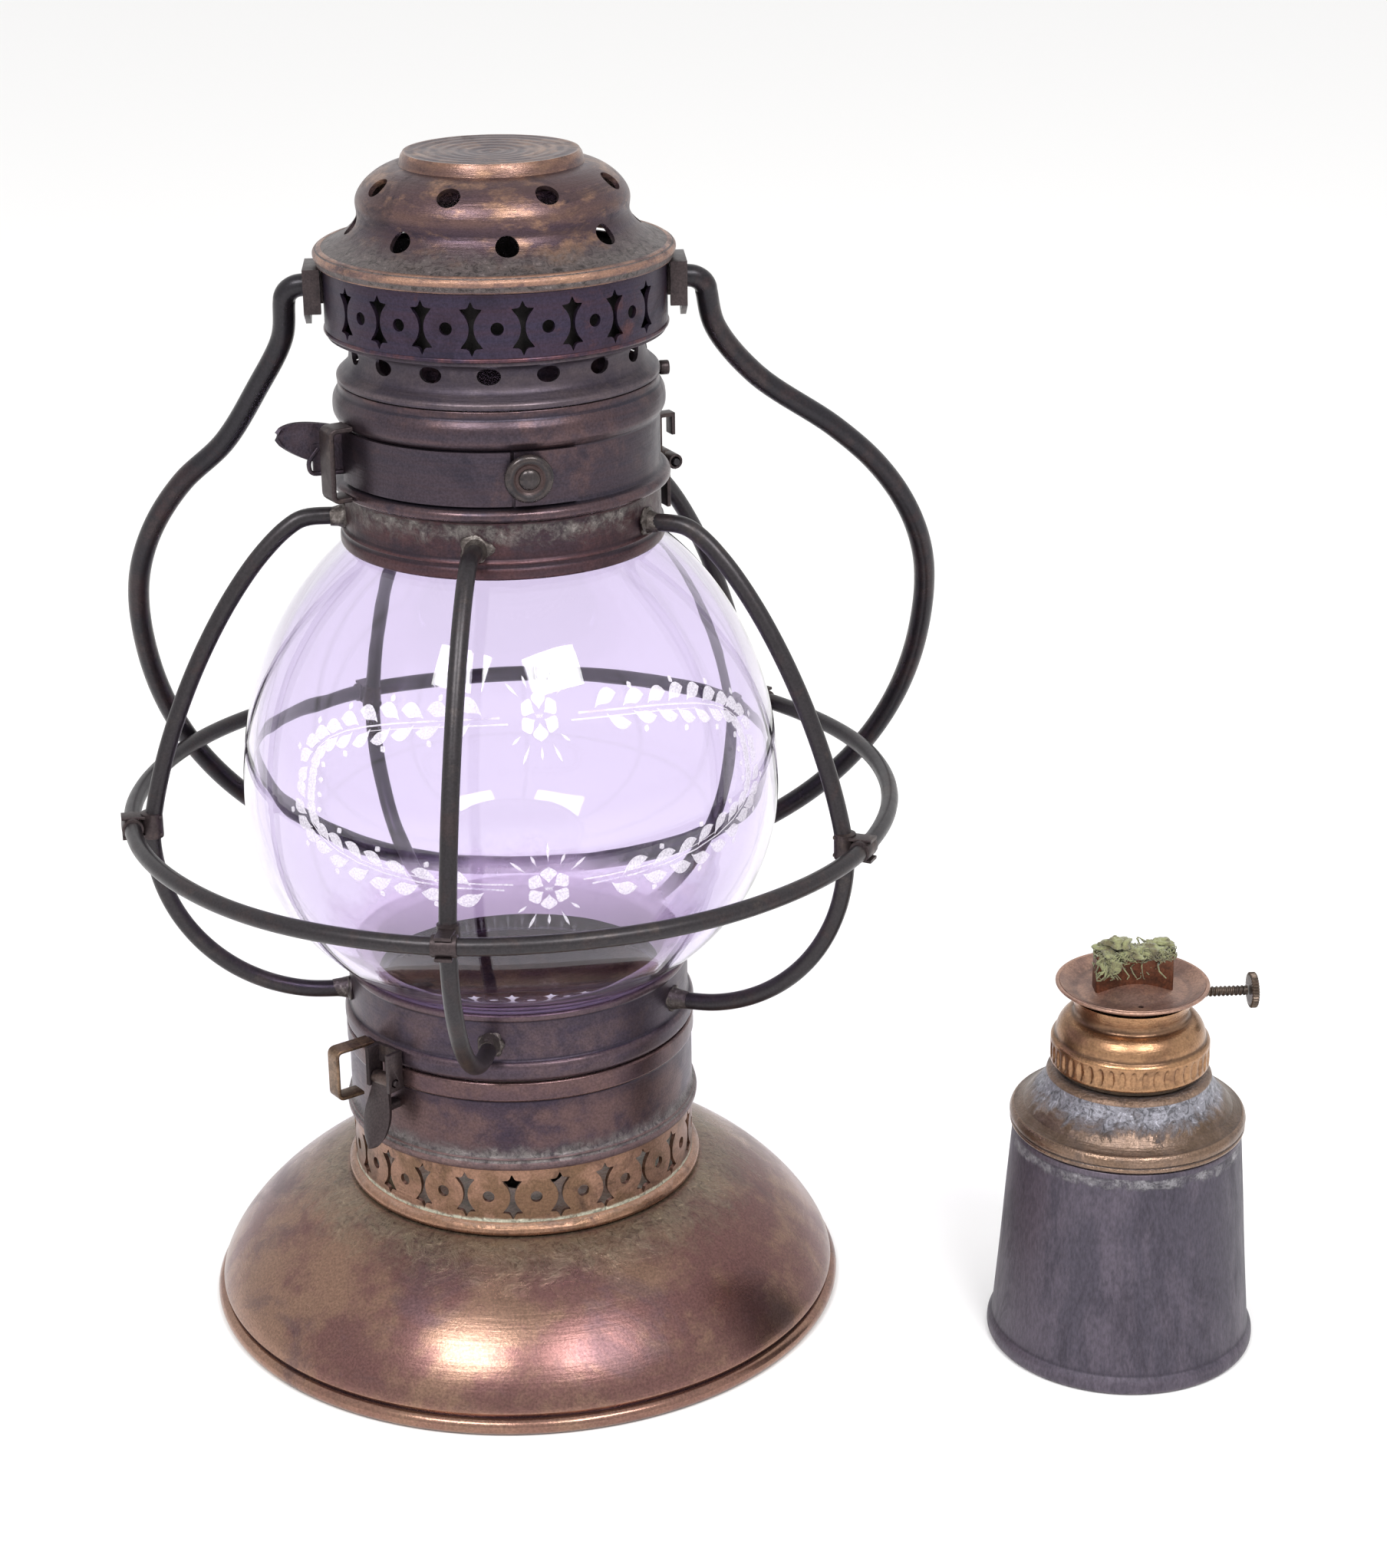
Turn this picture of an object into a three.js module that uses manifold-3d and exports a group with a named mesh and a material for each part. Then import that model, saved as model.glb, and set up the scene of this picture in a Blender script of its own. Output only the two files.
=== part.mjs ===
// A bell-bottomed brass hand lamp with a caged glass globe, its bail hanging behind it,
// and its oil font (tank, burner and flat wick) standing beside it on the same surface.
// Millimetres, +Z up. Azimuth is measured from the front (-Y), positive towards +X.
import * as THREE from 'three';
import { mergeVertices } from 'three/addons/utils/BufferGeometryUtils.js';
import Module from 'manifold-3d';

// ---------------------------------------------------------------- general
const GAP = 0.3; // between two pieces that touch
const RUNNING = 0.35; // round a pin or shaft that turns
const PASS = 1; // how far a cutter reaches past the wall it cuts
const SEGMENTS = 24; // round the large turned pieces
const MEDIUM = 20; // round the turned pieces of the font
const COARSE = 14; // round the small or hidden turned pieces
const WELD = 1e-4;
const SHEET = 1; // spun and pressed sheet

// ---------------------------------------------------------------- bell and base
const RIM_R = 73;
const RIM_ROLL_HEIGHT = 3.8;
const RIM_ROLL_WIDTH = 3;
const RIM_CORNER = 1.2;
const BELL_SHOULDER_R = 41;
const BELL_TOP_Z = 30.9;
const BELL_HOLE_R = 37.5;
const BELL_EDGE_R = 71.6;
const BELL_EDGE_Z = 5;
const BELL_FULLNESS = 1.4;
const BELL_STEPS = 6;

const BAND_R = 39.2;
const BAND_WALL = 0.9;
const BAND_MOULDING_R = 40.9;
const BAND_MOULDING_HEIGHT = 2.5;
const BAND_TOP_Z = 47;
const BEAD_CORNER = 0.6;
const BASE_ROSETTES = 23;
const BASE_ROSETTE_PHASE = 3.2;

const COLLAR_R = 39.3;
const COLLAR_BEAD_R = 40.4;
const COLLAR_BEAD_HEIGHT = 3.2;
const COLLAR_BAND_R = 39.75;
const COLLAR_BAND_HEIGHT = 4.4;
const COLLAR_TOP_Z = 68.6;
const NOTCH_WIDTH = 5.5;
const NOTCH_DEPTH = 12.8;

const SEAT_DROP = 4.4; // floor of the font seat below the top of the bell
const SEAT_WALL_R = 36.9;
const SEAT_WALL = 0.9;
const SEAT_FLANGE_Z = 33.4;
const SEAT_HOLE_R = 9;
const SEAT_LOCATOR_HEIGHT = 3;
const FONT_IN_SEAT = 1.2; // play of the font inside its locating ring

// ---------------------------------------------------------------- pierced bands
const ROSETTE_EYE_R = 1.3;
const ROSETTE_EYE_SIDES = 6;
const STAR_HALF_HEIGHT = 5.6;
const STAR_ARM_X = 1.95;
const STAR_ARM_DROP = 1.55;
const STAR_WAIST_X = 0.5;

// ---------------------------------------------------------------- lower cage ring
const LOWER_RING_R = 38.6;
const LOWER_RING_BORE_R = 37.8;
const LOWER_RING_BEAD_R = 39.9;
const LOWER_RING_BEAD_HEIGHT = 4;
const LOWER_RING_LEAD = 1;
const LOWER_RING_TOP_Z = 84.6;

// ---------------------------------------------------------------- glass globe
const GLOBE_R = 59.6;
const GLOBE_WIDEST_Z = 126;
const GLOBE_LOWER_REACH = 50.5;
const GLOBE_LOWER_FULLNESS = 2.2;
const GLOBE_UPPER_REACH = 67.5;
const GLOBE_UPPER_FULLNESS = 2;
const GLASS = 2.2;
const GLOBE_FOOT_R = 35.5;
const GLOBE_FOOT_Z = 72.5;
const GLOBE_MOUTH_R = 31.8;
const GLOBE_MOUTH_Z = 190;
const GLOBE_STEPS = 5;
const CEMENT_FOOT_Z = 76;
const CEMENT_MOUTH_Z = 184.2;
const CEMENT_LENGTH = 6;

// ---------------------------------------------------------------- upper cage ring
const UPPER_RING_R = 34.3;
const UPPER_RING_BORE_R = 33.6;
const UPPER_RING_BEAD_R = 35.2;
const UPPER_RING_BEAD_HEIGHT = 3.9;
const UPPER_RING_Z = 182;
const UPPER_RING_TOP_Z = 194.2;

// ---------------------------------------------------------------- cage wires
const WIRES = 5;
const WIRE_PHASE = -10; // azimuth of the front wire
const WIRE_R = 1.9;
const WIRE_SIDES = 6;
const WIRE_FOOT_Z = 77.8;
const WIRE_FOOT_LEAD = 41;
const WIRE_BULGE_R = 80.2;
const WIRE_BULGE_Z = 118;
const WIRE_HEAD_Z = 188.4;
const WIRE_HEAD_LEAD = 43;
const WIRE_LOWER_FULLNESS = 2;
const WIRE_UPPER_FULLNESS = 1.42;
const WIRE_SAMPLES = 8;
const WIRE_STEPS = 15;
const GUARD_Z = 121.3;
const GUARD_SEGMENTS_PER_BAY = 9; // so that a corner of the ring lies at every wire
const CLIP_HALF_WIDTH = 3.2;
const CLIP_HALF_HEIGHT = 3.4;
const CLIP_COVER = 0.7;

// ---------------------------------------------------------------- lid
const LID_R = 34.3;
const LID_BORE_R = 33.4;
const LID_BEAD_R = 36.4;
const LID_BEAD_HEIGHT = 3;
const LID_ROLL_R = 35.6;
const LID_ROLL_Z = 209.7;
const LID_ROLL_HEIGHT = 5.9;
const LID_LIP_Z = 217.6;
const NECK_R = 31.7;
const NECK_FOOT_HEIGHT = 0.8;
const NECK_WAIST_HEIGHT = 3.6;
const NECK_FLARE_Z = 226.2;
const NECK_TOP_Z = 227.9;
const NECK_TOP_R = 35.9;
const NECK_HOLES = 16;
const NECK_HOLE_PHASE = -3.7;
const NECK_HOLE_Z = 224.3;
const NECK_HOLE_HALF_WIDTH = 2.5;
const NECK_HOLE_HALF_HEIGHT = 1.8;
const HOLE_SIDES = 6;
const GALLERY_R = 36.3;
const GALLERY_TOP_Z = 242.1;
const GALLERY_PITCH = 16.6;
const GALLERY_ROSETTES_PER_SIDE = 7;

// ---------------------------------------------------------------- dome
const BRIM_R = 38.2;
const BRIM_EDGE_HEIGHT = 3.2;
const BRIM_CORNER = 0.7;
const BRIM_SWEEP_R = 37.3;
const DOME_WAIST_R = 28.4;
const DOME_WAIST_Z = 252.4;
const DOME_BULGE_R = 28.9;
const DOME_BULGE_Z = 254.8;
const DOME_SHOULDER_R = 19.4;
const DOME_SHOULDER_Z = 262.4;
const DOME_SHOULDER_FULLNESS = 1.7;
const DOME_SWEEP_FULLNESS = 1.5;
const DISC_R = 18.7;
const DISC_TOP_Z = 265;
const DISC_DISH = 0.5;
const DOME_STEPS = 3;
const DOME_HOLES = 8;
const DOME_HOLE_R = 2.5;
const DOME_UPPER_PHASE = 25;
const DOME_UPPER_HOLE_R = 23.4;
const DOME_UPPER_HOLE_Z = 260;
const DOME_UPPER_HOLE_TILT = Math.PI / 3;
const DOME_LOWER_PHASE = 5;
const DOME_LOWER_HOLE_Z = 250;
const DOME_CUT_REACH = 6 * SHEET;

// ---------------------------------------------------------------- ears and bail
const EAR_STANDOFF = 2.4;
const EAR_PLATE = 1.2;
const EAR_WIDTH = 12.5;
const EAR_HEIGHT = 13.4;
const EAR_FOLD = 1.6;
const EAR_POINT = 3.2;
const BAIL_R = 2.4;
const BAIL_SIDES = 8;
const BAIL_PIVOT_Z = 237.5;
const BAIL_STUB_R = 1.7;
const BAIL_ELBOW_R = 4.2;
const BAIL_ARM_X = 46.2;
const BAIL_ARM_DROP = 13;
const BAIL_KNEE_X = 54;
const BAIL_KNEE_DROP = 26;
const BAIL_HALF_WIDTH = 90;
const BAIL_WIDEST_DROP = 87;
const BAIL_LENGTH = 173;
const BAIL_UPPER_REACH = 70;
const BAIL_SHOULDER_ANGLE = 42; // where the loop leaves the S-bend, above its widest point
const BAIL_LOWER_FULLNESS = 2.2;
const BAIL_LEAN = 6.5; // the loop stands this far to the right of the lamp's axis
const BAIL_REST_ANGLE = 21.5; // behind straight down, where it leans on the guard ring
const BAIL_LOOP_STEPS = 34;
const BAIL_ARM_STEPS = 9;
const BAIL_ELBOW_STEPS = 4;
const BAIL_SHOULDER_STEPS = 4;
const BAIL_BOTTOM_STEPS = 8;

// ---------------------------------------------------------------- lid latch
const STRIP = 0.8;
const STRIP_Z = 197.9;
const STRIP_HEIGHT = 11.4;
const STRIP_SPLIT = 3.5; // azimuth where the spring leaves its riveted plate
const STRIP_END = 26;
const STRIP_FREE_END = -71;
const STRIP_SPLIT_HALF = 0.6;
const STRIP_STEPS = 14;
const BUTTON_AZ = 8.4;
const BUTTON_Z = 204.2;
const BUTTON_R = 5.1;
const BUTTON_HEIGHT = 2.6;
const BUTTON_BORDER = 0.8;
const RIVET_R = 2.4;
const RIVET_HEIGHT = 0.8;
const BUTTON_SLACK = 0.7;
const TAB_INNER_R = 34.8;
const TAB_OUTER_R = 49;
const TAB_Z = 207;
const TAB_HALF_HEIGHT = 3.6;
const TAB_PLATE = 0.9;
const TAB_FOOT_R = 43;
const TAB_FOOT_Z = 199.8;
const KEEPER_AZ = -63;
const KEEPER_WIDTH = 5.5;
const KEEPER_R = 41.2;
const KEEPER_TOP_Z = 211.4;
const KEEPER_FOOT_Z = 195.2;
const KEEPER_PLATE = 1.1;

// ---------------------------------------------------------------- lid hinge
const LID_HINGE_AZ = 112;
const LID_HINGE_Z = 194.3;
const LID_HINGE_R = 38.9;
const LID_KNUCKLE_R = 1.7;
const LID_PIN_R = 0.8;
const LID_HINGE_LENGTH = 11;
const LID_LEAF_HEIGHT = 10;
const LID_LEAF_PLATE = 0.9;
const LID_LOOP_REACH = 3.2;
const KNOB_AZ = 96;
const KNOB_R = 1.6;
const KNOB_LENGTH = 2.2;
const KNOB_Z = 219.6;

// ---------------------------------------------------------------- base hinge
const HINGE_AZ = 134;
const HINGE_R = 42.6;
const HINGE_Z = 69.2;
const HINGE_KNUCKLE_R = 2.1;
const HINGE_PIN_R = 0.9;
const HINGE_LENGTH = 16;
const HINGE_MIDDLE = 5.8;
const HINGE_LEAF_PLATE = 1;
const HINGE_LEAF_R = 41.2;
const HINGE_CLEAR = 0.7;
const HINGE_LOWER_Z = 54;
const HINGE_UPPER_Z = 75.4;

// ---------------------------------------------------------------- base latch
const CATCH_AZ = -46;
const CATCH_R = 42.6;
const CATCH_Z = 66.2;
const CATCH_PIN_R = 0.7;
const CATCH_KNUCKLE_R = 1.6;
const CATCH_WIDTH = 5;
const CATCH_CHEEK = 0.9;
const CATCH_BACK_TOP_Z = 73.4;
const CATCH_BACK_Z = 69.2;
const CATCH_CHEEK_Z = 64.2;
const CATCH_CHEEK_R = 44.4;
const CATCH_LEAF_LENGTH = 15.5;
const CATCH_LEAF_SHOULDER = 0.85;
const LEAF_BELLY = 1.4;
const CATCH_LEAF_WIDTH = 8.4;
const CATCH_LEAF_PLATE = 0.9;
const CATCH_LEAF_TILT = 16;
const CATCH_TONGUE_DROP = 6;
const CATCH_TONGUE_HEIGHT = 1.8;
const CATCH_TONGUE_WIDTH = 3;
const CATCH_TONGUE_R = 38.7;
const LOOP_AZ = -57;
const LOOP_OUTER_R = 50;
const LOOP_TOP_Z = 72.6;
const LOOP_FOOT_Z = 60.4;
const LOOP_STRIP = 0.8;
const LOOP_WIDTH = 4;
const LOOP_LOWER_R = 43.4;

// ---------------------------------------------------------------- font: tank
const FONT_X = 134.2; // from the lamp's axis
const FONT_Y = -37.9;
const TANK_RIM_R = 30;
const TANK_RIM_HEIGHT = 4.4;
const TANK_RIM_CORNER = 0.8;
const TANK_FOOT_R = 28.9;
const TANK_TOP_R = 25.4;
const TANK_TOP_Z = 52.5;
const TANK_WALL = 0.9;
const SHOULDER_BEAD_R = 26.15;
const SHOULDER_BEAD_HEIGHT = 3.9;
const SHOULDER_TOP_R = 18.2;
const SHOULDER_TOP_Z = 65.4;
const SHOULDER_HOLE_R = 12.2;
const SHOULDER_FULLNESS = 1.5;
const SHOULDER_STEPS = 3;

// ---------------------------------------------------------------- font: burner
const GASKET_R = 16;
const GASKET_HEIGHT = 1;
const BURNER_R = 17.5;
const BURNER_BAND_HEIGHT = 6.4;
const BURNER_CORNER = 0.6;
const BURNER_STEP_R = 16.5;
const BURNER_CROWN_R = 13;
const BURNER_CROWN_Z = 79.3;
const BURNER_CROWN_FULLNESS = 1.8;
const BURNER_CROWN_STEPS = 2;
const BURNER_THROAT_R = 12.5;
const BURNER_THROAT_Z = 80;
const BURNER_CUP_R = 13.4;
const BURNER_CUP_Z = 84;
const PLATE_R = 16.9;
const PLATE_RIM_Z = 87;
const PLATE_FLOOR_R = 12.6;
const PLATE_CROWN_R = 9.5;
const PLATE_CROWN_Z = 86;
const PLATE_SHEET = 0.8;
const PLATE_PINHOLE_R = 0.7;
const TUBE_WIDTH = 17.2;
const TUBE_DEPTH = 5;
const TUBE_WALL = 0.8;
const TUBE_FOOT_Z = 71;
const TUBE_TOP_Z = 94.1;
const TUBE_SLOT_WIDTH = 2.6;
const TUBE_SLOT_HALF_HEIGHT = 3.2;
const WICK_PLAY = 0.3;
const WICK_FOOT_Z = 42;
const WICK_TUFT_HEIGHT = 4.6;
const WICK_TUFT_WIDTH = 17.6;
const WICK_TUFT_DEPTH = 5.6;
const SHAFT_R = 1.1;
const SHAFT_Z = 81.8;
const SHAFT_INNER_X = -3.4;
const SHAFT_OUTER_X = 26.6;
const SPROCKET_R = 2.2;
const SPROCKET_WIDTH = 1.6;
const SPROCKET_TEETH = 10;
const THUMBWHEEL_R = 4;
const THUMBWHEEL_WIDTH = 1.8;
const THUMBWHEEL_HUB_R = 2.2;
const THUMBWHEEL_SIDES = 18;
const SHAFT_SIDES = 10;

// ---------------------------------------------------------------- materials
function metal(color, roughness) {
  return new THREE.MeshStandardMaterial({ color, roughness, metalness: 1 });
}

const DARK_BRASS = metal(0x5f5348, 0.5);
const WARM_BRASS = metal(0x8a6a4c, 0.38);
const BRIGHT_BRASS = metal(0xa9824e, 0.35);
const BLACK_WIRE = metal(0x3f3a3a, 0.55);
const BURNER_BRASS = metal(0xb08450, 0.38);
const COPPERY = metal(0x9a6a4e, 0.42);
const GREY_TIN = metal(0x6e6e76, 0.6);
const GLASS_CLEAR = new THREE.MeshStandardMaterial({ color: 0xd9d3ea, roughness: 0.05, metalness: 0 });
const CEMENT = new THREE.MeshStandardMaterial({ color: 0xb08d66, roughness: 0.9, metalness: 0 });
const CORK = new THREE.MeshStandardMaterial({ color: 0x5a4a38, roughness: 0.9, metalness: 0 });
const COTTON = new THREE.MeshStandardMaterial({ color: 0x8f946d, roughness: 1, metalness: 0 });

// ---------------------------------------------------------------- solids
const wasm = await Module();
wasm.setup();

function tidied(geometry) {
  const bare = geometry.index ? geometry.toNonIndexed() : geometry.clone();
  bare.deleteAttribute('normal');
  bare.deleteAttribute('uv');
  const merged = mergeVertices(bare, WELD);
  const corners = merged.index.array;
  const kept = [];
  for (let i = 0; i < corners.length; i += 3) {
    const [a, b, c] = [corners[i], corners[i + 1], corners[i + 2]];
    if (a !== b && b !== c && c !== a) kept.push(a, b, c);
  }
  merged.setIndex(kept);
  return merged;
}

function solidOf(geometry) {
  const clean = tidied(geometry);
  return new wasm.Manifold(new wasm.Mesh({
    numProp: 3,
    vertProperties: new Float32Array(clean.attributes.position.array),
    triVerts: new Uint32Array(clean.index.array),
  }));
}

function geometryOf(solid) {
  const mesh = solid.getMesh();
  const geometry = new THREE.BufferGeometry();
  geometry.setAttribute('position', new THREE.BufferAttribute(new Float32Array(mesh.vertProperties), 3));
  geometry.setIndex(new THREE.BufferAttribute(new Uint32Array(mesh.triVerts), 1));
  return geometry;
}

function cut(geometry, cutters) {
  let solid = solidOf(geometry);
  for (const cutter of cutters) solid = solid.subtract(solidOf(cutter));
  return geometryOf(solid);
}

function join(geometries) {
  let solid = solidOf(geometries[0]);
  for (const other of geometries.slice(1)) solid = solid.add(solidOf(other));
  return geometryOf(solid);
}

// A turned piece from its section: [radius, height] pairs that close on themselves or on the axis.
function turned(section, segments = SEGMENTS) {
  let area = 0;
  section.forEach(([r, z], i) => {
    const [nextR, nextZ] = section[(i + 1) % section.length];
    area += r * nextZ - nextR * z;
  });
  const outline = area > 0 ? [...section] : [...section].reverse();
  const touchesAxis = outline.some(([r]) => r === 0);
  if (touchesAxis) {
    const first = outline.findIndex(([r], i) => r === 0 && outline.at(i - 1)[0] === 0);
    if (first > 0) outline.push(...outline.splice(0, first));
  } else {
    outline.push(outline[0]);
  }
  const points = outline.map(([r, z]) => new THREE.Vector2(r, z));
  return new THREE.LatheGeometry(points, segments).rotateX(Math.PI / 2);
}

// The section of a sheet of one thickness whose outer face runs along the points.
function sheetSection(points, thickness) {
  const inner = points.map(([r, z], i) => {
    const [beforeR, beforeZ] = points[Math.max(i - 1, 0)];
    const [afterR, afterZ] = points[Math.min(i + 1, points.length - 1)];
    const length = Math.hypot(afterR - beforeR, afterZ - beforeZ);
    const normalR = (beforeZ - afterZ) / length;
    const normalZ = (afterR - beforeR) / length;
    return [r === 0 ? 0 : r + normalR * thickness, z + normalZ * thickness];
  });
  return [...points, ...inner.reverse()];
}

// Points of a rounded quarter turn: from (1, 0) at 0 to (0, 1) at 1, fuller as the exponent grows.
function quarter(share, fullness) {
  const turn = share * Math.PI / 2;
  return [Math.abs(Math.cos(turn)) ** (2 / fullness), Math.abs(Math.sin(turn)) ** (2 / fullness)];
}

function shares(steps) {
  return Array.from({ length: steps + 1 }, (_, i) => i / steps);
}

function polygon(sides, radiusX, radiusY = radiusX) {
  const points = [];
  for (let i = 0; i < sides; i += 1) {
    const turn = (i + 0.5) * 2 * Math.PI / sides;
    points.push(new THREE.Vector2(radiusX * Math.cos(turn), radiusY * Math.sin(turn)));
  }
  return new THREE.Shape(points);
}

function shapeOf(pairs) {
  return new THREE.Shape(pairs.map(([x, y]) => new THREE.Vector2(x, y)));
}

function prism(shape, depth) {
  return new THREE.ExtrudeGeometry(shape, { depth, steps: 1, bevelEnabled: false });
}

// A shape drawn as (along the wall, up), pushed outward from one radius to another along +X.
function outwardPrism(shape, fromR, toR, z = 0, sideways = 0) {
  const basis = new THREE.Matrix4().makeBasis(
    new THREE.Vector3(0, 1, 0), new THREE.Vector3(0, 0, 1), new THREE.Vector3(1, 0, 0));
  return prism(shape, toR - fromR).applyMatrix4(basis).translate(fromR, sideways, z);
}

// A shape drawn as (outward, up), of one width across.
function crosswisePrism(shape, width, sideways = 0) {
  return prism(shape, width).rotateX(Math.PI / 2).translate(0, sideways + width / 2, 0);
}

function box(fromR, toR, width, fromZ, toZ, sideways = 0) {
  return new THREE.BoxGeometry(toR - fromR, width, toZ - fromZ)
    .translate((fromR + toR) / 2, sideways, (fromZ + toZ) / 2);
}

function rod(radius, length, sides) {
  return new THREE.CylinderGeometry(radius, radius, length, sides);
}

// Turns a geometry built at azimuth 90 (along +X) to another azimuth.
function toAzimuth(geometry, azimuth) {
  return geometry.rotateZ(THREE.MathUtils.degToRad(azimuth - 90));
}

function tube(points, radius, sides, steps) {
  const path = new THREE.CatmullRomCurve3(points, false, 'centripetal');
  return new THREE.ExtrudeGeometry(polygon(sides, radius), { steps, extrudePath: path, bevelEnabled: false });
}

// ---------------------------------------------------------------- scene graph
const object = new THREE.Group();
const lamp = new THREE.Group();
const font = new THREE.Group();
object.add(lamp, font);

function add(parent, name, geometry, material) {
  const clean = tidied(geometry);
  clean.computeVertexNormals();
  const mesh = new THREE.Mesh(clean, material);
  mesh.name = name;
  parent.add(mesh);
  return mesh;
}

function addAround(parent, name, geometry, material, azimuth) {
  const mesh = add(parent, name, geometry, material);
  mesh.rotation.z = THREE.MathUtils.degToRad(azimuth - 90);
  return mesh;
}

// ---------------------------------------------------------------- the bell
const bellCurve = shares(BELL_STEPS).map((share) => {
  const [up, out] = quarter(share, BELL_FULLNESS);
  return [
    BELL_SHOULDER_R + (BELL_EDGE_R - BELL_SHOULDER_R) * out,
    BELL_EDGE_Z + (BELL_TOP_Z - BELL_EDGE_Z) * up,
  ];
});
const bellOuter = [[BELL_HOLE_R, BELL_TOP_Z], ...bellCurve];
const bellInner = sheetSection(bellOuter, -SHEET).slice(bellOuter.length).reverse();
const bellSection = [
  ...bellOuter,
  [RIM_R, RIM_ROLL_HEIGHT],
  [RIM_R, RIM_CORNER],
  [RIM_R - RIM_CORNER, 0],
  [RIM_R - RIM_ROLL_WIDTH, 0],
  [RIM_R - RIM_ROLL_WIDTH, RIM_ROLL_HEIGHT],
  ...bellInner.reverse(),
];
add(lamp, 'bell', turned(bellSection), WARM_BRASS);

// ---------------------------------------------------------------- pierced bands
function star() {
  const arm = STAR_HALF_HEIGHT - STAR_ARM_DROP;
  const right = [
    [STAR_ARM_X, arm],
    [STAR_WAIST_X, 0],
    [STAR_ARM_X, -arm],
  ];
  const left = right.map(([x, y]) => [-x, y]);
  return shapeOf([[0, STAR_HALF_HEIGHT], ...left, [0, -STAR_HALF_HEIGHT], ...right.reverse()]);
}

function piercing(shape, radius, z, azimuth) {
  return toAzimuth(outwardPrism(shape, radius - PASS - BAND_WALL, radius + PASS, z), azimuth);
}

const bandFootZ = BELL_TOP_Z + GAP;
const bandMouldingTop = bandFootZ + BAND_MOULDING_HEIGHT;
const bandSection = [
  [BAND_R - BAND_WALL, bandFootZ],
  [BAND_MOULDING_R - BEAD_CORNER, bandFootZ],
  [BAND_MOULDING_R, bandFootZ + BEAD_CORNER],
  [BAND_MOULDING_R, bandMouldingTop - BEAD_CORNER],
  [BAND_MOULDING_R - BEAD_CORNER, bandMouldingTop],
  [BAND_R, bandMouldingTop + BEAD_CORNER],
  [BAND_R, BAND_TOP_Z],
  [BAND_R - BAND_WALL, BAND_TOP_Z],
];
const basePitch = 360 / BASE_ROSETTES;
const basePierceZ = (bandMouldingTop + BAND_TOP_Z) / 2;
const baseCutters = [];
for (let i = 0; i < BASE_ROSETTES; i += 1) {
  const azimuth = BASE_ROSETTE_PHASE + i * basePitch;
  baseCutters.push(piercing(polygon(ROSETTE_EYE_SIDES, ROSETTE_EYE_R), BAND_R, basePierceZ, azimuth));
  baseCutters.push(piercing(star(), BAND_R, basePierceZ, azimuth + basePitch / 2));
}
add(lamp, 'base_band', cut(turned(bandSection), baseCutters), BRIGHT_BRASS);

// ---------------------------------------------------------------- base collar
const collarFootZ = BAND_TOP_Z + GAP;
const collarBeadTop = collarFootZ + COLLAR_BEAD_HEIGHT;
const collarBandFoot = COLLAR_TOP_Z - COLLAR_BAND_HEIGHT;
const collarBoreR = BAND_R - BAND_WALL;
const collarSection = [
  [collarBoreR, collarFootZ],
  [COLLAR_BEAD_R - BEAD_CORNER, collarFootZ],
  [COLLAR_BEAD_R, collarFootZ + BEAD_CORNER],
  [COLLAR_BEAD_R, collarBeadTop - BEAD_CORNER],
  [COLLAR_R, collarBeadTop],
  [COLLAR_R, collarBandFoot],
  [COLLAR_BAND_R, collarBandFoot + GAP],
  [COLLAR_BAND_R, COLLAR_TOP_Z],
  [collarBoreR, COLLAR_TOP_Z],
];
const notch = toAzimuth(box(collarBoreR - PASS, COLLAR_BAND_R + PASS, NOTCH_WIDTH,
  COLLAR_TOP_Z - NOTCH_DEPTH, COLLAR_TOP_Z + PASS), CATCH_AZ);
add(lamp, 'base_collar', cut(turned(collarSection), [notch]), DARK_BRASS);

// ---------------------------------------------------------------- font seat
const seatFloorZ = BELL_TOP_Z - SEAT_DROP;
const locatorR = TANK_RIM_R + FONT_IN_SEAT;
const seatSection = [
  [SEAT_HOLE_R, seatFloorZ - SHEET],
  [SEAT_WALL_R, seatFloorZ - SHEET],
  [SEAT_WALL_R, SEAT_FLANGE_Z - SHEET],
  [collarBoreR - GAP, SEAT_FLANGE_Z - SHEET],
  [collarBoreR - GAP, SEAT_FLANGE_Z],
  [SEAT_WALL_R - SEAT_WALL, SEAT_FLANGE_Z],
  [SEAT_WALL_R - SEAT_WALL, seatFloorZ],
  [locatorR + SHEET, seatFloorZ],
  [locatorR + SHEET, seatFloorZ + SEAT_LOCATOR_HEIGHT],
  [locatorR, seatFloorZ + SEAT_LOCATOR_HEIGHT],
  [locatorR, seatFloorZ],
  [SEAT_HOLE_R, seatFloorZ],
];
add(lamp, 'font_seat', turned(seatSection), WARM_BRASS);

// ---------------------------------------------------------------- lower cage ring
const lowerRingZ = COLLAR_TOP_Z + GAP;
const lowerBeadTop = lowerRingZ + LOWER_RING_BEAD_HEIGHT + LOWER_RING_LEAD;
const lowerRingSection = [
  [LOWER_RING_BORE_R, lowerRingZ],
  [LOWER_RING_BEAD_R - LOWER_RING_LEAD, lowerRingZ],
  [LOWER_RING_BEAD_R, lowerRingZ + LOWER_RING_LEAD],
  [LOWER_RING_BEAD_R, lowerBeadTop - LOWER_RING_LEAD],
  [LOWER_RING_R, lowerBeadTop],
  [LOWER_RING_R, LOWER_RING_TOP_Z],
  [LOWER_RING_BORE_R, LOWER_RING_TOP_Z],
];
add(lamp, 'lower_ring', turned(lowerRingSection), DARK_BRASS);

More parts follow.
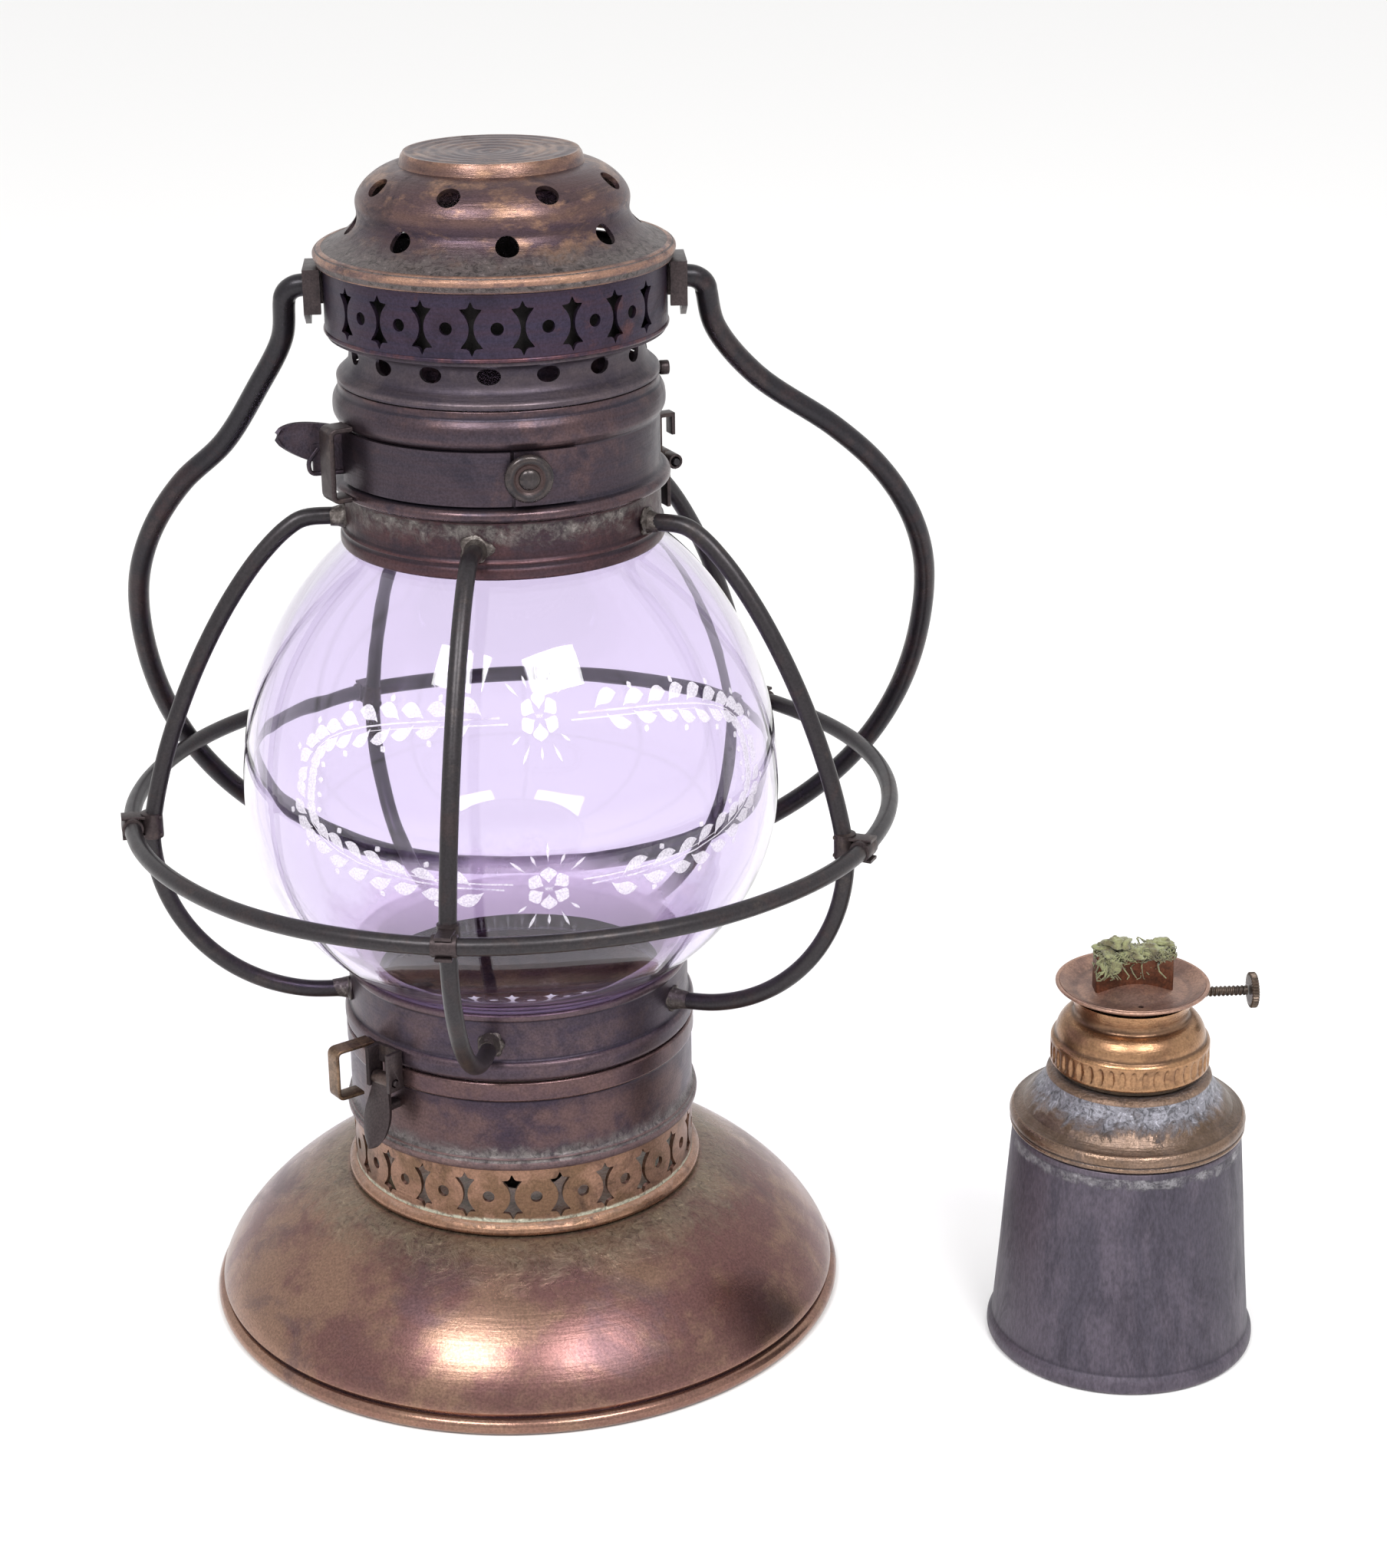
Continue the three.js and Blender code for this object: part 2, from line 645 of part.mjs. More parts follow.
// ---------------------------------------------------------------- globe
function globeRadius(z) {
  const upper = z > GLOBE_WIDEST_Z;
  const reach = upper ? GLOBE_UPPER_REACH : GLOBE_LOWER_REACH;
  const fullness = upper ? GLOBE_UPPER_FULLNESS : GLOBE_LOWER_FULLNESS;
  const away = Math.min(Math.abs(z - GLOBE_WIDEST_Z) / reach, 1);
  const round = GLOBE_R * (1 - away ** fullness) ** (1 / fullness);
  return Math.max(round, upper ? GLOBE_MOUTH_R : GLOBE_FOOT_R);
}

function globeHeight(radius, upper) {
  const reach = upper ? GLOBE_UPPER_REACH : -GLOBE_LOWER_REACH;
  const fullness = upper ? GLOBE_UPPER_FULLNESS : GLOBE_LOWER_FULLNESS;
  return GLOBE_WIDEST_Z + reach * (1 - (radius / GLOBE_R) ** fullness) ** (1 / fullness);
}

const globeFootBend = globeHeight(GLOBE_FOOT_R, false);
const globeMouthBend = globeHeight(GLOBE_MOUTH_R, true);
function globeSide(fromZ, toZ) {
  return shares(GLOBE_STEPS).map((share) => {
    const z = fromZ + (toZ - fromZ) * Math.sin(share * Math.PI / 2);
    return [globeRadius(z), z];
  });
}
const globeOuter = [
  [GLOBE_MOUTH_R, GLOBE_MOUTH_Z],
  ...globeSide(globeMouthBend, GLOBE_WIDEST_Z),
  ...globeSide(globeFootBend, GLOBE_WIDEST_Z).reverse().slice(1),
  [GLOBE_FOOT_R, GLOBE_FOOT_Z],
];
add(lamp, 'globe', turned(sheetSection(globeOuter, -GLASS)), GLASS_CLEAR);

function sealSection(boreR, outerR, z) {
  return [[boreR + GAP, z], [outerR - GAP, z], [outerR - GAP, z + CEMENT_LENGTH], [boreR + GAP, z + CEMENT_LENGTH]];
}
add(lamp, 'globe_seal_lower', turned(sealSection(GLOBE_FOOT_R, LOWER_RING_BORE_R, CEMENT_FOOT_Z)), CEMENT);
add(lamp, 'globe_seal_upper', turned(sealSection(GLOBE_MOUTH_R, UPPER_RING_BORE_R, CEMENT_MOUTH_Z)), CEMENT);

// ---------------------------------------------------------------- upper cage ring
const upperBeadTop = UPPER_RING_Z + UPPER_RING_BEAD_HEIGHT;
const upperRingSection = [
  [UPPER_RING_BORE_R, UPPER_RING_Z],
  [UPPER_RING_BEAD_R - GAP, UPPER_RING_Z],
  [UPPER_RING_BEAD_R, UPPER_RING_Z + BEAD_CORNER],
  [UPPER_RING_BEAD_R, upperBeadTop - BEAD_CORNER],
  [UPPER_RING_R, upperBeadTop],
  [UPPER_RING_R, UPPER_RING_TOP_Z],
  [UPPER_RING_BORE_R, UPPER_RING_TOP_Z],
];
add(lamp, 'upper_ring', turned(upperRingSection), DARK_BRASS);

// ---------------------------------------------------------------- cage wires, guard ring and clips
function wireGeometry(radius) {
  const points = [new THREE.Vector3(LOWER_RING_R + GAP, 0, WIRE_FOOT_Z)];
  for (const share of shares(WIRE_SAMPLES)) {
    const [drop, out] = quarter(share, WIRE_LOWER_FULLNESS);
    points.push(new THREE.Vector3(
      WIRE_FOOT_LEAD + (WIRE_BULGE_R - WIRE_FOOT_LEAD) * out, 0,
      WIRE_BULGE_Z - (WIRE_BULGE_Z - WIRE_FOOT_Z) * drop));
  }
  for (const share of shares(WIRE_SAMPLES).slice(1)) {
    const [out, rise] = quarter(share, WIRE_UPPER_FULLNESS);
    points.push(new THREE.Vector3(
      WIRE_HEAD_LEAD + (WIRE_BULGE_R - WIRE_HEAD_LEAD) * out, 0,
      WIRE_BULGE_Z + (WIRE_HEAD_Z - WIRE_BULGE_Z) * rise));
  }
  points.push(new THREE.Vector3(UPPER_RING_R + GAP, 0, WIRE_HEAD_Z));
  return tube(points, radius, WIRE_SIDES, WIRE_STEPS);
}

const wirePitch = 360 / WIRES;
const guardR = WIRE_BULGE_R + 2 * WIRE_R + GAP;
function clipGeometry() {
  const inner = WIRE_BULGE_R - WIRE_R - CLIP_COVER;
  const outer = guardR + WIRE_R + CLIP_COVER + GAP;
  const block = box(inner, outer, 2 * CLIP_HALF_WIDTH, GUARD_Z - CLIP_HALF_HEIGHT, GUARD_Z + CLIP_HALF_HEIGHT);
  const guardWay = rod(WIRE_R + RUNNING, 4 * CLIP_HALF_WIDTH, COARSE).translate(guardR, 0, GUARD_Z);
  return cut(block, [wireGeometry(WIRE_R + RUNNING), guardWay]);
}
for (let i = 0; i < WIRES; i += 1) {
  const azimuth = WIRE_PHASE + i * wirePitch;
  addAround(lamp, `wire_${i + 1}`, wireGeometry(WIRE_R), BLACK_WIRE, azimuth);
  addAround(lamp, `clip_${i + 1}`, clipGeometry(), BLACK_WIRE, azimuth);
}
const guard = new THREE.TorusGeometry(guardR, WIRE_R, WIRE_SIDES, WIRES * GUARD_SEGMENTS_PER_BAY)
  .translate(0, 0, GUARD_Z);
addAround(lamp, 'guard_ring', guard, BLACK_WIRE, WIRE_PHASE);

// ---------------------------------------------------------------- lid collar and neck
const lidZ = UPPER_RING_TOP_Z + GAP;
const lidRollTop = LID_ROLL_Z + LID_ROLL_HEIGHT;
const lidRollMiddle = (LID_ROLL_Z + lidRollTop) / 2;
const lidCollarSection = [
  [LID_BORE_R, lidZ],
  [LID_BEAD_R - BEAD_CORNER, lidZ],
  [LID_BEAD_R, lidZ + BEAD_CORNER],
  [LID_BEAD_R, lidZ + LID_BEAD_HEIGHT - BEAD_CORNER],
  [LID_R, lidZ + LID_BEAD_HEIGHT],
  [LID_R, LID_ROLL_Z],
  [LID_ROLL_R - GAP, LID_ROLL_Z + 2 * BEAD_CORNER],
  [LID_ROLL_R, lidRollMiddle],
  [LID_ROLL_R - GAP, lidRollTop - 2 * BEAD_CORNER],
  [LID_R, lidRollTop],
  [LID_R, LID_LIP_Z],
  [LID_BORE_R, LID_LIP_Z],
];
add(lamp, 'lid_collar', turned(lidCollarSection), DARK_BRASS);

const neckZ = LID_LIP_Z + GAP;
const neckOuter = [
  [NECK_TOP_R, NECK_TOP_Z - SHEET],
  [NECK_R, NECK_FLARE_Z],
  [NECK_R, neckZ + NECK_WAIST_HEIGHT],
  [LID_R, neckZ + NECK_FOOT_HEIGHT],
  [LID_R, neckZ],
];
const neckHoles = [];
for (let i = 0; i < NECK_HOLES; i += 1) {
  const hole = polygon(HOLE_SIDES, NECK_HOLE_HALF_WIDTH, NECK_HOLE_HALF_HEIGHT);
  neckHoles.push(piercing(hole, NECK_R, NECK_HOLE_Z, NECK_HOLE_PHASE + i * 360 / NECK_HOLES));
}
add(lamp, 'lid_neck', cut(turned(sheetSection(neckOuter, -SHEET)), neckHoles), DARK_BRASS);

// ---------------------------------------------------------------- gallery under the brim
const galleryZ = NECK_TOP_Z + GAP;
const gallerySection = [
  [GALLERY_R - BAND_WALL, galleryZ],
  [GALLERY_R, galleryZ],
  [GALLERY_R, GALLERY_TOP_Z],
  [GALLERY_R - BAND_WALL, GALLERY_TOP_Z],
];
const galleryPierceZ = (galleryZ + GALLERY_TOP_Z) / 2;
const galleryCutters = [];
for (const side of [0, 180]) {
  for (let i = 0; i <= GALLERY_ROSETTES_PER_SIDE; i += 1) {
    const azimuth = side + (i - GALLERY_ROSETTES_PER_SIDE / 2) * GALLERY_PITCH;
    galleryCutters.push(piercing(star(), GALLERY_R, galleryPierceZ, azimuth));
    if (i < GALLERY_ROSETTES_PER_SIDE) {
      const eye = polygon(ROSETTE_EYE_SIDES, ROSETTE_EYE_R);
      galleryCutters.push(piercing(eye, GALLERY_R, galleryPierceZ, azimuth + GALLERY_PITCH / 2));
    }
  }
}
add(lamp, 'gallery_band', cut(turned(gallerySection), galleryCutters), DARK_BRASS);

// ---------------------------------------------------------------- dome and brim
const brimZ = GALLERY_TOP_Z + GAP;
const brimTopZ = brimZ + BRIM_EDGE_HEIGHT;
const domeSweep = shares(DOME_STEPS).map((share) => {
  const [below, inward] = quarter(share, DOME_SWEEP_FULLNESS);
  return [
    BRIM_SWEEP_R - (BRIM_SWEEP_R - DOME_WAIST_R) * inward,
    DOME_WAIST_Z - (DOME_WAIST_Z - brimTopZ) * below,
  ];
}).reverse();
const domeShoulder = shares(DOME_STEPS).map((share) => {
  const [out, up] = quarter(1 - share, DOME_SHOULDER_FULLNESS);
  return [
    DOME_SHOULDER_R + (DOME_BULGE_R - DOME_SHOULDER_R) * out,
    DOME_BULGE_Z + (DOME_SHOULDER_Z - DOME_BULGE_Z) * up,
  ];
});
const domeFace = [
  [0, DISC_TOP_Z - DISC_DISH],
  [DISC_R - SHEET, DISC_TOP_Z],
  [DISC_R, DISC_TOP_Z - SHEET],
  ...domeShoulder,
  ...domeSweep,
];
const domeBack = sheetSection(domeFace, -SHEET).slice(domeFace.length);
const domeSection = [
  ...domeFace,
  [BRIM_R, brimTopZ - BRIM_CORNER],
  [BRIM_R, brimZ + BRIM_CORNER],
  [BRIM_R - BRIM_CORNER, brimZ],
  [BRIM_R - BRIM_CORNER - SHEET, brimZ],
  ...domeBack,
];
const domeHoles = [];
for (let i = 0; i < DOME_HOLES; i += 1) {
  const hole = polygon(HOLE_SIDES, DOME_HOLE_R);
  const pitch = i * 360 / DOME_HOLES;
  const upper = outwardPrism(hole, -2 * SHEET, 2 * SHEET)
    .rotateY(-DOME_UPPER_HOLE_TILT).translate(DOME_UPPER_HOLE_R, 0, DOME_UPPER_HOLE_Z);
  domeHoles.push(toAzimuth(upper, DOME_UPPER_PHASE + pitch));
  const lower = outwardPrism(hole, DOME_WAIST_R - 2 * SHEET, DOME_WAIST_R + DOME_CUT_REACH, DOME_LOWER_HOLE_Z);
  domeHoles.push(toAzimuth(lower, DOME_LOWER_PHASE + pitch));
}
add(lamp, 'dome', cut(turned(domeSection), domeHoles), WARM_BRASS);

// ---------------------------------------------------------------- ears
function earGeometry() {
  const plateR = GALLERY_R + GAP + EAR_STANDOFF;
  const foot = BAIL_PIVOT_Z - EAR_HEIGHT / 2 - EAR_POINT / 2;
  const top = GALLERY_TOP_Z - GAP;
  const half = EAR_WIDTH / 2;
  const shield = shapeOf([[half, foot + EAR_POINT], [half, top], [-half, top], [-half, foot + EAR_POINT], [0, foot]]);
  const plate = outwardPrism(shield, plateR, plateR + EAR_PLATE);
  const upper = box(GALLERY_R + GAP, plateR + GAP, EAR_WIDTH, top - EAR_FOLD, top);
  const left = box(GALLERY_R + GAP, plateR + GAP, EAR_FOLD, foot + EAR_POINT, top, half - EAR_FOLD / 2);
  const right = box(GALLERY_R + GAP, plateR + GAP, EAR_FOLD, foot + EAR_POINT, top, EAR_FOLD / 2 - half);
  const hole = outwardPrism(polygon(COARSE, BAIL_R + RUNNING), plateR - PASS, plateR + PASS + EAR_PLATE, BAIL_PIVOT_Z);
  return cut(join([plate, upper, left, right]), [hole]);
}
addAround(lamp, 'ear_right', earGeometry(), DARK_BRASS, 90);
addAround(lamp, 'ear_left', earGeometry(), DARK_BRASS, -90);

// ---------------------------------------------------------------- bail
// The bail is drawn hanging straight down from its pivot line: (across, down from the pivot).
const stubEnd = GALLERY_R + 2 * GAP;
const elbowX = GALLERY_R + GAP + EAR_STANDOFF + EAR_PLATE + GAP;
function bailPoint(across, drop) {
  return new THREE.Vector3(across, 0, -drop);
}

function bailArm(side) {
  const points = [];
  for (const share of shares(BAIL_ELBOW_STEPS)) {
    const turn = share * Math.PI / 2;
    const across = elbowX + BAIL_ELBOW_R * Math.sin(turn);
    points.push(bailPoint(side * across, BAIL_ELBOW_R * (1 - Math.cos(turn))));
  }
  points.push(bailPoint(side * BAIL_ARM_X + BAIL_LEAN * BAIL_ARM_DROP / BAIL_LENGTH, BAIL_ARM_DROP));
  points.push(bailKnee(side));
  return points;
}

function bailKnee(side) {
  return bailPoint(side * BAIL_KNEE_X + BAIL_LEAN * BAIL_KNEE_DROP / BAIL_WIDEST_DROP, BAIL_KNEE_DROP);
}

function bailSide(side) {
  const points = [bailKnee(side)];
  for (const share of shares(BAIL_SHOULDER_STEPS)) {
    const turn = THREE.MathUtils.degToRad(BAIL_SHOULDER_ANGLE * (1 - share));
    points.push(bailPoint(side * BAIL_HALF_WIDTH * Math.cos(turn) + BAIL_LEAN,
      BAIL_WIDEST_DROP - BAIL_UPPER_REACH * Math.sin(turn)));
  }
  for (const share of shares(BAIL_BOTTOM_STEPS).slice(1, -1)) {
    const [across, down] = quarter(share, BAIL_LOWER_FULLNESS);
    points.push(bailPoint(side * BAIL_HALF_WIDTH * across + BAIL_LEAN,
      BAIL_WIDEST_DROP + (BAIL_LENGTH - BAIL_WIDEST_DROP) * down));
  }
  return points;
}

function bailStub(side) {
  const length = elbowX + BAIL_STUB_R - stubEnd;
  return rod(BAIL_R, length, COARSE).rotateZ(Math.PI / 2).translate(side * (stubEnd + length / 2), 0, 0);
}

const bailLoop = [...bailSide(-1), bailPoint(BAIL_LEAN, BAIL_LENGTH), ...bailSide(1).reverse()];
const bailParts = [tube(bailLoop, BAIL_R, BAIL_SIDES, BAIL_LOOP_STEPS)];
for (const side of [-1, 1]) {
  const beyond = bailSide(side)[1];
  bailParts.push(tube([...bailArm(side), beyond], BAIL_R, BAIL_SIDES, BAIL_ARM_STEPS), bailStub(side));
}
const bail = add(lamp, 'bail', join(bailParts), BLACK_WIRE);
bail.position.z = BAIL_PIVOT_Z;
bail.rotation.x = THREE.MathUtils.degToRad(BAIL_REST_ANGLE);

// ---------------------------------------------------------------- lid latch
const stripInnerR = LID_R + GAP;
function stripGeometry(fromAzimuth, toAzimuthEnd) {
  const arc = shares(STRIP_STEPS).map((share) => {
    return THREE.MathUtils.degToRad(fromAzimuth + (toAzimuthEnd - fromAzimuth) * share - 90);
  });
  const outer = arc.map((turn) => [(stripInnerR + STRIP) * Math.cos(turn), (stripInnerR + STRIP) * Math.sin(turn)]);
  const inner = arc.map((turn) => [stripInnerR * Math.cos(turn), stripInnerR * Math.sin(turn)]);
  return prism(shapeOf([...outer, ...inner.reverse()]), STRIP_HEIGHT).translate(0, 0, STRIP_Z);
}

function leafShape(inner, outer, middle, half) {
  const outline = new THREE.Shape();
  outline.moveTo(inner, middle - half / 2);
  outline.quadraticCurveTo((inner + outer) / 2, middle - half * LEAF_BELLY, outer, middle + half / 2);
  outline.quadraticCurveTo((inner + outer) / 2, middle + half * LEAF_BELLY, inner, middle + half / 2);
  outline.closePath();
  return shapeOf(outline.getPoints(5).slice(0, -1).map((point) => [point.x, point.y]));
}

add(lamp, 'lid_latch_plate', stripGeometry(STRIP_SPLIT + STRIP_SPLIT_HALF, STRIP_END), DARK_BRASS);
const tab = crosswisePrism(leafShape(TAB_INNER_R, TAB_OUTER_R, TAB_Z, TAB_HALF_HEIGHT), TAB_PLATE);
const tabFoot = box(TAB_INNER_R, TAB_FOOT_R, TAB_PLATE, TAB_FOOT_Z, TAB_Z);
const tabs = toAzimuth(join([tab, tabFoot]), STRIP_FREE_END);
const springStrip = stripGeometry(STRIP_FREE_END, STRIP_SPLIT - STRIP_SPLIT_HALF);
add(lamp, 'lid_latch_spring', join([springStrip, tabs]), DARK_BRASS);

const buttonFace = stripInnerR + STRIP;
const buttonSection = [
  [0, 0],
  [RIVET_R, 0],
  [RIVET_R, BUTTON_SLACK],
  [BUTTON_R, BUTTON_SLACK],
  [BUTTON_R, BUTTON_HEIGHT - BUTTON_BORDER],
  [BUTTON_R - BUTTON_BORDER, BUTTON_HEIGHT],
  [RIVET_R + BUTTON_BORDER, BUTTON_HEIGHT],
  [RIVET_R, BUTTON_HEIGHT + RIVET_HEIGHT],
  [0, BUTTON_HEIGHT + RIVET_HEIGHT],
];
const button = turned(buttonSection, COARSE).rotateY(Math.PI / 2).translate(buttonFace + GAP, 0, BUTTON_Z);
addAround(lamp, 'lid_latch_button', button, BLACK_WIRE, BUTTON_AZ);

const keeperOuter = box(KEEPER_R - KEEPER_PLATE, KEEPER_R, KEEPER_WIDTH, KEEPER_FOOT_Z, KEEPER_TOP_Z);
const keeperTop = box(LID_ROLL_R + GAP, KEEPER_R, KEEPER_WIDTH, KEEPER_TOP_Z - KEEPER_PLATE, KEEPER_TOP_Z);
const keeperFoot = box(LID_BEAD_R + GAP, KEEPER_R, KEEPER_WIDTH, KEEPER_FOOT_Z, KEEPER_FOOT_Z + KEEPER_PLATE);
addAround(lamp, 'lid_latch_keeper', join([keeperOuter, keeperTop, keeperFoot]), DARK_BRASS, KEEPER_AZ);

// ---------------------------------------------------------------- lid hinge
function knuckle(radius, boreR, length, r, z, sideways) {
  const outer = rod(radius, length, COARSE).translate(0, sideways, 0);
  const bore = rod(boreR, length + 2 * PASS, COARSE).translate(0, sideways, 0);
  return cut(outer, [bore]).translate(r, 0, z);
}

function pin(radius, length, r, z) {
  return rod(radius, length, COARSE).translate(r, 0, z);
}

const lidKnuckle = LID_HINGE_LENGTH / 3;
const lidLeafInner = LID_BEAD_R + GAP;
const lidLeafOuter = lidLeafInner + LID_LEAF_PLATE;
const lidBore = LID_PIN_R + GAP;
const lidMiddle = lidKnuckle - 2 * GAP;
const lidUpperParts = [
  knuckle(LID_KNUCKLE_R, lidBore, lidMiddle, LID_HINGE_R, LID_HINGE_Z, 0),
  box(lidLeafInner, lidLeafOuter, lidMiddle, LID_HINGE_Z, LID_HINGE_Z + LID_LEAF_HEIGHT),
  box(lidLeafInner, lidLeafOuter + LID_LOOP_REACH, lidMiddle,
    LID_HINGE_Z + LID_LEAF_HEIGHT - LID_LEAF_PLATE, LID_HINGE_Z + LID_LEAF_HEIGHT),
  box(lidLeafOuter + LID_LOOP_REACH - LID_LEAF_PLATE, lidLeafOuter + LID_LOOP_REACH, lidMiddle,
    LID_HINGE_Z + LID_LEAF_HEIGHT / 2, LID_HINGE_Z + LID_LEAF_HEIGHT),
];
addAround(lamp, 'lid_hinge_upper', join(lidUpperParts), DARK_BRASS, LID_HINGE_AZ);
const lidLowerLeafTop = LID_HINGE_Z - LID_KNUCKLE_R - GAP;
const lidLowerParts = [
  box(lidLeafInner, lidLeafOuter, LID_HINGE_LENGTH, LID_HINGE_Z - LID_LEAF_HEIGHT, lidLowerLeafTop),
];
for (const side of [-1, 1]) {
  const sideways = side * lidKnuckle;
  lidLowerParts.push(knuckle(LID_KNUCKLE_R, lidBore, lidKnuckle, LID_HINGE_R, LID_HINGE_Z, sideways));
  lidLowerParts.push(box(lidLeafInner, lidLeafOuter, lidKnuckle, lidLowerLeafTop - GAP, LID_HINGE_Z, sideways));
}
addAround(lamp, 'lid_hinge_lower', join(lidLowerParts), DARK_BRASS, LID_HINGE_AZ);
addAround(lamp, 'lid_hinge_pin', pin(LID_PIN_R, LID_HINGE_LENGTH + PASS, LID_HINGE_R, LID_HINGE_Z),
  BLACK_WIRE, LID_HINGE_AZ);
const knob = rod(KNOB_R, KNOB_LENGTH, COARSE).rotateZ(Math.PI / 2)
  .translate(LID_R + GAP + KNOB_LENGTH / 2, 0, 0);
const knobMesh = addAround(lamp, 'lid_knob', knob, WARM_BRASS, KNOB_AZ);
knobMesh.position.z = KNOB_Z - NECK_FOOT_HEIGHT - KNOB_R - GAP;

// ---------------------------------------------------------------- base hinge
const hingeBore = HINGE_PIN_R + RUNNING;
const hingeOuterLength = (HINGE_LENGTH - HINGE_MIDDLE) / 2 - GAP;
const hingeOuterSide = HINGE_MIDDLE / 2 + GAP + hingeOuterLength / 2;
const leafInner = HINGE_LEAF_R - HINGE_LEAF_PLATE;
const lowerLeafTop = HINGE_Z - HINGE_KNUCKLE_R - HINGE_CLEAR;
const baseHingeParts = [box(leafInner, HINGE_LEAF_R, HINGE_LENGTH, HINGE_LOWER_Z, lowerLeafTop)];
for (const side of [-1, 1]) {
  const sideways = side * hingeOuterSide;
  baseHingeParts.push(knuckle(HINGE_KNUCKLE_R, hingeBore, hingeOuterLength, HINGE_R, HINGE_Z, sideways));
  baseHingeParts.push(box(leafInner, HINGE_LEAF_R, hingeOuterLength, lowerLeafTop - GAP,
    HINGE_Z - HINGE_PIN_R, sideways));
}
addAround(lamp, 'base_hinge_lower', join(baseHingeParts), DARK_BRASS, HINGE_AZ);
const upperLeafFoot = HINGE_Z + HINGE_KNUCKLE_R + HINGE_CLEAR;
const cageHingeParts = [
  box(leafInner, HINGE_LEAF_R, HINGE_LENGTH, upperLeafFoot, HINGE_UPPER_Z),
  box(leafInner, HINGE_LEAF_R, HINGE_MIDDLE, HINGE_Z + HINGE_PIN_R, upperLeafFoot + GAP),
  knuckle(HINGE_KNUCKLE_R, hingeBore, HINGE_MIDDLE, HINGE_R, HINGE_Z, 0),
];
addAround(lamp, 'base_hinge_upper', join(cageHingeParts), DARK_BRASS, HINGE_AZ);
addAround(lamp, 'base_hinge_pin', pin(HINGE_PIN_R, HINGE_LENGTH + PASS, HINGE_R, HINGE_Z),
  BLACK_WIRE, HINGE_AZ);

// ---------------------------------------------------------------- base latch
const bracketInner = LOWER_RING_BEAD_R + GAP;
const bracketOuter = bracketInner + CATCH_CHEEK;
const cheekSide = CATCH_WIDTH / 2 + GAP + CATCH_CHEEK / 2;
const bracketParts = [
  box(bracketInner, bracketOuter, CATCH_WIDTH + 2 * (GAP + CATCH_CHEEK), CATCH_BACK_Z, CATCH_BACK_TOP_Z),
];
const cheekCut = [];
for (const side of [-1, 1]) {
  bracketParts.push(box(bracketInner, CATCH_CHEEK_R, CATCH_CHEEK, CATCH_CHEEK_Z, CATCH_BACK_TOP_Z, side * cheekSide));
  cheekCut.push(rod(CATCH_PIN_R + GAP, CATCH_CHEEK + 2 * PASS, COARSE)
    .translate(CATCH_R, side * cheekSide, CATCH_Z));
}
addAround(lamp, 'base_latch_bracket', cut(join(bracketParts), cheekCut), DARK_BRASS, CATCH_AZ);
const catchPinLength = CATCH_WIDTH + 2 * (GAP + CATCH_CHEEK) + PASS;
addAround(lamp, 'base_latch_pin', pin(CATCH_PIN_R, catchPinLength, CATCH_R, CATCH_Z), BLACK_WIRE, CATCH_AZ);

const leafHalf = CATCH_LEAF_WIDTH / 2;
const leafOutline = shapeOf([
  [CATCH_WIDTH / 2, 0],
  [-CATCH_WIDTH / 2, 0],
  [-CATCH_WIDTH / 2, -CATCH_LEAF_LENGTH / 4],
  [-leafHalf, -CATCH_LEAF_LENGTH / 2],
  [-leafHalf / 2, -CATCH_LEAF_LENGTH * CATCH_LEAF_SHOULDER],
  [0, -CATCH_LEAF_LENGTH],
  [leafHalf / 2, -CATCH_LEAF_LENGTH * CATCH_LEAF_SHOULDER],
  [leafHalf, -CATCH_LEAF_LENGTH / 2],
  [CATCH_WIDTH / 2, -CATCH_LEAF_LENGTH / 4],
]);
const leaf = outwardPrism(leafOutline, CATCH_PIN_R + GAP, CATCH_PIN_R + GAP + CATCH_LEAF_PLATE)
  .rotateY(-THREE.MathUtils.degToRad(CATCH_LEAF_TILT)).translate(CATCH_R, 0, CATCH_Z);
const tongue = box(CATCH_TONGUE_R, CATCH_R + CATCH_TONGUE_DROP / 2, CATCH_TONGUE_WIDTH,
  CATCH_Z - CATCH_TONGUE_DROP - CATCH_TONGUE_HEIGHT, CATCH_Z - CATCH_TONGUE_DROP);
const latchKnuckle = knuckle(CATCH_KNUCKLE_R, CATCH_PIN_R + GAP, CATCH_WIDTH, CATCH_R, CATCH_Z, 0);
addAround(lamp, 'base_latch_leaf', join([leaf, tongue, latchKnuckle]), DARK_BRASS, CATCH_AZ);

const loopParts = [
  box(bracketInner, LOOP_OUTER_R, LOOP_WIDTH, LOOP_TOP_Z - LOOP_STRIP, LOOP_TOP_Z),
  box(LOOP_OUTER_R - LOOP_STRIP, LOOP_OUTER_R, LOOP_WIDTH, LOOP_FOOT_Z, LOOP_TOP_Z),
  box(LOOP_LOWER_R, LOOP_OUTER_R, LOOP_WIDTH, LOOP_FOOT_Z, LOOP_FOOT_Z + LOOP_STRIP),
];
addAround(lamp, 'base_latch_loop', join(loopParts), BRIGHT_BRASS, LOOP_AZ);

// ---------------------------------------------------------------- font: tank and shoulder
const tankOuter = [
  [0, 0],
  [TANK_RIM_R - TANK_RIM_CORNER, 0],
  [TANK_RIM_R, TANK_RIM_CORNER],
  [TANK_RIM_R, TANK_RIM_HEIGHT - TANK_RIM_CORNER],
  [TANK_FOOT_R, TANK_RIM_HEIGHT],
  [TANK_TOP_R, TANK_TOP_Z],
  [TANK_TOP_R - TANK_WALL, TANK_TOP_Z],
  [TANK_FOOT_R - TANK_WALL, TANK_RIM_HEIGHT],
  [TANK_FOOT_R - TANK_WALL, TANK_WALL],
  [0, TANK_WALL],
];
add(font, 'tank', turned(tankOuter, MEDIUM), GREY_TIN);

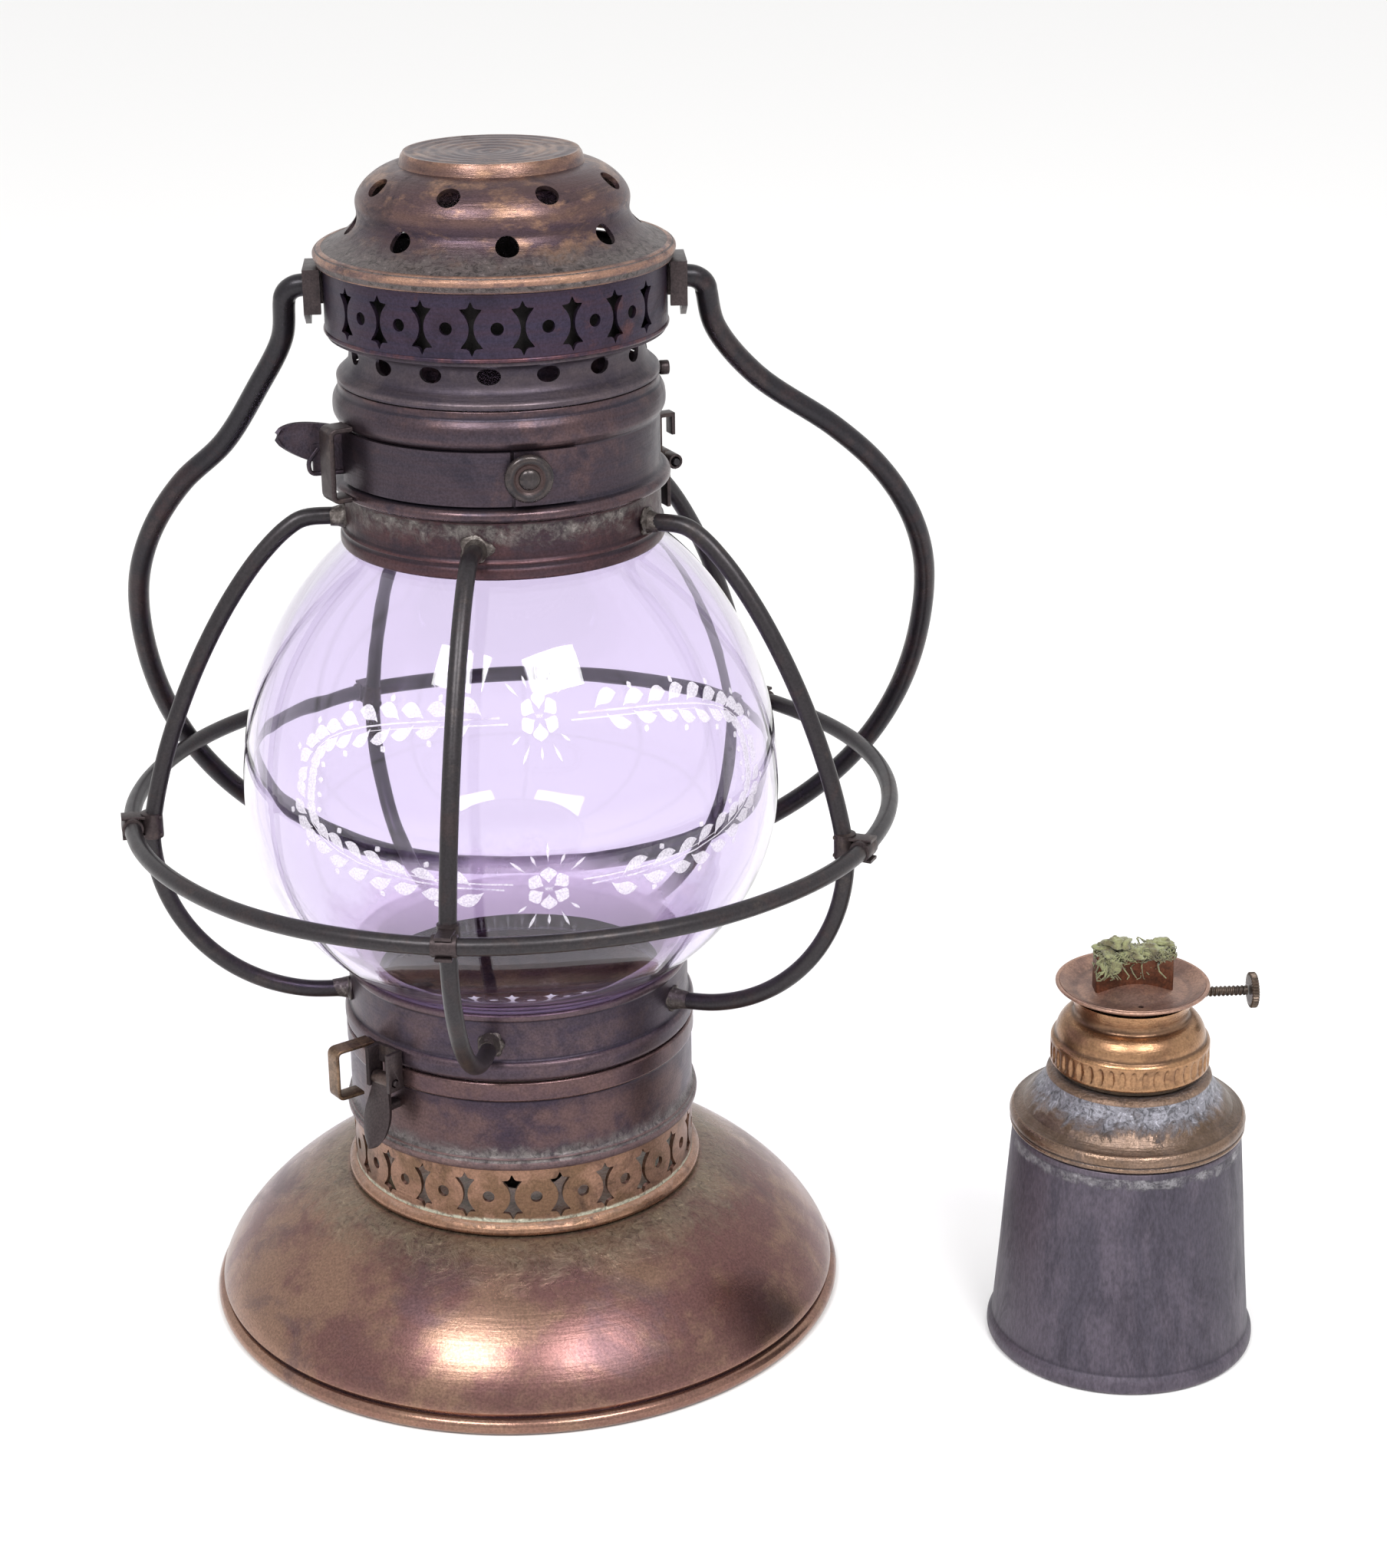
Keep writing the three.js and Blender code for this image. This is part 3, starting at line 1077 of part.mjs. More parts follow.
const shoulderFoot = TANK_TOP_Z + GAP;
const shoulderBeadTop = shoulderFoot + SHOULDER_BEAD_HEIGHT;
const shoulderSweep = shares(SHOULDER_STEPS).map((share) => {
  const [below, inward] = quarter(share, SHOULDER_FULLNESS);
  return [
    TANK_TOP_R - (TANK_TOP_R - SHOULDER_TOP_R) * inward,
    SHOULDER_TOP_Z - (SHOULDER_TOP_Z - shoulderBeadTop) * below,
  ];
}).reverse();
const shoulderTopZ = SHOULDER_TOP_Z + SHEET;
const shoulderFace = [[SHOULDER_HOLE_R, shoulderTopZ], [SHOULDER_TOP_R - SHEET, shoulderTopZ], ...shoulderSweep];
const shoulderBack = sheetSection(shoulderFace, -SHEET).slice(shoulderFace.length);
const shoulderSection = [
  ...shoulderFace,
  [SHOULDER_BEAD_R, shoulderBeadTop - BEAD_CORNER],
  [SHOULDER_BEAD_R, shoulderFoot + BEAD_CORNER],
  [SHOULDER_BEAD_R - BEAD_CORNER, shoulderFoot],
  [TANK_TOP_R - SHEET, shoulderFoot],
  ...shoulderBack,
];
add(font, 'tank_shoulder', turned(shoulderSection, MEDIUM), WARM_BRASS);

// ---------------------------------------------------------------- font: burner
const gasketZ = shoulderTopZ + GAP;
const gasketTop = gasketZ + GASKET_HEIGHT;
const gasketSection = [
  [SHOULDER_HOLE_R, gasketZ],
  [GASKET_R, gasketZ],
  [GASKET_R, gasketTop],
  [SHOULDER_HOLE_R, gasketTop],
];
add(font, 'burner_gasket', turned(gasketSection, COARSE), CORK);

const burnerZ = gasketTop + GAP;
const burnerBandTop = burnerZ + BURNER_BAND_HEIGHT;
const crown = shares(BURNER_CROWN_STEPS).map((share) => {
  const [out, up] = quarter(1 - share, BURNER_CROWN_FULLNESS);
  return [
    BURNER_CROWN_R + (BURNER_STEP_R - BURNER_CROWN_R) * out,
    burnerBandTop + (BURNER_CROWN_Z - burnerBandTop) * up,
  ];
});
const burnerFace = [
  [BURNER_CUP_R, BURNER_CUP_Z],
  [BURNER_THROAT_R, BURNER_THROAT_Z],
  ...crown,
  [BURNER_R - BURNER_CORNER, burnerBandTop - GAP],
  [BURNER_R, burnerBandTop - BURNER_CORNER - GAP],
  [BURNER_R, burnerZ + BURNER_CORNER],
  [BURNER_R - BURNER_CORNER, burnerZ],
];
const burnerBack = [
  [SHOULDER_HOLE_R, burnerZ],
  [SHOULDER_HOLE_R, burnerZ + SHEET],
  [BURNER_R - 2 * SHEET, burnerZ + SHEET],
  [BURNER_R - 2 * SHEET, burnerBandTop - 2 * SHEET],
  [BURNER_CROWN_R - 2 * SHEET, BURNER_CROWN_Z - 2 * SHEET],
  [BURNER_THROAT_R - SHEET, BURNER_THROAT_Z],
  [BURNER_CUP_R - SHEET, BURNER_CUP_Z],
];
const shaftY = TUBE_DEPTH / 2 - TUBE_WALL - WICK_PLAY + RUNNING + SPROCKET_R;
const shaftHole = rod(SHAFT_R + RUNNING, 2 * SHAFT_OUTER_X, COARSE).rotateZ(Math.PI / 2)
  .translate(SHAFT_OUTER_X, shaftY, SHAFT_Z);
add(font, 'burner_collar', cut(turned([...burnerFace, ...burnerBack], MEDIUM), [shaftHole]), BURNER_BRASS);

const plateUnder = BURNER_CUP_Z + GAP;
const plateFloorZ = plateUnder + PLATE_SHEET;
const plateSection = [
  [0, PLATE_CROWN_Z],
  [PLATE_CROWN_R, plateFloorZ],
  [PLATE_FLOOR_R, plateFloorZ],
  [PLATE_R - PLATE_SHEET, PLATE_RIM_Z],
  [PLATE_R, PLATE_RIM_Z],
  [PLATE_R, PLATE_RIM_Z - PLATE_SHEET],
  [PLATE_FLOOR_R + PLATE_SHEET, plateUnder],
  [PLATE_CROWN_R, plateUnder],
  [0, PLATE_CROWN_Z - PLATE_SHEET],
];
const plateSlot = new THREE.BoxGeometry(TUBE_WIDTH + 2 * GAP, TUBE_DEPTH + 2 * GAP, PLATE_RIM_Z)
  .translate(0, 0, PLATE_RIM_Z);
const pinhole = rod(PLATE_PINHOLE_R, PLATE_RIM_Z, HOLE_SIDES).rotateX(Math.PI / 2)
  .translate(0, -PLATE_CROWN_R / 2 - TUBE_DEPTH, PLATE_RIM_Z);
add(font, 'draft_plate', cut(turned(plateSection, MEDIUM), [plateSlot, pinhole]), COPPERY);

const tubeLength = TUBE_TOP_Z - TUBE_FOOT_Z;
const tubeMiddle = (TUBE_TOP_Z + TUBE_FOOT_Z) / 2;
const tubeBody = new THREE.BoxGeometry(TUBE_WIDTH, TUBE_DEPTH, tubeLength).translate(0, 0, tubeMiddle);
const boreWidth = TUBE_WIDTH - 2 * TUBE_WALL;
const boreDepth = TUBE_DEPTH - 2 * TUBE_WALL;
const tubeBore = new THREE.BoxGeometry(boreWidth, boreDepth, tubeLength + 2 * PASS).translate(0, 0, tubeMiddle);
const tubeSlot = new THREE.BoxGeometry(TUBE_SLOT_WIDTH, TUBE_DEPTH, 2 * TUBE_SLOT_HALF_HEIGHT)
  .translate(0, TUBE_DEPTH / 2, SHAFT_Z);
add(font, 'wick_tube', cut(tubeBody, [tubeBore, tubeSlot]), COPPERY);

const wickWidth = boreWidth - 2 * WICK_PLAY;
const wickDepth = boreDepth - 2 * WICK_PLAY;
const tuftFoot = TUBE_TOP_Z + GAP;
const wickStrip = new THREE.BoxGeometry(wickWidth, wickDepth, tuftFoot + GAP - WICK_FOOT_Z)
  .translate(0, 0, (tuftFoot + GAP + WICK_FOOT_Z) / 2);
const tuft = new THREE.BoxGeometry(WICK_TUFT_WIDTH, WICK_TUFT_DEPTH, WICK_TUFT_HEIGHT)
  .translate(0, 0, tuftFoot + WICK_TUFT_HEIGHT / 2);
add(font, 'wick', join([wickStrip, tuft]), COTTON);

const shaftLength = SHAFT_OUTER_X - SHAFT_INNER_X;
const shaft = rod(SHAFT_R, shaftLength, SHAFT_SIDES).rotateZ(Math.PI / 2)
  .translate((SHAFT_OUTER_X + SHAFT_INNER_X) / 2, shaftY, SHAFT_Z);
const sprocket = outwardPrism(polygon(SPROCKET_TEETH, SPROCKET_R), -SPROCKET_WIDTH / 2, SPROCKET_WIDTH / 2, SHAFT_Z, shaftY);
add(font, 'wick_shaft', join([shaft, sprocket]), COPPERY);
const wheelFoot = SHAFT_OUTER_X + GAP;
const wheelRim = outwardPrism(polygon(THUMBWHEEL_SIDES, THUMBWHEEL_R), wheelFoot, wheelFoot + THUMBWHEEL_WIDTH,
  SHAFT_Z, shaftY);
add(font, 'thumbwheel', wheelRim, COPPERY);

// ---------------------------------------------------------------- placing
font.position.set(FONT_X, FONT_Y, 0);
object.updateMatrixWorld(true);
const bounds = new THREE.Box3().setFromObject(object, true);
const middle = bounds.getCenter(new THREE.Vector3());
object.position.set(-middle.x, -middle.y, -bounds.min.z);
object.updateMatrixWorld(true);

export default object;
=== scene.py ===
import math

import bpy
import numpy as np
from mathutils import Matrix, Vector
from mathutils.geometry import delaunay_2d_cdt


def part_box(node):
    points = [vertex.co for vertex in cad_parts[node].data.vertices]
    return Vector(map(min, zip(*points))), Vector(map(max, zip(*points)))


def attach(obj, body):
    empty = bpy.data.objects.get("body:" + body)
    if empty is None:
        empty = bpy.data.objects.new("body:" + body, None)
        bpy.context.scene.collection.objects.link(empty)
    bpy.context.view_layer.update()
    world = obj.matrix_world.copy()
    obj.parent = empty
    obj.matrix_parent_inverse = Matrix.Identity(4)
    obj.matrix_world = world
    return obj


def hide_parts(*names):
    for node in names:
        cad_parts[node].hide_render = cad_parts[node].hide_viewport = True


bl_info = {
    "name": "Brass hand lamp",
    "version": (1, 0, 0),
    "blender": (4, 5, 0),
    "location": "View3D > Sidebar > Hand lamp",
    "description": "Builds the looks of a brass hand lamp and its oil font round their fixed frame",
    "category": "Object",
}

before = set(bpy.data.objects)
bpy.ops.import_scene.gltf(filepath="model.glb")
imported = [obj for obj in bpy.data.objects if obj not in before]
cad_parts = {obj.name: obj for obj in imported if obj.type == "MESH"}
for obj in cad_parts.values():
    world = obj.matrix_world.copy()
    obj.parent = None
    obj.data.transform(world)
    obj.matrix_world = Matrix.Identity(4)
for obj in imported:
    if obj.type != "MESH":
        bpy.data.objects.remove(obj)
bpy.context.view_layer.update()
MM = 0.001


def middle_of(node):
    """Centre of a node's box in plan, in millimetres."""
    low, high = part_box(node)
    return np.array([(low[0] + high[0]) / 2, (low[1] + high[1]) / 2, 0.0]) / MM


LAMP = middle_of("bell")  # the lamp's axis
FONT = middle_of("tank")  # the font's axis


# ---------------------------------------------------------------- sizes and colours
def length(name, description, default):
    """A length in metres, given here in millimetres."""
    return bpy.props.FloatProperty(name=name, description=description, default=default * MM, unit="LENGTH",
                                   min=0.0, precision=4)


def angle(name, description, default):
    """An angle, given here in degrees."""
    return bpy.props.FloatProperty(name=name, description=description, default=math.radians(default),
                                   unit="ROTATION")


def linear(code):
    """A colour as Blender's linear RGB, from its six hexadecimal digits."""
    parts = np.array([int(code[i:i + 2], 16) for i in (0, 2, 4)]) / 255
    return tuple(np.where(parts <= 0.04045, parts / 12.92, ((parts + 0.055) / 1.055) ** 2.4).tolist())


def colour(name, description, code):
    """A colour the user can change, given here as six hexadecimal digits."""
    return bpy.props.FloatVectorProperty(name=name, description=description, default=linear(code),
                                         subtype="COLOR",
                                         size=3, min=0.0, max=1.0)


class BaseSizes(bpy.types.PropertyGroup):
    """The bell and the bands above it."""
    rim_radius: length("Rim radius", "Widest radius of the rolled rim", 73)
    rim_roll: length("Rim roll", "Height of the rolled rim", 3.8)
    bell_top: length("Bell top", "Height of the bell's upper edge", 30.9)
    bell_shoulder: length("Bell shoulder", "Radius at which the bell turns flat", 41)
    bell_fullness: bpy.props.FloatProperty(name="Bell fullness", description="Exponent of the bell's curve",
                                           default=1.4)
    band_radius: length("Band radius", "Radius of the pierced band", 39.2)
    band_top: length("Band top", "Height of the pierced band's upper edge", 47)
    rosettes: bpy.props.IntProperty(name="Rosettes", description="Rosettes round the base band", default=23)
    rosette_turn: angle("Rosette turn", "Azimuth of the first rosette", 3.2)
    collar_radius: length("Collar radius", "Radius of the plain collar", 39.3)
    collar_top: length("Collar top", "Height at which the cage lifts off", 68.6)


class CageSizes(bpy.types.PropertyGroup):
    """The globe and the wires round it."""
    globe_radius: length("Globe radius", "Widest radius of the glass", 59.6)
    globe_height: length("Widest height", "Height at which the glass is widest", 126)
    glass: length("Glass", "Thickness of the glass", 2.2)
    wire_radius: length("Wire radius", "Radius of the cage wires", 1.9)
    wire_bulge: length("Wire bulge", "Distance of the wires from the axis at their widest", 80.2)
    wires: bpy.props.IntProperty(name="Wires", description="Wires round the globe", default=5)
    wire_turn: angle("Wire turn", "Azimuth of the front wire", -10)
    guard_height: length("Guard height", "Height of the guard ring", 121.3)
    wreath_turn: angle("Wreath turn", "Azimuth of the engraved wreath's middle", 6.5)
    wreath_half_width: angle("Wreath half width", "Angle from its middle to its ends", 54)
    wreath_height: length("Wreath height", "Height of the wreath's middle", 140.5)
    wreath_half_height: length("Wreath half height", "From its middle to its flowers", 17.7)


class LidSizes(bpy.types.PropertyGroup):
    """The collar, neck, gallery and dome."""
    collar_radius: length("Collar radius", "Radius of the lid's collar", 34.3)
    neck_radius: length("Neck radius", "Radius of the waist", 31.7)
    neck_holes: bpy.props.IntProperty(name="Neck holes", description="Oval holes round the neck", default=16)
    gallery_radius: length("Gallery radius", "Radius of the pierced gallery", 36.3)
    gallery_pitch: angle("Gallery pitch", "Angle from one rosette to the next", 16.6)
    brim_radius: length("Brim radius", "Radius of the dome's brim", 38.2)
    dome_holes: bpy.props.IntProperty(name="Dome holes", description="Round holes in each row of the dome",
                                      default=8)
    top: length("Top", "Height of the dome's disc", 265)


class BailSizes(bpy.types.PropertyGroup):
    """The bail, drawn hanging from its ears."""
    thickness: length("Thickness", "Radius of the rod", 2.4)
    pivot: length("Pivot", "Height of the ears' holes", 237.5)
    half_width: length("Half width", "From its middle to its widest", 90)
    reach: length("Length", "From the pivot to the bottom of the loop", 173)
    lean: length("Lean", "How far the loop stands to the right", 6.5)
    rest: angle("Rest angle", "Behind straight down, where it leans on the guard ring", 21.5)


class FontSizes(bpy.types.PropertyGroup):
    """The oil font and its burner."""
    rim_radius: length("Rim radius", "Radius of the tank's lower rim", 30)
    tank_top: length("Tank top", "Height of the tank's wall", 52.5)
    flutes: bpy.props.IntProperty(name="Flutes", description="Flutes round the burner's collar", default=44)
    tube_width: length("Tube width", "Width of the wick tube", 17.2)
    tube_depth: length("Tube depth", "Depth of the wick tube", 5)
    strands: bpy.props.IntProperty(name="Strands", description="Loose ends of the wick's tuft", default=520)


class Finishes(bpy.types.PropertyGroup):
    """The colours of the metals, the painted shade behind the gallery, the glass and the wick."""
    # painted shade: the near-black of the sleeve behind the gallery, not a tarnish of the lamp
    gallery_shade_black: colour("Gallery shade", "Black of the painted shade behind the gallery", "221d20")
    oxblood: colour("Oxblood", "Red wear showing through the tarnish", "5e3128")
    glass: colour("Glass", "Tint of the glass", "e9e2f3")
    cotton: colour("Cotton", "The wick", "8f9268")


class StageSettings(bpy.types.PropertyGroup):
    """The camera, the lights and the floor."""
    camera_distance: length("Camera distance", "In front of the lamp's axis", 660.6)
    camera_height: length("Camera height", "Above the floor", 376.3)
    pitch: angle("Pitch", "Downward tilt of the camera", 21.011)
    yaw: angle("Yaw", "Turn of the camera to the right", 3.514)
    roll: angle("Roll", "Turn of the camera about its own axis", -0.691)
    lens: length("Lens", "Focal length over a 36 mm sensor", 72.4)
    window_power: bpy.props.FloatProperty(name="Window light", description="Power of each large light",
                                          default=9.0)
    sky: bpy.props.FloatProperty(name="Sky", description="Strength of the even light", default=1.0)


# ---------------------------------------------------------------- outlines
def shares(count):
    """Evenly spaced numbers from nought to one."""
    return np.linspace(0, 1, count)


def unit(vectors):
    """Vectors brought to a length of one; those of almost no length stay short."""
    return vectors / np.linalg.norm(vectors, axis=-1, keepdims=True).clip(1e-9)


def distances(path):
    """Distance of each point of a path from its start, along the path."""
    return np.r_[0, np.cumsum(np.linalg.norm(np.diff(path, axis=0), axis=1))]


def quarter(count, fullness):
    """A quarter superellipse: cosine and sine of a quarter turn, each to the power two over the fullness."""
    turn = shares(count) * math.pi / 2
    return np.cos(turn).clip(0) ** (2 / fullness), np.sin(turn) ** (2 / fullness)


def eased(points, radius, steps=4, closed=True):
    """Rounds every corner with a parabola that starts and ends at the radius, or at 45 percent of a shorter side."""
    points = np.asarray(points, float)
    before, after = np.roll(points, 1, axis=0) - points, np.roll(points, -1, axis=0) - points
    sides = [np.maximum(np.linalg.norm(side, axis=1), 1e-9)[:, None] for side in (before, after)]
    reach = np.minimum(radius, 0.45 * np.minimum(*sides))
    start, end = points + before / sides[0] * reach, points + after / sides[1] * reach
    if not closed:
        start[[0, -1]] = end[[0, -1]] = points[[0, -1]]
    on_axis = np.abs(points[:, 0]) < 1e-9
    start[on_axis], end[on_axis] = points[on_axis], points[on_axis]
    share = shares(steps)[None, :, None]
    curve = (1 - share) ** 2 * start[:, None] + 2 * share * (1 - share) * points[:, None] + share ** 2 * end[:, None]
    curve = curve.reshape(-1, 2)
    kept = np.linalg.norm(curve - np.roll(curve, 1, axis=0), axis=1) > 1e-4
    kept[0] = kept[0] or not closed
    return curve[kept]


def spaced(points, spacing, closed=True):
    """Adds points so that no step along the outline is longer than the spacing."""
    ends = np.roll(points, -1, axis=0) if closed else points[1:]
    starts = points if closed else points[:-1]
    pieces = [start + (end - start) * shares(int(np.linalg.norm(end - start) // spacing) + 2)[:-1, None]
              for start, end in zip(starts, ends)]
    return np.vstack(pieces if closed else [*pieces, points[-1:]])


def smooth_through(points, per_span=8):
    """A centripetal Catmull-Rom curve through the points, worked out for every span at once."""
    points = np.asarray(points, float)
    padded = np.vstack([2 * points[0] - points[1], points, 2 * points[-1] - points[-2]])
    a, b, c, d = padded[:-3], padded[1:-2], padded[2:-1], padded[3:]
    gaps = [np.sqrt(np.linalg.norm(q - p, axis=1)).clip(1e-4)[:, None] for p, q in ((a, b), (b, c), (c, d))]
    leave = ((b - a) / gaps[0] - (c - a) / (gaps[0] + gaps[1]) + (c - b) / gaps[1]) * gaps[1]
    arrive = ((c - b) / gaps[1] - (d - b) / (gaps[1] + gaps[2]) + (d - c) / gaps[2]) * gaps[1]
    t = shares(per_span + 1)[:-1][None, :, None]
    curve = ((2 * t ** 3 - 3 * t ** 2 + 1) * b[:, None] + (t ** 3 - 2 * t ** 2 + t) * leave[:, None]
             + (3 * t ** 2 - 2 * t ** 3) * c[:, None] + (t ** 3 - t ** 2) * arrive[:, None])
    return np.vstack([curve.reshape(-1, points.shape[1]), points[-1]])


def inset(points, wall):
    """The outline moved sideways by the wall, to the left of the way it runs."""
    along = unit(np.gradient(points, axis=0))
    return points + wall * np.column_stack([-along[:, 1], along[:, 0]])


def convexity(outline, closed=True):
    """How sharply an outline turns at each point, per millimetre, positive where it stands out."""
    before, after = outline - np.roll(outline, 1, axis=0), np.roll(outline, -1, axis=0) - outline
    turn = np.arctan2(before[:, 0] * after[:, 1] - before[:, 1] * after[:, 0], (before * after).sum(axis=1))
    step = (np.linalg.norm(before, axis=1) + np.linalg.norm(after, axis=1)).clip(0.05) / 2
    bend = turn / step
    bend = bend * np.sign(area_of(outline))
    return np.clip((np.roll(bend, 1) + 2 * bend + np.roll(bend, -1)) / 4, -1, 1)


def area_of(outline):
    """Signed area inside a closed outline."""
    x, y = outline[:, 0], outline[:, 1]
    return float((x * np.roll(y, -1) - y * np.roll(x, -1)).sum() / 2)


# ---------------------------------------------------------------- surfaces
def quads(rows, columns, wrap_rows, wrap_columns):
    """The four-cornered faces of a grid, row by row, closed round either way."""
    i, j = np.meshgrid(np.arange(rows if wrap_rows else rows - 1),
                       np.arange(columns if wrap_columns else columns - 1), indexing="ij")
    i, j = i.ravel(), j.ravel()
    k, m = (i + 1) % rows, (j + 1) % columns
    return np.column_stack([i * columns + j, i * columns + m, k * columns + m, k * columns + j])


def outward(points, faces):
    """Turns a closed shell's faces over if the volume they enclose is negative."""
    a, b, c = points[faces[:, 0]], points[faces[:, 1]], points[faces[:, 2]]
    volume = np.einsum("ij,ij->i", a, np.cross(b, c)).sum()
    if faces.shape[1] == 4:
        volume += np.einsum("ij,ij->i", a, np.cross(c, points[faces[:, 3]])).sum()
    return faces if volume > 0 else faces[:, ::-1]


def shell(points, faces, edge=None):
    """One closed shell: points, outward faces and how worn each point is."""
    return points, outward(points, faces), np.zeros(len(points)) if edge is None else edge


def turned(outline, sides=160, radial=None, axis=LAMP):
    """A turned surface: each point of the outline, radius and height, carried round the axis. Radial may return a
    change of radius for the arrays of azimuth, radius and height. An outline on the axis closes there."""
    outline = np.asarray(outline, float)
    edge = convexity(outline)
    turn = np.arange(sides) * 2 * math.pi / sides
    r, z = (np.repeat(outline[:, i, None], sides, axis=1) for i in (0, 1))
    azimuth = np.repeat(turn[None], len(outline), axis=0)
    if radial is not None:
        r = r + radial(azimuth, r, z)
    points = np.stack([r * np.sin(azimuth), -r * np.cos(azimuth), z], axis=2).reshape(-1, 3)
    faces = quads(len(outline), sides, True, True)
    on_axis = np.flatnonzero(outline[:, 0] < 1e-6)
    if len(on_axis):
        target = np.arange(len(points))
        for row in on_axis:
            target[row * sides:(row + 1) * sides] = row * sides
        faces = target[faces]
    return shell(points + axis, faces, np.repeat(edge, sides))


def swept(path, radius, sides=16, normal=(0, 1, 0), closed=False):
    """A tube: a circle carried along a flat path, square to it. Radius may be an array along the path, and the
    ends close to a point."""
    path = np.asarray(path, float)
    along = unit(np.roll(path, -1, axis=0) - np.roll(path, 1,
                                                     axis=0) if closed else np.gradient(path, axis=0))
    across = np.broadcast_to(np.asarray(normal, float), path.shape)
    beside = unit(np.cross(along, across))
    turn = np.arange(sides) * 2 * math.pi / sides
    radius = np.broadcast_to(np.asarray(radius, float), len(path))[:, None, None]
    ring = (np.cos(turn)[None, :, None] * beside[:, None] + np.sin(turn)[None, :, None] * across[:, None])
    points = (path[:, None] + radius * ring).reshape(-1, 3)
    faces = quads(len(path), sides, closed, True)
    if closed:
        return shell(points, faces)
    return shell(*capped(points, faces, len(path), sides))


def capped(points, faces, rows, sides):
    """Closes both ends of a tube with a fan round a point in the middle of each end."""
    first, last = points[:sides].mean(axis=0), points[-sides:].mean(axis=0)
    n = len(points)
    j = np.arange(sides)
    k = (j + 1) % sides
    start = np.column_stack([np.full(sides, n), k, j, j])
    end = np.column_stack([np.full(sides, n + 1), (rows - 1) * sides + j, (rows - 1) * sides + k,
                           (rows - 1) * sides + k])
    return np.vstack([points, first, last]), np.vstack([faces, start, end])


def rounded_ends(radius, path, reach):
    """A radius along a path that falls to nearly nothing at both ends along a quarter circle of the reach."""
    steps = distances(path)
    near = np.minimum(steps, steps[-1] - steps).clip(0, reach) / reach
    return radius * np.sqrt((1 - (1 - near) ** 2).clip(0.0025))


def sheet_of(grid, wall):
    """A plate with thickness: a grid of points and its copy moved by the wall along the grid's normals, with the
    four edges joined."""
    rows, columns = grid.shape[:2]
    down, over = np.gradient(grid, axis=0), np.gradient(grid, axis=1)
    normal = unit(np.cross(down, over))
    points = np.vstack([grid.reshape(-1, 3), (grid + wall * normal).reshape(-1, 3)])
    n = rows * columns
    top = quads(rows, columns, False, False)
    index = np.arange(n).reshape(rows, columns)
    loop = np.concatenate([index[0, :-1], index[:-1, -1], index[-1, :0:-1], index[:0:-1, 0]])
    after = np.roll(loop, -1)
    sides = np.column_stack([loop, loop + n, after + n, after])
    return shell(points, np.vstack([top, top[:, ::-1] + n, sides]))


def at_azimuth(points, azimuth, axis=LAMP):
    """Turns points given as (outwards, sideways, up) to an azimuth round an axis."""
    turn = math.radians(azimuth)
    out, side, up = points[..., 0], points[..., 1], points[..., 2]
    return np.stack([out * math.sin(turn) + side * math.cos(turn),
                     -out * math.cos(turn) + side * math.sin(turn), up], axis=-1) + axis


def placed(part, azimuth, axis=LAMP):
    """A shell turned to an azimuth."""
    points, faces, edge = part
    moved = at_azimuth(points, azimuth, axis)
    return moved, outward(moved, faces), edge


def facing_out(part, azimuth, out, up):
    """A shell turned about its own upright axis laid over, so that its axis points outwards at an azimuth."""
    points, faces, edge = part
    laid = np.column_stack([points[:, 2] + out, points[:, 0], points[:, 1] + up])
    moved = at_azimuth(laid, azimuth)
    return moved, outward(moved, faces), edge


def strap(path, width, wall, bow=0.0):
    """A bent strip: a rounded rectangle carried along a path of (outwards, up), width across it. Bow bellies the
    strip outwards at its middle."""
    path = spaced(eased(path, 1.4, 6, closed=False), 0.8, closed=False)
    flat = eased([[-width / 2, -wall / 2], [width / 2, -wall / 2], [width / 2, wall / 2],
                  [-width / 2, wall / 2]],
                 min(wall, width) * 0.3, 4)
    along = unit(np.gradient(path, axis=0))
    normal = np.column_stack([along[:, 1], -along[:, 0]])
    belly = bow * (1 - (2 * flat[:, 0] / width) ** 2)
    offset = (flat[:, 1] + belly)[None, :, None] * normal[:, None]
    points = np.stack([path[:, 0, None] + offset[..., 0], np.broadcast_to(flat[:, 0], offset.shape[:2]),
                       path[:, 1, None] + offset[..., 1]], axis=2).reshape(-1, 3)
    faces = quads(len(path), len(flat), False, True)
    return shell(*capped(points, faces, len(path), len(flat)))


def blob(centre, radii, seed, lumps=0.12, rows=16, columns=24):
    """A lump of solder: an ellipsoid whose radius swells by a few crossed sine waves."""
    up, round_ = np.meshgrid(np.linspace(-math.pi / 2, math.pi / 2, rows),
                             np.arange(columns) * 2 * math.pi / columns,
                             indexing="ij")
    swell = 1 + lumps * (np.sin(3 * round_ + seed) * np.cos(2 * up) + 0.6
                         * np.sin(5 * up + 2 * seed + round_)) \
        * np.cos(up)
    unit = np.stack([np.cos(up) * np.cos(round_), np.cos(up) * np.sin(round_), np.sin(up)], axis=2)
    points = (unit * swell[..., None]).reshape(-1, 3) * np.asarray(radii) + np.asarray(centre)
    faces = quads(rows, columns, False, True)
    faces = np.where(faces < columns, 0, faces)
    last = (rows - 1) * columns
    return shell(points, np.where(faces >= last, last, faces))


def inside_loop(points, loop):
    """Which points lie inside a closed loop, by counting the loop's edges to their right."""
    a, b = loop, np.roll(loop, -1, axis=0)
    x, y = points[:, 0, None], points[:, 1, None]
    crosses = (a[:, 1] > y) != (b[:, 1] > y)
    rise = np.where(np.abs(b[:, 1] - a[:, 1]) < 1e-12, 1e-12, b[:, 1] - a[:, 1])
    return ((crosses & (x < (b[:, 0] - a[:, 0]) * (y - a[:, 1]) / rise
                        + a[:, 0])).sum(axis=1) % 2).astype(bool)


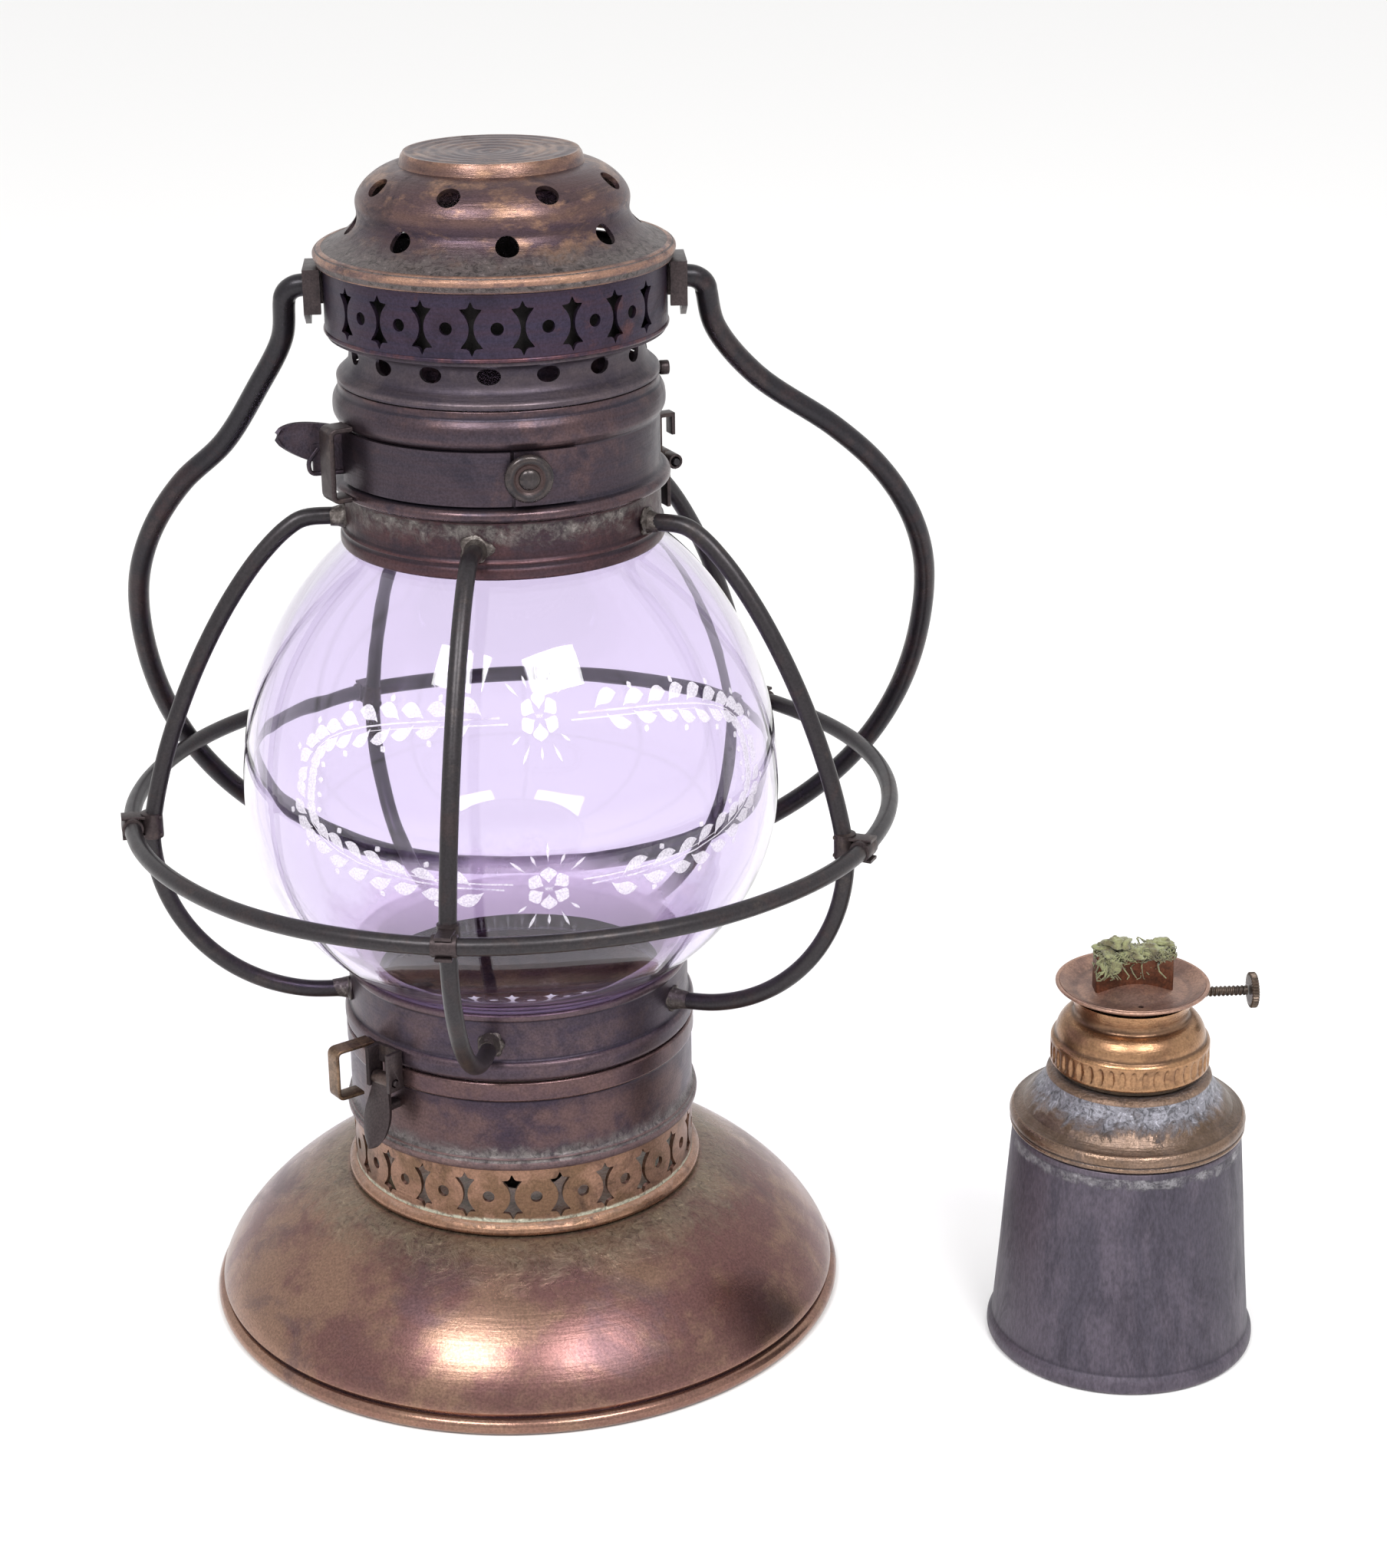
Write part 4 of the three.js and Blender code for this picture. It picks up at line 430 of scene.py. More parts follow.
def pierced(profile, wall, cuts, columns=200, start=0.0, axis=LAMP):
    """A turned sheet with holes: the profile (radius, height) and the azimuth are unrolled flat, the cuts' loops
    are laid in, the flat is made of triangles and rolled up again, and a second skin inside joins it round every
    edge. Each cut is (azimuth, place along the profile, loop in millimetres), the profile running upwards."""
    profile = np.asarray(profile, float)
    along = distances(profile)
    scale = profile[:, 0].mean() * math.pi / 180
    whole = 360 * scale
    loops = []
    for azimuth, place, loop in cuts:
        radius = np.interp(place, along, profile[:, 0])
        stretch = scale / (radius * math.pi / 180)
        loops.append(loop * [stretch, 1] + [((azimuth - start) % 360) * scale, place])
    grid = np.stack(np.meshgrid(np.linspace(0, whole, columns + 1), along), axis=2).reshape(-1, 2)
    edge = (grid[:, 0] < 1e-6) | (grid[:, 0] > whole - 1e-6) | (grid[:, 1] < 1e-6) | (grid[:, 1] > along[-1] - 1e-6)
    if loops:
        clear = np.ones(len(grid), bool)
        for loop in loops:
            low, high = loop.min(axis=0) - 1, loop.max(axis=0) + 1
            near = np.flatnonzero(((grid > low) & (grid < high)).all(axis=1))
            clear[near[inside_loop(grid[near], loop)]] = False
            gap = np.linalg.norm(grid[near, None] - spaced(loop, 0.4)[None], axis=2).min(axis=1)
            clear[near[gap < 0.35]] = False
        grid = grid[clear | edge]
    flat, edges = [grid], []
    count = len(grid)
    for loop in loops:
        order = count + np.arange(len(loop))
        edges.append(np.column_stack([order, np.roll(order, -1)]))
        flat.append(loop)
        count += len(loop)
    flat = np.vstack(flat)
    edges = np.vstack(edges) if edges else np.zeros((0, 2), int)
    found = delaunay_2d_cdt([Vector(p) for p in flat.tolist()], edges.tolist(), [], 0, 1e-6)
    flat, faces = np.array([tuple(p) for p in found[0]]), np.array([face for face in found[2]])
    centres = flat[faces].mean(axis=1)
    keep = np.ones(len(faces), bool)
    for loop in loops:
        low, high = loop.min(axis=0), loop.max(axis=0)
        near = np.flatnonzero(((centres > low) & (centres < high)).all(axis=1))
        keep[near[inside_loop(centres[near], loop)]] = False
    faces = faces[keep]
    bend = convexity_open(profile)
    skins = [profile, inset(profile, wall)]
    azimuth = np.radians(flat[:, 0] / scale + start)
    points = []
    for skin in skins:
        r, z = np.interp(flat[:, 1], along, skin[:, 0]), np.interp(flat[:, 1], along, skin[:, 1])
        points.append(np.column_stack([r * np.sin(azimuth), -r * np.cos(azimuth), z]))
    n = len(flat)
    points = np.vstack(points)
    faces = np.vstack([faces, faces[:, ::-1] + n])
    _, first, back = np.unique(np.round(points, 4), axis=0, return_index=True, return_inverse=True)
    faces = back.reshape(-1)[faces]
    outer = faces[:len(faces) // 2]
    lines = np.vstack([outer[:, [0, 1]], outer[:, [1, 2]], outer[:, [2, 0]]])
    key = np.sort(lines, axis=1)
    _, place, times = np.unique(key, axis=0, return_index=True, return_counts=True)
    rim = lines[place[times == 1]]
    points = points[first]
    twin = np.full(len(points), -1)
    twin[back.reshape(-1)[:n]] = back.reshape(-1)[n:]
    a, b = rim[:, 0], rim[:, 1]
    walls = np.column_stack([b, a, twin[a], twin[b]])
    faces = np.vstack([np.column_stack([faces, faces[:, 2]]), walls])
    worn = np.concatenate([np.interp(flat[:, 1], along, bend)] * 2)[first]
    return shell(points + axis, faces, worn)


def convexity_open(profile):
    """How sharply an open profile turns at each point, positive where it stands out."""
    step = np.diff(profile, axis=0)
    turn = np.zeros(len(profile))
    turn[1:-1] = np.arctan2(step[:-1, 0] * step[1:, 1] - step[:-1, 1] * step[1:, 0],
                            (step[:-1] * step[1:]).sum(axis=1))
    return np.clip(turn / np.gradient(distances(profile)).clip(0.05), -1, 1)


def ellipse(half_width, half_height, sides=24):
    """A closed ellipse."""
    turn = np.arange(sides) * 2 * math.pi / sides
    return np.column_stack([half_width * np.cos(turn), half_height * np.sin(turn)])


def star_cut(pitch, half_height=5.6, waist=0.5):
    """The cut between two rosettes: arcs that follow both rosettes, opening above and below into three points."""
    disc = pitch / 2 - waist
    rise = np.linspace(0, 3.35, 7)
    side = np.column_stack([pitch / 2 - np.sqrt(disc ** 2 - rise ** 2), rise])
    tip = np.array([[side[-1, 0] + 0.42, 4.0], [1.0, 4.12], [0.55, 4.45], [0.32, 5.0], [0.0, half_height]])
    corner = np.vstack([side, tip])
    top = np.vstack([corner, (corner * [-1, 1])[-2::-1]])
    return np.vstack([top, (top[1:-1] * [1, -1])[::-1]])


# ---------------------------------------------------------------- objects
def joined(shells):
    """Several shells as one set of points and faces."""
    start, points, faces, edge = 0, [], [], []
    for part in shells:
        cells = part[1] if part[1].shape[1] == 4 else np.column_stack([part[1], part[1][:, 2]])
        points.append(part[0])
        faces.append(cells + start)
        edge.append(part[2])
        start += len(part[0])
    return np.vstack(points), np.vstack(faces), np.concatenate(edge)


def as_object(name, shells, material, body, nodes=(), sharp=38):
    """Puts shells into one object, smooth except where its faces meet at more than the angle given in degrees."""
    points, faces, edge = joined(shells if isinstance(shells, list) else [shells])
    third, fourth = faces[:, 2], faces[:, 3]
    corners = np.full(len(faces), 4)
    corners[(third == fourth) | (faces[:, 0] == fourth)] = 3
    pinched = faces[:, 0] == faces[:, 1]
    ordered = faces.copy()
    ordered[pinched] = np.column_stack([faces[pinched, 0], faces[pinched, 2], faces[pinched, 3],
                                        faces[pinched, 3]])
    corners[pinched] = 3
    middle = (faces[:, 1] == faces[:, 2]) & ~pinched
    ordered[middle] = np.column_stack([faces[middle, 0], faces[middle, 1], faces[middle, 3],
                                       faces[middle, 3]])
    corners[middle] = 3
    three = np.sort(ordered[:, :3], axis=1)
    real = (three[:, 0] != three[:, 1]) & (three[:, 1] != three[:, 2])
    ordered, corners = ordered[real], corners[real]
    used = np.arange(4)[None] < corners[:, None]
    vertices = ordered[used]
    kept, vertices = np.unique(vertices, return_inverse=True)
    points, edge = points[kept], edge[kept]
    mesh = bpy.data.meshes.new(name)
    mesh.vertices.add(len(points))
    mesh.vertices.foreach_set("co", (points * MM).astype(np.float32).ravel())
    mesh.loops.add(len(vertices))
    mesh.loops.foreach_set("vertex_index", vertices.astype(np.int32).ravel())
    mesh.polygons.add(len(corners))
    mesh.polygons.foreach_set("loop_start", np.r_[0, np.cumsum(corners)[:-1]].astype(np.int32))
    mesh.update(calc_edges=True)
    mesh.polygons.foreach_set("use_smooth", np.ones(len(corners), bool))
    mesh.set_sharp_from_angle(angle=math.radians(sharp))
    worn = mesh.attributes.new("edge", "FLOAT", "POINT")
    worn.data.foreach_set("value", edge.astype(np.float32))
    mesh.materials.append(material)
    made = bpy.data.objects.new(name, mesh)
    bpy.context.scene.collection.objects.link(made)
    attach(made, body)
    if nodes:
        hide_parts(*nodes)
    return made


def softened(node, material, body, width=0.22):
    """A finished copy of a small fitting: its edges rounded over, standing for the plain one."""
    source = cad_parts[node]
    made = source.copy()
    made.data = source.data.copy()
    made.name = node + "_finished"
    for key in list(made.keys()):
        del made[key]
    bpy.context.scene.collection.objects.link(made)
    made.parent = None
    made.data.materials.clear()
    made.data.materials.append(material)
    bpy.context.view_layer.objects.active = made
    weld = made.modifiers.new("weld", "WELD")
    weld.merge_threshold = 1e-6
    planar = made.modifiers.new("planar", "DECIMATE")
    planar.decimate_type = "DISSOLVE"
    planar.angle_limit = math.radians(1)
    bevel = made.modifiers.new("bevel", "BEVEL")
    bevel.width, bevel.segments, bevel.limit_method = width * MM, 3, "ANGLE"
    bevel.angle_limit, bevel.use_clamp_overlap = math.radians(40), True
    done = bpy.data.meshes.new_from_object(made.evaluated_get(bpy.context.evaluated_depsgraph_get()))
    made.modifiers.clear()
    made.data = done
    done.polygons.foreach_set("use_smooth", np.ones(len(done.polygons), bool))
    done.set_sharp_from_angle(angle=math.radians(35))
    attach(made, body)
    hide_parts(node)
    return made


# ---------------------------------------------------------------- shader building
def fill(tree, node, sockets):
    """Gives a node's sockets, by name or number, a value or another node's output."""
    for key, value in sockets.items():
        if isinstance(value, bpy.types.NodeSocket):
            tree.links.new(value, node.inputs[key])
        else:
            node.inputs[key].default_value = value
    return node


def put(tree, kind, sockets=None, **settings):
    """Adds a node, with its settings and its sockets."""
    made = tree.nodes.new("ShaderNode" + kind)
    for key, value in settings.items():
        setattr(made, key, value)
    return fill(tree, made, sockets or {})


def sums(tree, operation, *values, clamp=False):
    """A Math node's result."""
    return put(tree, "Math", dict(enumerate(values)), operation=operation, use_clamp=clamp).outputs[0]


def mixed(tree, factor, first, second, way="MIX"):
    """Two colours mixed by a factor."""
    made = put(tree, "Mix", {0: factor, 6: first, 7: second}, data_type="RGBA", blend_type=way)
    return made.outputs[2]


def eased_step(tree, value, low, high, start=0.0, end=1.0):
    """A value brought smoothly from one range to another."""
    sockets = {"Value": value, "From Min": low, "From Max": high, "To Min": start, "To Max": end}
    return put(tree, "MapRange", sockets, interpolation_type="SMOOTHSTEP").outputs[0]


def noise(tree, position, scale, detail=5.0, rough=0.6, swirl=0.0):
    """Fractal noise from nought to one."""
    sockets = {"Vector": position, "Scale": scale, "Detail": detail, "Roughness": rough, "Distortion": swirl}
    return put(tree, "TexNoise", sockets).outputs[0]


def group_of(name, inputs, outputs):
    """A node group with named sockets, and its tree's input and output nodes."""
    tree = bpy.data.node_groups.new(name, "ShaderNodeTree")
    kinds = {"f": "NodeSocketFloat", "c": "NodeSocketColor", "v": "NodeSocketVector"}
    for label, kind, default in inputs:
        socket = tree.interface.new_socket(label, in_out="INPUT", socket_type=kinds[kind])
        if default is not None:
            socket.default_value = default
    for label, kind in outputs:
        tree.interface.new_socket(label, in_out="OUTPUT", socket_type=kinds[kind])
    return tree, tree.nodes.new("NodeGroupInput").outputs, tree.nodes.new("NodeGroupOutput").inputs


def patina_group():
    """Tarnish in patches: two noises of different size choose between three colours, a fine one speckles them,
    standing edges are rubbed bright and hollows are dark."""
    grey = (0.5, 0.5, 0.5, 1)
    tree, given, result = group_of("patina", [
        ("Position", "v", None), ("Bright", "c", grey), ("Tarnish", "c", grey), ("Dark", "c", grey),
        ("Patch Scale", "f", 30.0), ("Cover", "f", 0.5), ("Blackening", "f", 0.5), ("Edge", "f", 0.0),
        ("Roughness", "f", 0.4)], [("Color", "c"), ("Roughness", "f"), ("Height", "f")])
    place = given["Position"]
    large = noise(tree, place, given["Patch Scale"], 6, 0.62, 0.6)
    small = noise(tree, place, sums(tree, "MULTIPLY", given["Patch Scale"], 5.3), 5, 0.65)
    fine = noise(tree, place, 1900.0, 3, 0.6)
    shifted = put(tree, "VectorMath", {0: place, 1: (0.37, 0.11, 0.73)}, operation="ADD").outputs[0]
    other = noise(tree, shifted, sums(tree, "MULTIPLY", given["Patch Scale"], 1.7), 6, 0.7, 1.2)
    field = sums(tree, "ADD", sums(tree, "MULTIPLY", large, 0.6), sums(tree, "MULTIPLY", small, 0.4))
    cover = sums(tree, "SUBTRACT", 1.0, given["Cover"])
    tarnish = eased_step(tree, field, sums(tree, "SUBTRACT", cover, 0.06), sums(tree, "ADD", cover, 0.06))
    shade = mixed(tree, tarnish, given["Bright"], given["Tarnish"])
    black = eased_step(tree, other, 0.5, 0.66)
    black = sums(tree, "MULTIPLY", black, given["Blackening"])
    shade = mixed(tree, black, shade, given["Dark"])
    hollow = sums(tree, "MULTIPLY", given["Edge"], -1.6, clamp=True)
    shade = mixed(tree, sums(tree, "MULTIPLY", hollow, 0.75), shade, given["Dark"])
    rubbed = sums(tree, "MULTIPLY", sums(tree, "MULTIPLY", given["Edge"], 1.3, clamp=True),
                  eased_step(tree, small, 0.36, 0.58))
    bright = mixed(tree, 1.0, given["Bright"], (1.35, 1.3, 1.25, 1), "MULTIPLY")
    shade = mixed(tree, sums(tree, "MULTIPLY", rubbed, 0.7), shade, bright)
    speck = eased_step(tree, fine, 0.25, 0.75, 0.74, 1.26)
    shade = mixed(tree, 1.0, shade, put(tree, "CombineColor", {0: speck, 1: speck, 2: speck}).outputs[0],
                  "MULTIPLY")
    gloss = sums(tree, "ADD", given["Roughness"], sums(tree, "MULTIPLY", black, 0.14))
    gloss = sums(tree, "ADD", gloss, sums(tree, "MULTIPLY", sums(tree, "SUBTRACT", small, 0.5), 0.22))
    gloss = sums(tree, "SUBTRACT", gloss, sums(tree, "MULTIPLY", rubbed, 0.12), clamp=True)
    height = sums(tree, "ADD", sums(tree, "MULTIPLY", small, 0.6), sums(tree, "MULTIPLY", fine, 0.4))
    for label, value in (("Color", shade), ("Roughness", gloss), ("Height", height)):
        tree.links.new(value, result[label])
    return tree


def turning_group():
    """Marks of the lathe: noise drawn out round the axis and fine along the radius and the height."""
    tree, given, result = group_of("turning_marks", [("Position", "v", None), ("Fineness", "f", 600.0)],
                                   [("Streak", "f"), ("Height", "f")])
    split = put(tree, "SeparateXYZ", {0: given["Position"]}).outputs
    radius = sums(tree, "SQRT", sums(tree, "ADD", sums(tree, "MULTIPLY", split[0], split[0]),
                                     sums(tree, "MULTIPLY", split[1], split[1])))
    safe = sums(tree, "ADD", radius, 1e-5)
    streaks = []
    for share, detail in ((1.0, 4.0), (3.1, 3.0)):
        fine = sums(tree, "MULTIPLY", given["Fineness"], share)
        vector = put(tree, "CombineXYZ", {
            0: sums(tree, "MULTIPLY", sums(tree, "DIVIDE", split[0], safe), 1.2 * share),
            1: sums(tree, "MULTIPLY", sums(tree, "DIVIDE", split[1], safe), 1.2 * share),
            2: sums(tree, "MULTIPLY", radius, fine)}).outputs[0]
        streaks.append(put(tree, "TexNoise", {"Vector": vector, "W": sums(tree, "MULTIPLY", split[2], fine),
                                              "Scale": 1.0, "Detail": detail, "Roughness": 0.6},
                           noise_dimensions="4D").outputs[0])
    tree.links.new(eased_step(tree, streaks[0], 0.3, 0.7), result["Streak"])
    tree.links.new(streaks[1], result["Height"])
    return tree


def smear_group():
    """Solder or bloom round the axis between two heights, its edges softened and torn by noise."""
    tree, given, result = group_of("smear", [("Position", "v", None), ("Low", "f", 0.0), ("High", "f", 0.01),
                                             ("Amount", "f", 0.5), ("Soft", "f", 0.002),
                                             ("Ragged", "f", 0.01)],
                                   [("Mask", "f"), ("Height", "f")])
    split = put(tree, "SeparateXYZ", {0: given["Position"]}).outputs
    torn = noise(tree, given["Position"], 150.0, 8, 0.72, 1.0)
    ragged = sums(tree, "MULTIPLY", sums(tree, "SUBTRACT", torn, 0.5), given["Ragged"])
    height = sums(tree, "ADD", split[2], ragged)
    above = eased_step(tree, height, given["Low"], sums(tree, "ADD", given["Low"], given["Soft"]))
    below = eased_step(tree, height, given["High"], sums(tree, "SUBTRACT", given["High"], given["Soft"]))
    patchy = eased_step(tree, noise(tree, given["Position"], 260.0, 8, 0.75),
                        sums(tree, "SUBTRACT", 0.85, given["Amount"]),
                        sums(tree, "SUBTRACT", 1.15, given["Amount"]))
    mask = sums(tree, "MULTIPLY", sums(tree, "MULTIPLY", above, below), patchy)
    tree.links.new(mask, result["Mask"])
    tree.links.new(sums(tree, "MULTIPLY", mask, torn), result["Height"])
    return tree


def rgba(value, gain=1.0):
    """A colour with full alpha, from six hexadecimal digits or from a colour's values, made lighter or darker."""
    parts = linear(value) if isinstance(value, str) else tuple(value)[:3]
    return (*(min(part * gain, 1.0) for part in parts), 1.0)


def use_group(tree, group, sockets):
    """Places a group in a tree."""
    return put(tree, "Group", sockets, node_tree=group).outputs


def plain_material(name):
    """A new material, its tree and its Principled shader."""
    made = bpy.data.materials.new(name)
    made.use_nodes = True
    return made, made.node_tree, made.node_tree.nodes["Principled BSDF"]


class Paints:
    """The lamp's materials, made once and shared."""
    kept = {}
    groups = {}


def aged_metal(name, bright, tarnish, dark, patch=28.0, cover=0.5, blackening=0.5, roughness=0.4,
               metallic=0.85,
               axis=LAMP, streaks=0.0, fineness=600.0, streak_colour=None, smear=None, bump=0.00006,
               stretch=1.0):
    """A tarnished metal: patches of three colours, lathe marks round an axis, and a band of solder or bloom."""
    if name in Paints.kept:
        return Paints.kept[name]
    made, tree, principled = plain_material(name)
    spot = put(tree, "TexCoord").outputs["Object"]
    place = put(tree, "Mapping", {"Vector": spot, "Location": tuple(-axis * MM)}).outputs[0]
    worn = put(tree, "Attribute", attribute_name="edge").outputs["Fac"]
    drawn = place if stretch == 1.0 else put(tree, "Mapping",
                                             {"Vector": place, "Scale": (1, 1, stretch)}).outputs[0]
    patina = use_group(tree, Paints.groups["patina"], {
        "Position": drawn, "Bright": rgba(bright), "Tarnish": rgba(tarnish), "Dark": rgba(dark),
        "Patch Scale": patch, "Cover": cover, "Blackening": blackening, "Edge": worn, "Roughness": roughness})
    shade, rough, height = patina["Color"], patina["Roughness"], patina["Height"]
    metal = metallic
    if streaks:
        marks = use_group(tree, Paints.groups["turning"], {"Position": place, "Fineness": fineness})
        amount = sums(tree, "MULTIPLY", marks["Streak"], streaks)
        shade = mixed(tree, amount, shade, rgba(streak_colour if streak_colour is not None else bright))
        height = sums(tree, "ADD", height, marks["Height"])
    if smear:
        low, high, much, smear_shade, smear_metal, soft, ragged = smear
        found = use_group(tree, Paints.groups["smear"], {
            "Position": place, "Low": low * MM, "High": high * MM, "Amount": much, "Soft": soft * MM,
            "Ragged": ragged * MM})
        bare = sums(tree, "SUBTRACT", 1.0, sums(tree, "MULTIPLY", worn, 2.5, clamp=True))
        covered = sums(tree, "MULTIPLY", found["Mask"], bare)
        pits = noise(tree, place, 520.0, 6, 0.75, 1.5)
        mottled = mixed(tree, eased_step(tree, pits, 0.38, 0.52), rgba(smear_shade, 0.35), rgba(smear_shade))
        mottled = mixed(tree, eased_step(tree, pits, 0.56, 0.66), mottled, rgba(smear_shade, 1.9))
        shade = mixed(tree, covered, shade, mottled)
        rough = sums(tree, "ADD", rough, sums(tree, "MULTIPLY", found["Mask"], 0.08), clamp=True)
        height = sums(tree, "ADD", height, sums(tree, "MULTIPLY", found["Height"], 4.0))
        metal = eased_step(tree, found["Mask"], 0.0, 1.0, metallic, smear_metal)
    relief = put(tree, "Bump", {"Strength": 1.0, "Distance": bump, "Height": height}).outputs[0]
    fill(tree, principled, {"Base Color": shade, "Roughness": rough, "Metallic": metal, "Normal": relief})
    Paints.kept[name] = made
    return made


def glass_material(tint):
    """Old glass: clear with a faint tint and a slow waviness."""
    made, tree, principled = plain_material("old_glass")
    wavy = noise(tree, put(tree, "TexCoord").outputs["Object"], 34.0, 2, 0.4)
    relief = put(tree, "Bump", {"Strength": 0.5, "Distance": 0.0004, "Height": wavy}).outputs[0]
    fill(tree, principled, {"Base Color": rgba(tint), "Transmission Weight": 1.0, "Roughness": 0.0,
                            "IOR": 1.47,
                            "Normal": relief})
    shadow = put(tree, "LightPath").outputs["Is Shadow Ray"]
    clear = put(tree, "BsdfTransparent", {"Color": rgba(tint)}).outputs[0]
    both = put(tree, "MixShader", {0: shadow, 1: principled.outputs[0], 2: clear}).outputs[0]
    tree.links.new(both, tree.nodes["Material Output"].inputs["Surface"])
    return made


def frost_material():
    """Ground glass of the engraving: white, seen through in part."""
    made, tree, principled = plain_material("engraved_frost")
    spot = put(tree, "TexCoord").outputs["Object"]
    grain = noise(tree, spot, 2600.0, 3, 0.6)
    shade = mixed(tree, grain, (0.66, 0.62, 0.70, 1), (0.84, 0.80, 0.88, 1))
    cover = eased_step(tree, grain, 0.2, 0.8, 0.3, 0.62)
    fill(tree, principled, {"Base Color": shade, "Roughness": 0.7, "Alpha": cover})
    return made


def haze_material():
    """Dust at the foot of the glass, thinning upwards."""
    made, tree, principled = plain_material("glass_dust")
    spot = put(tree, "TexCoord").outputs["Object"]
    height = put(tree, "SeparateXYZ", {0: spot}).outputs[2]
    drift = sums(tree, "MULTIPLY", sums(tree, "SUBTRACT", noise(tree, spot, 90.0), 0.5), 0.012)
    thin = eased_step(tree, sums(tree, "ADD", height, drift), 0.083, 0.094, 0.62, 0.0)
    fill(tree, principled, {"Base Color": rgba("cfc4cc"), "Roughness": 0.9, "Alpha": thin})
    return made


def dull_material(name, first, second, scale, roughness=0.9, bump=0.0002, sheen=0.0):
    """A dull two-coloured mottle, for plaster, cork and cotton."""
    made, tree, principled = plain_material(name)
    spot = put(tree, "TexCoord").outputs["Object"]
    mottle = noise(tree, spot, scale, 6, 0.68, 0.5)
    fine = noise(tree, spot, scale * 7, 3, 0.6)
    shade = mixed(tree, eased_step(tree, mottle, 0.36, 0.64), rgba(first), rgba(second))
    shade = mixed(tree, sums(tree, "MULTIPLY", fine, 0.35), shade, rgba(first, 0.55))
    relief = put(tree, "Bump", {"Strength": 1.0, "Distance": bump, "Height": fine}).outputs[0]
    fill(tree, principled, {"Base Color": shade, "Roughness": roughness, "Sheen Weight": sheen,
                            "Normal": relief})
    return made


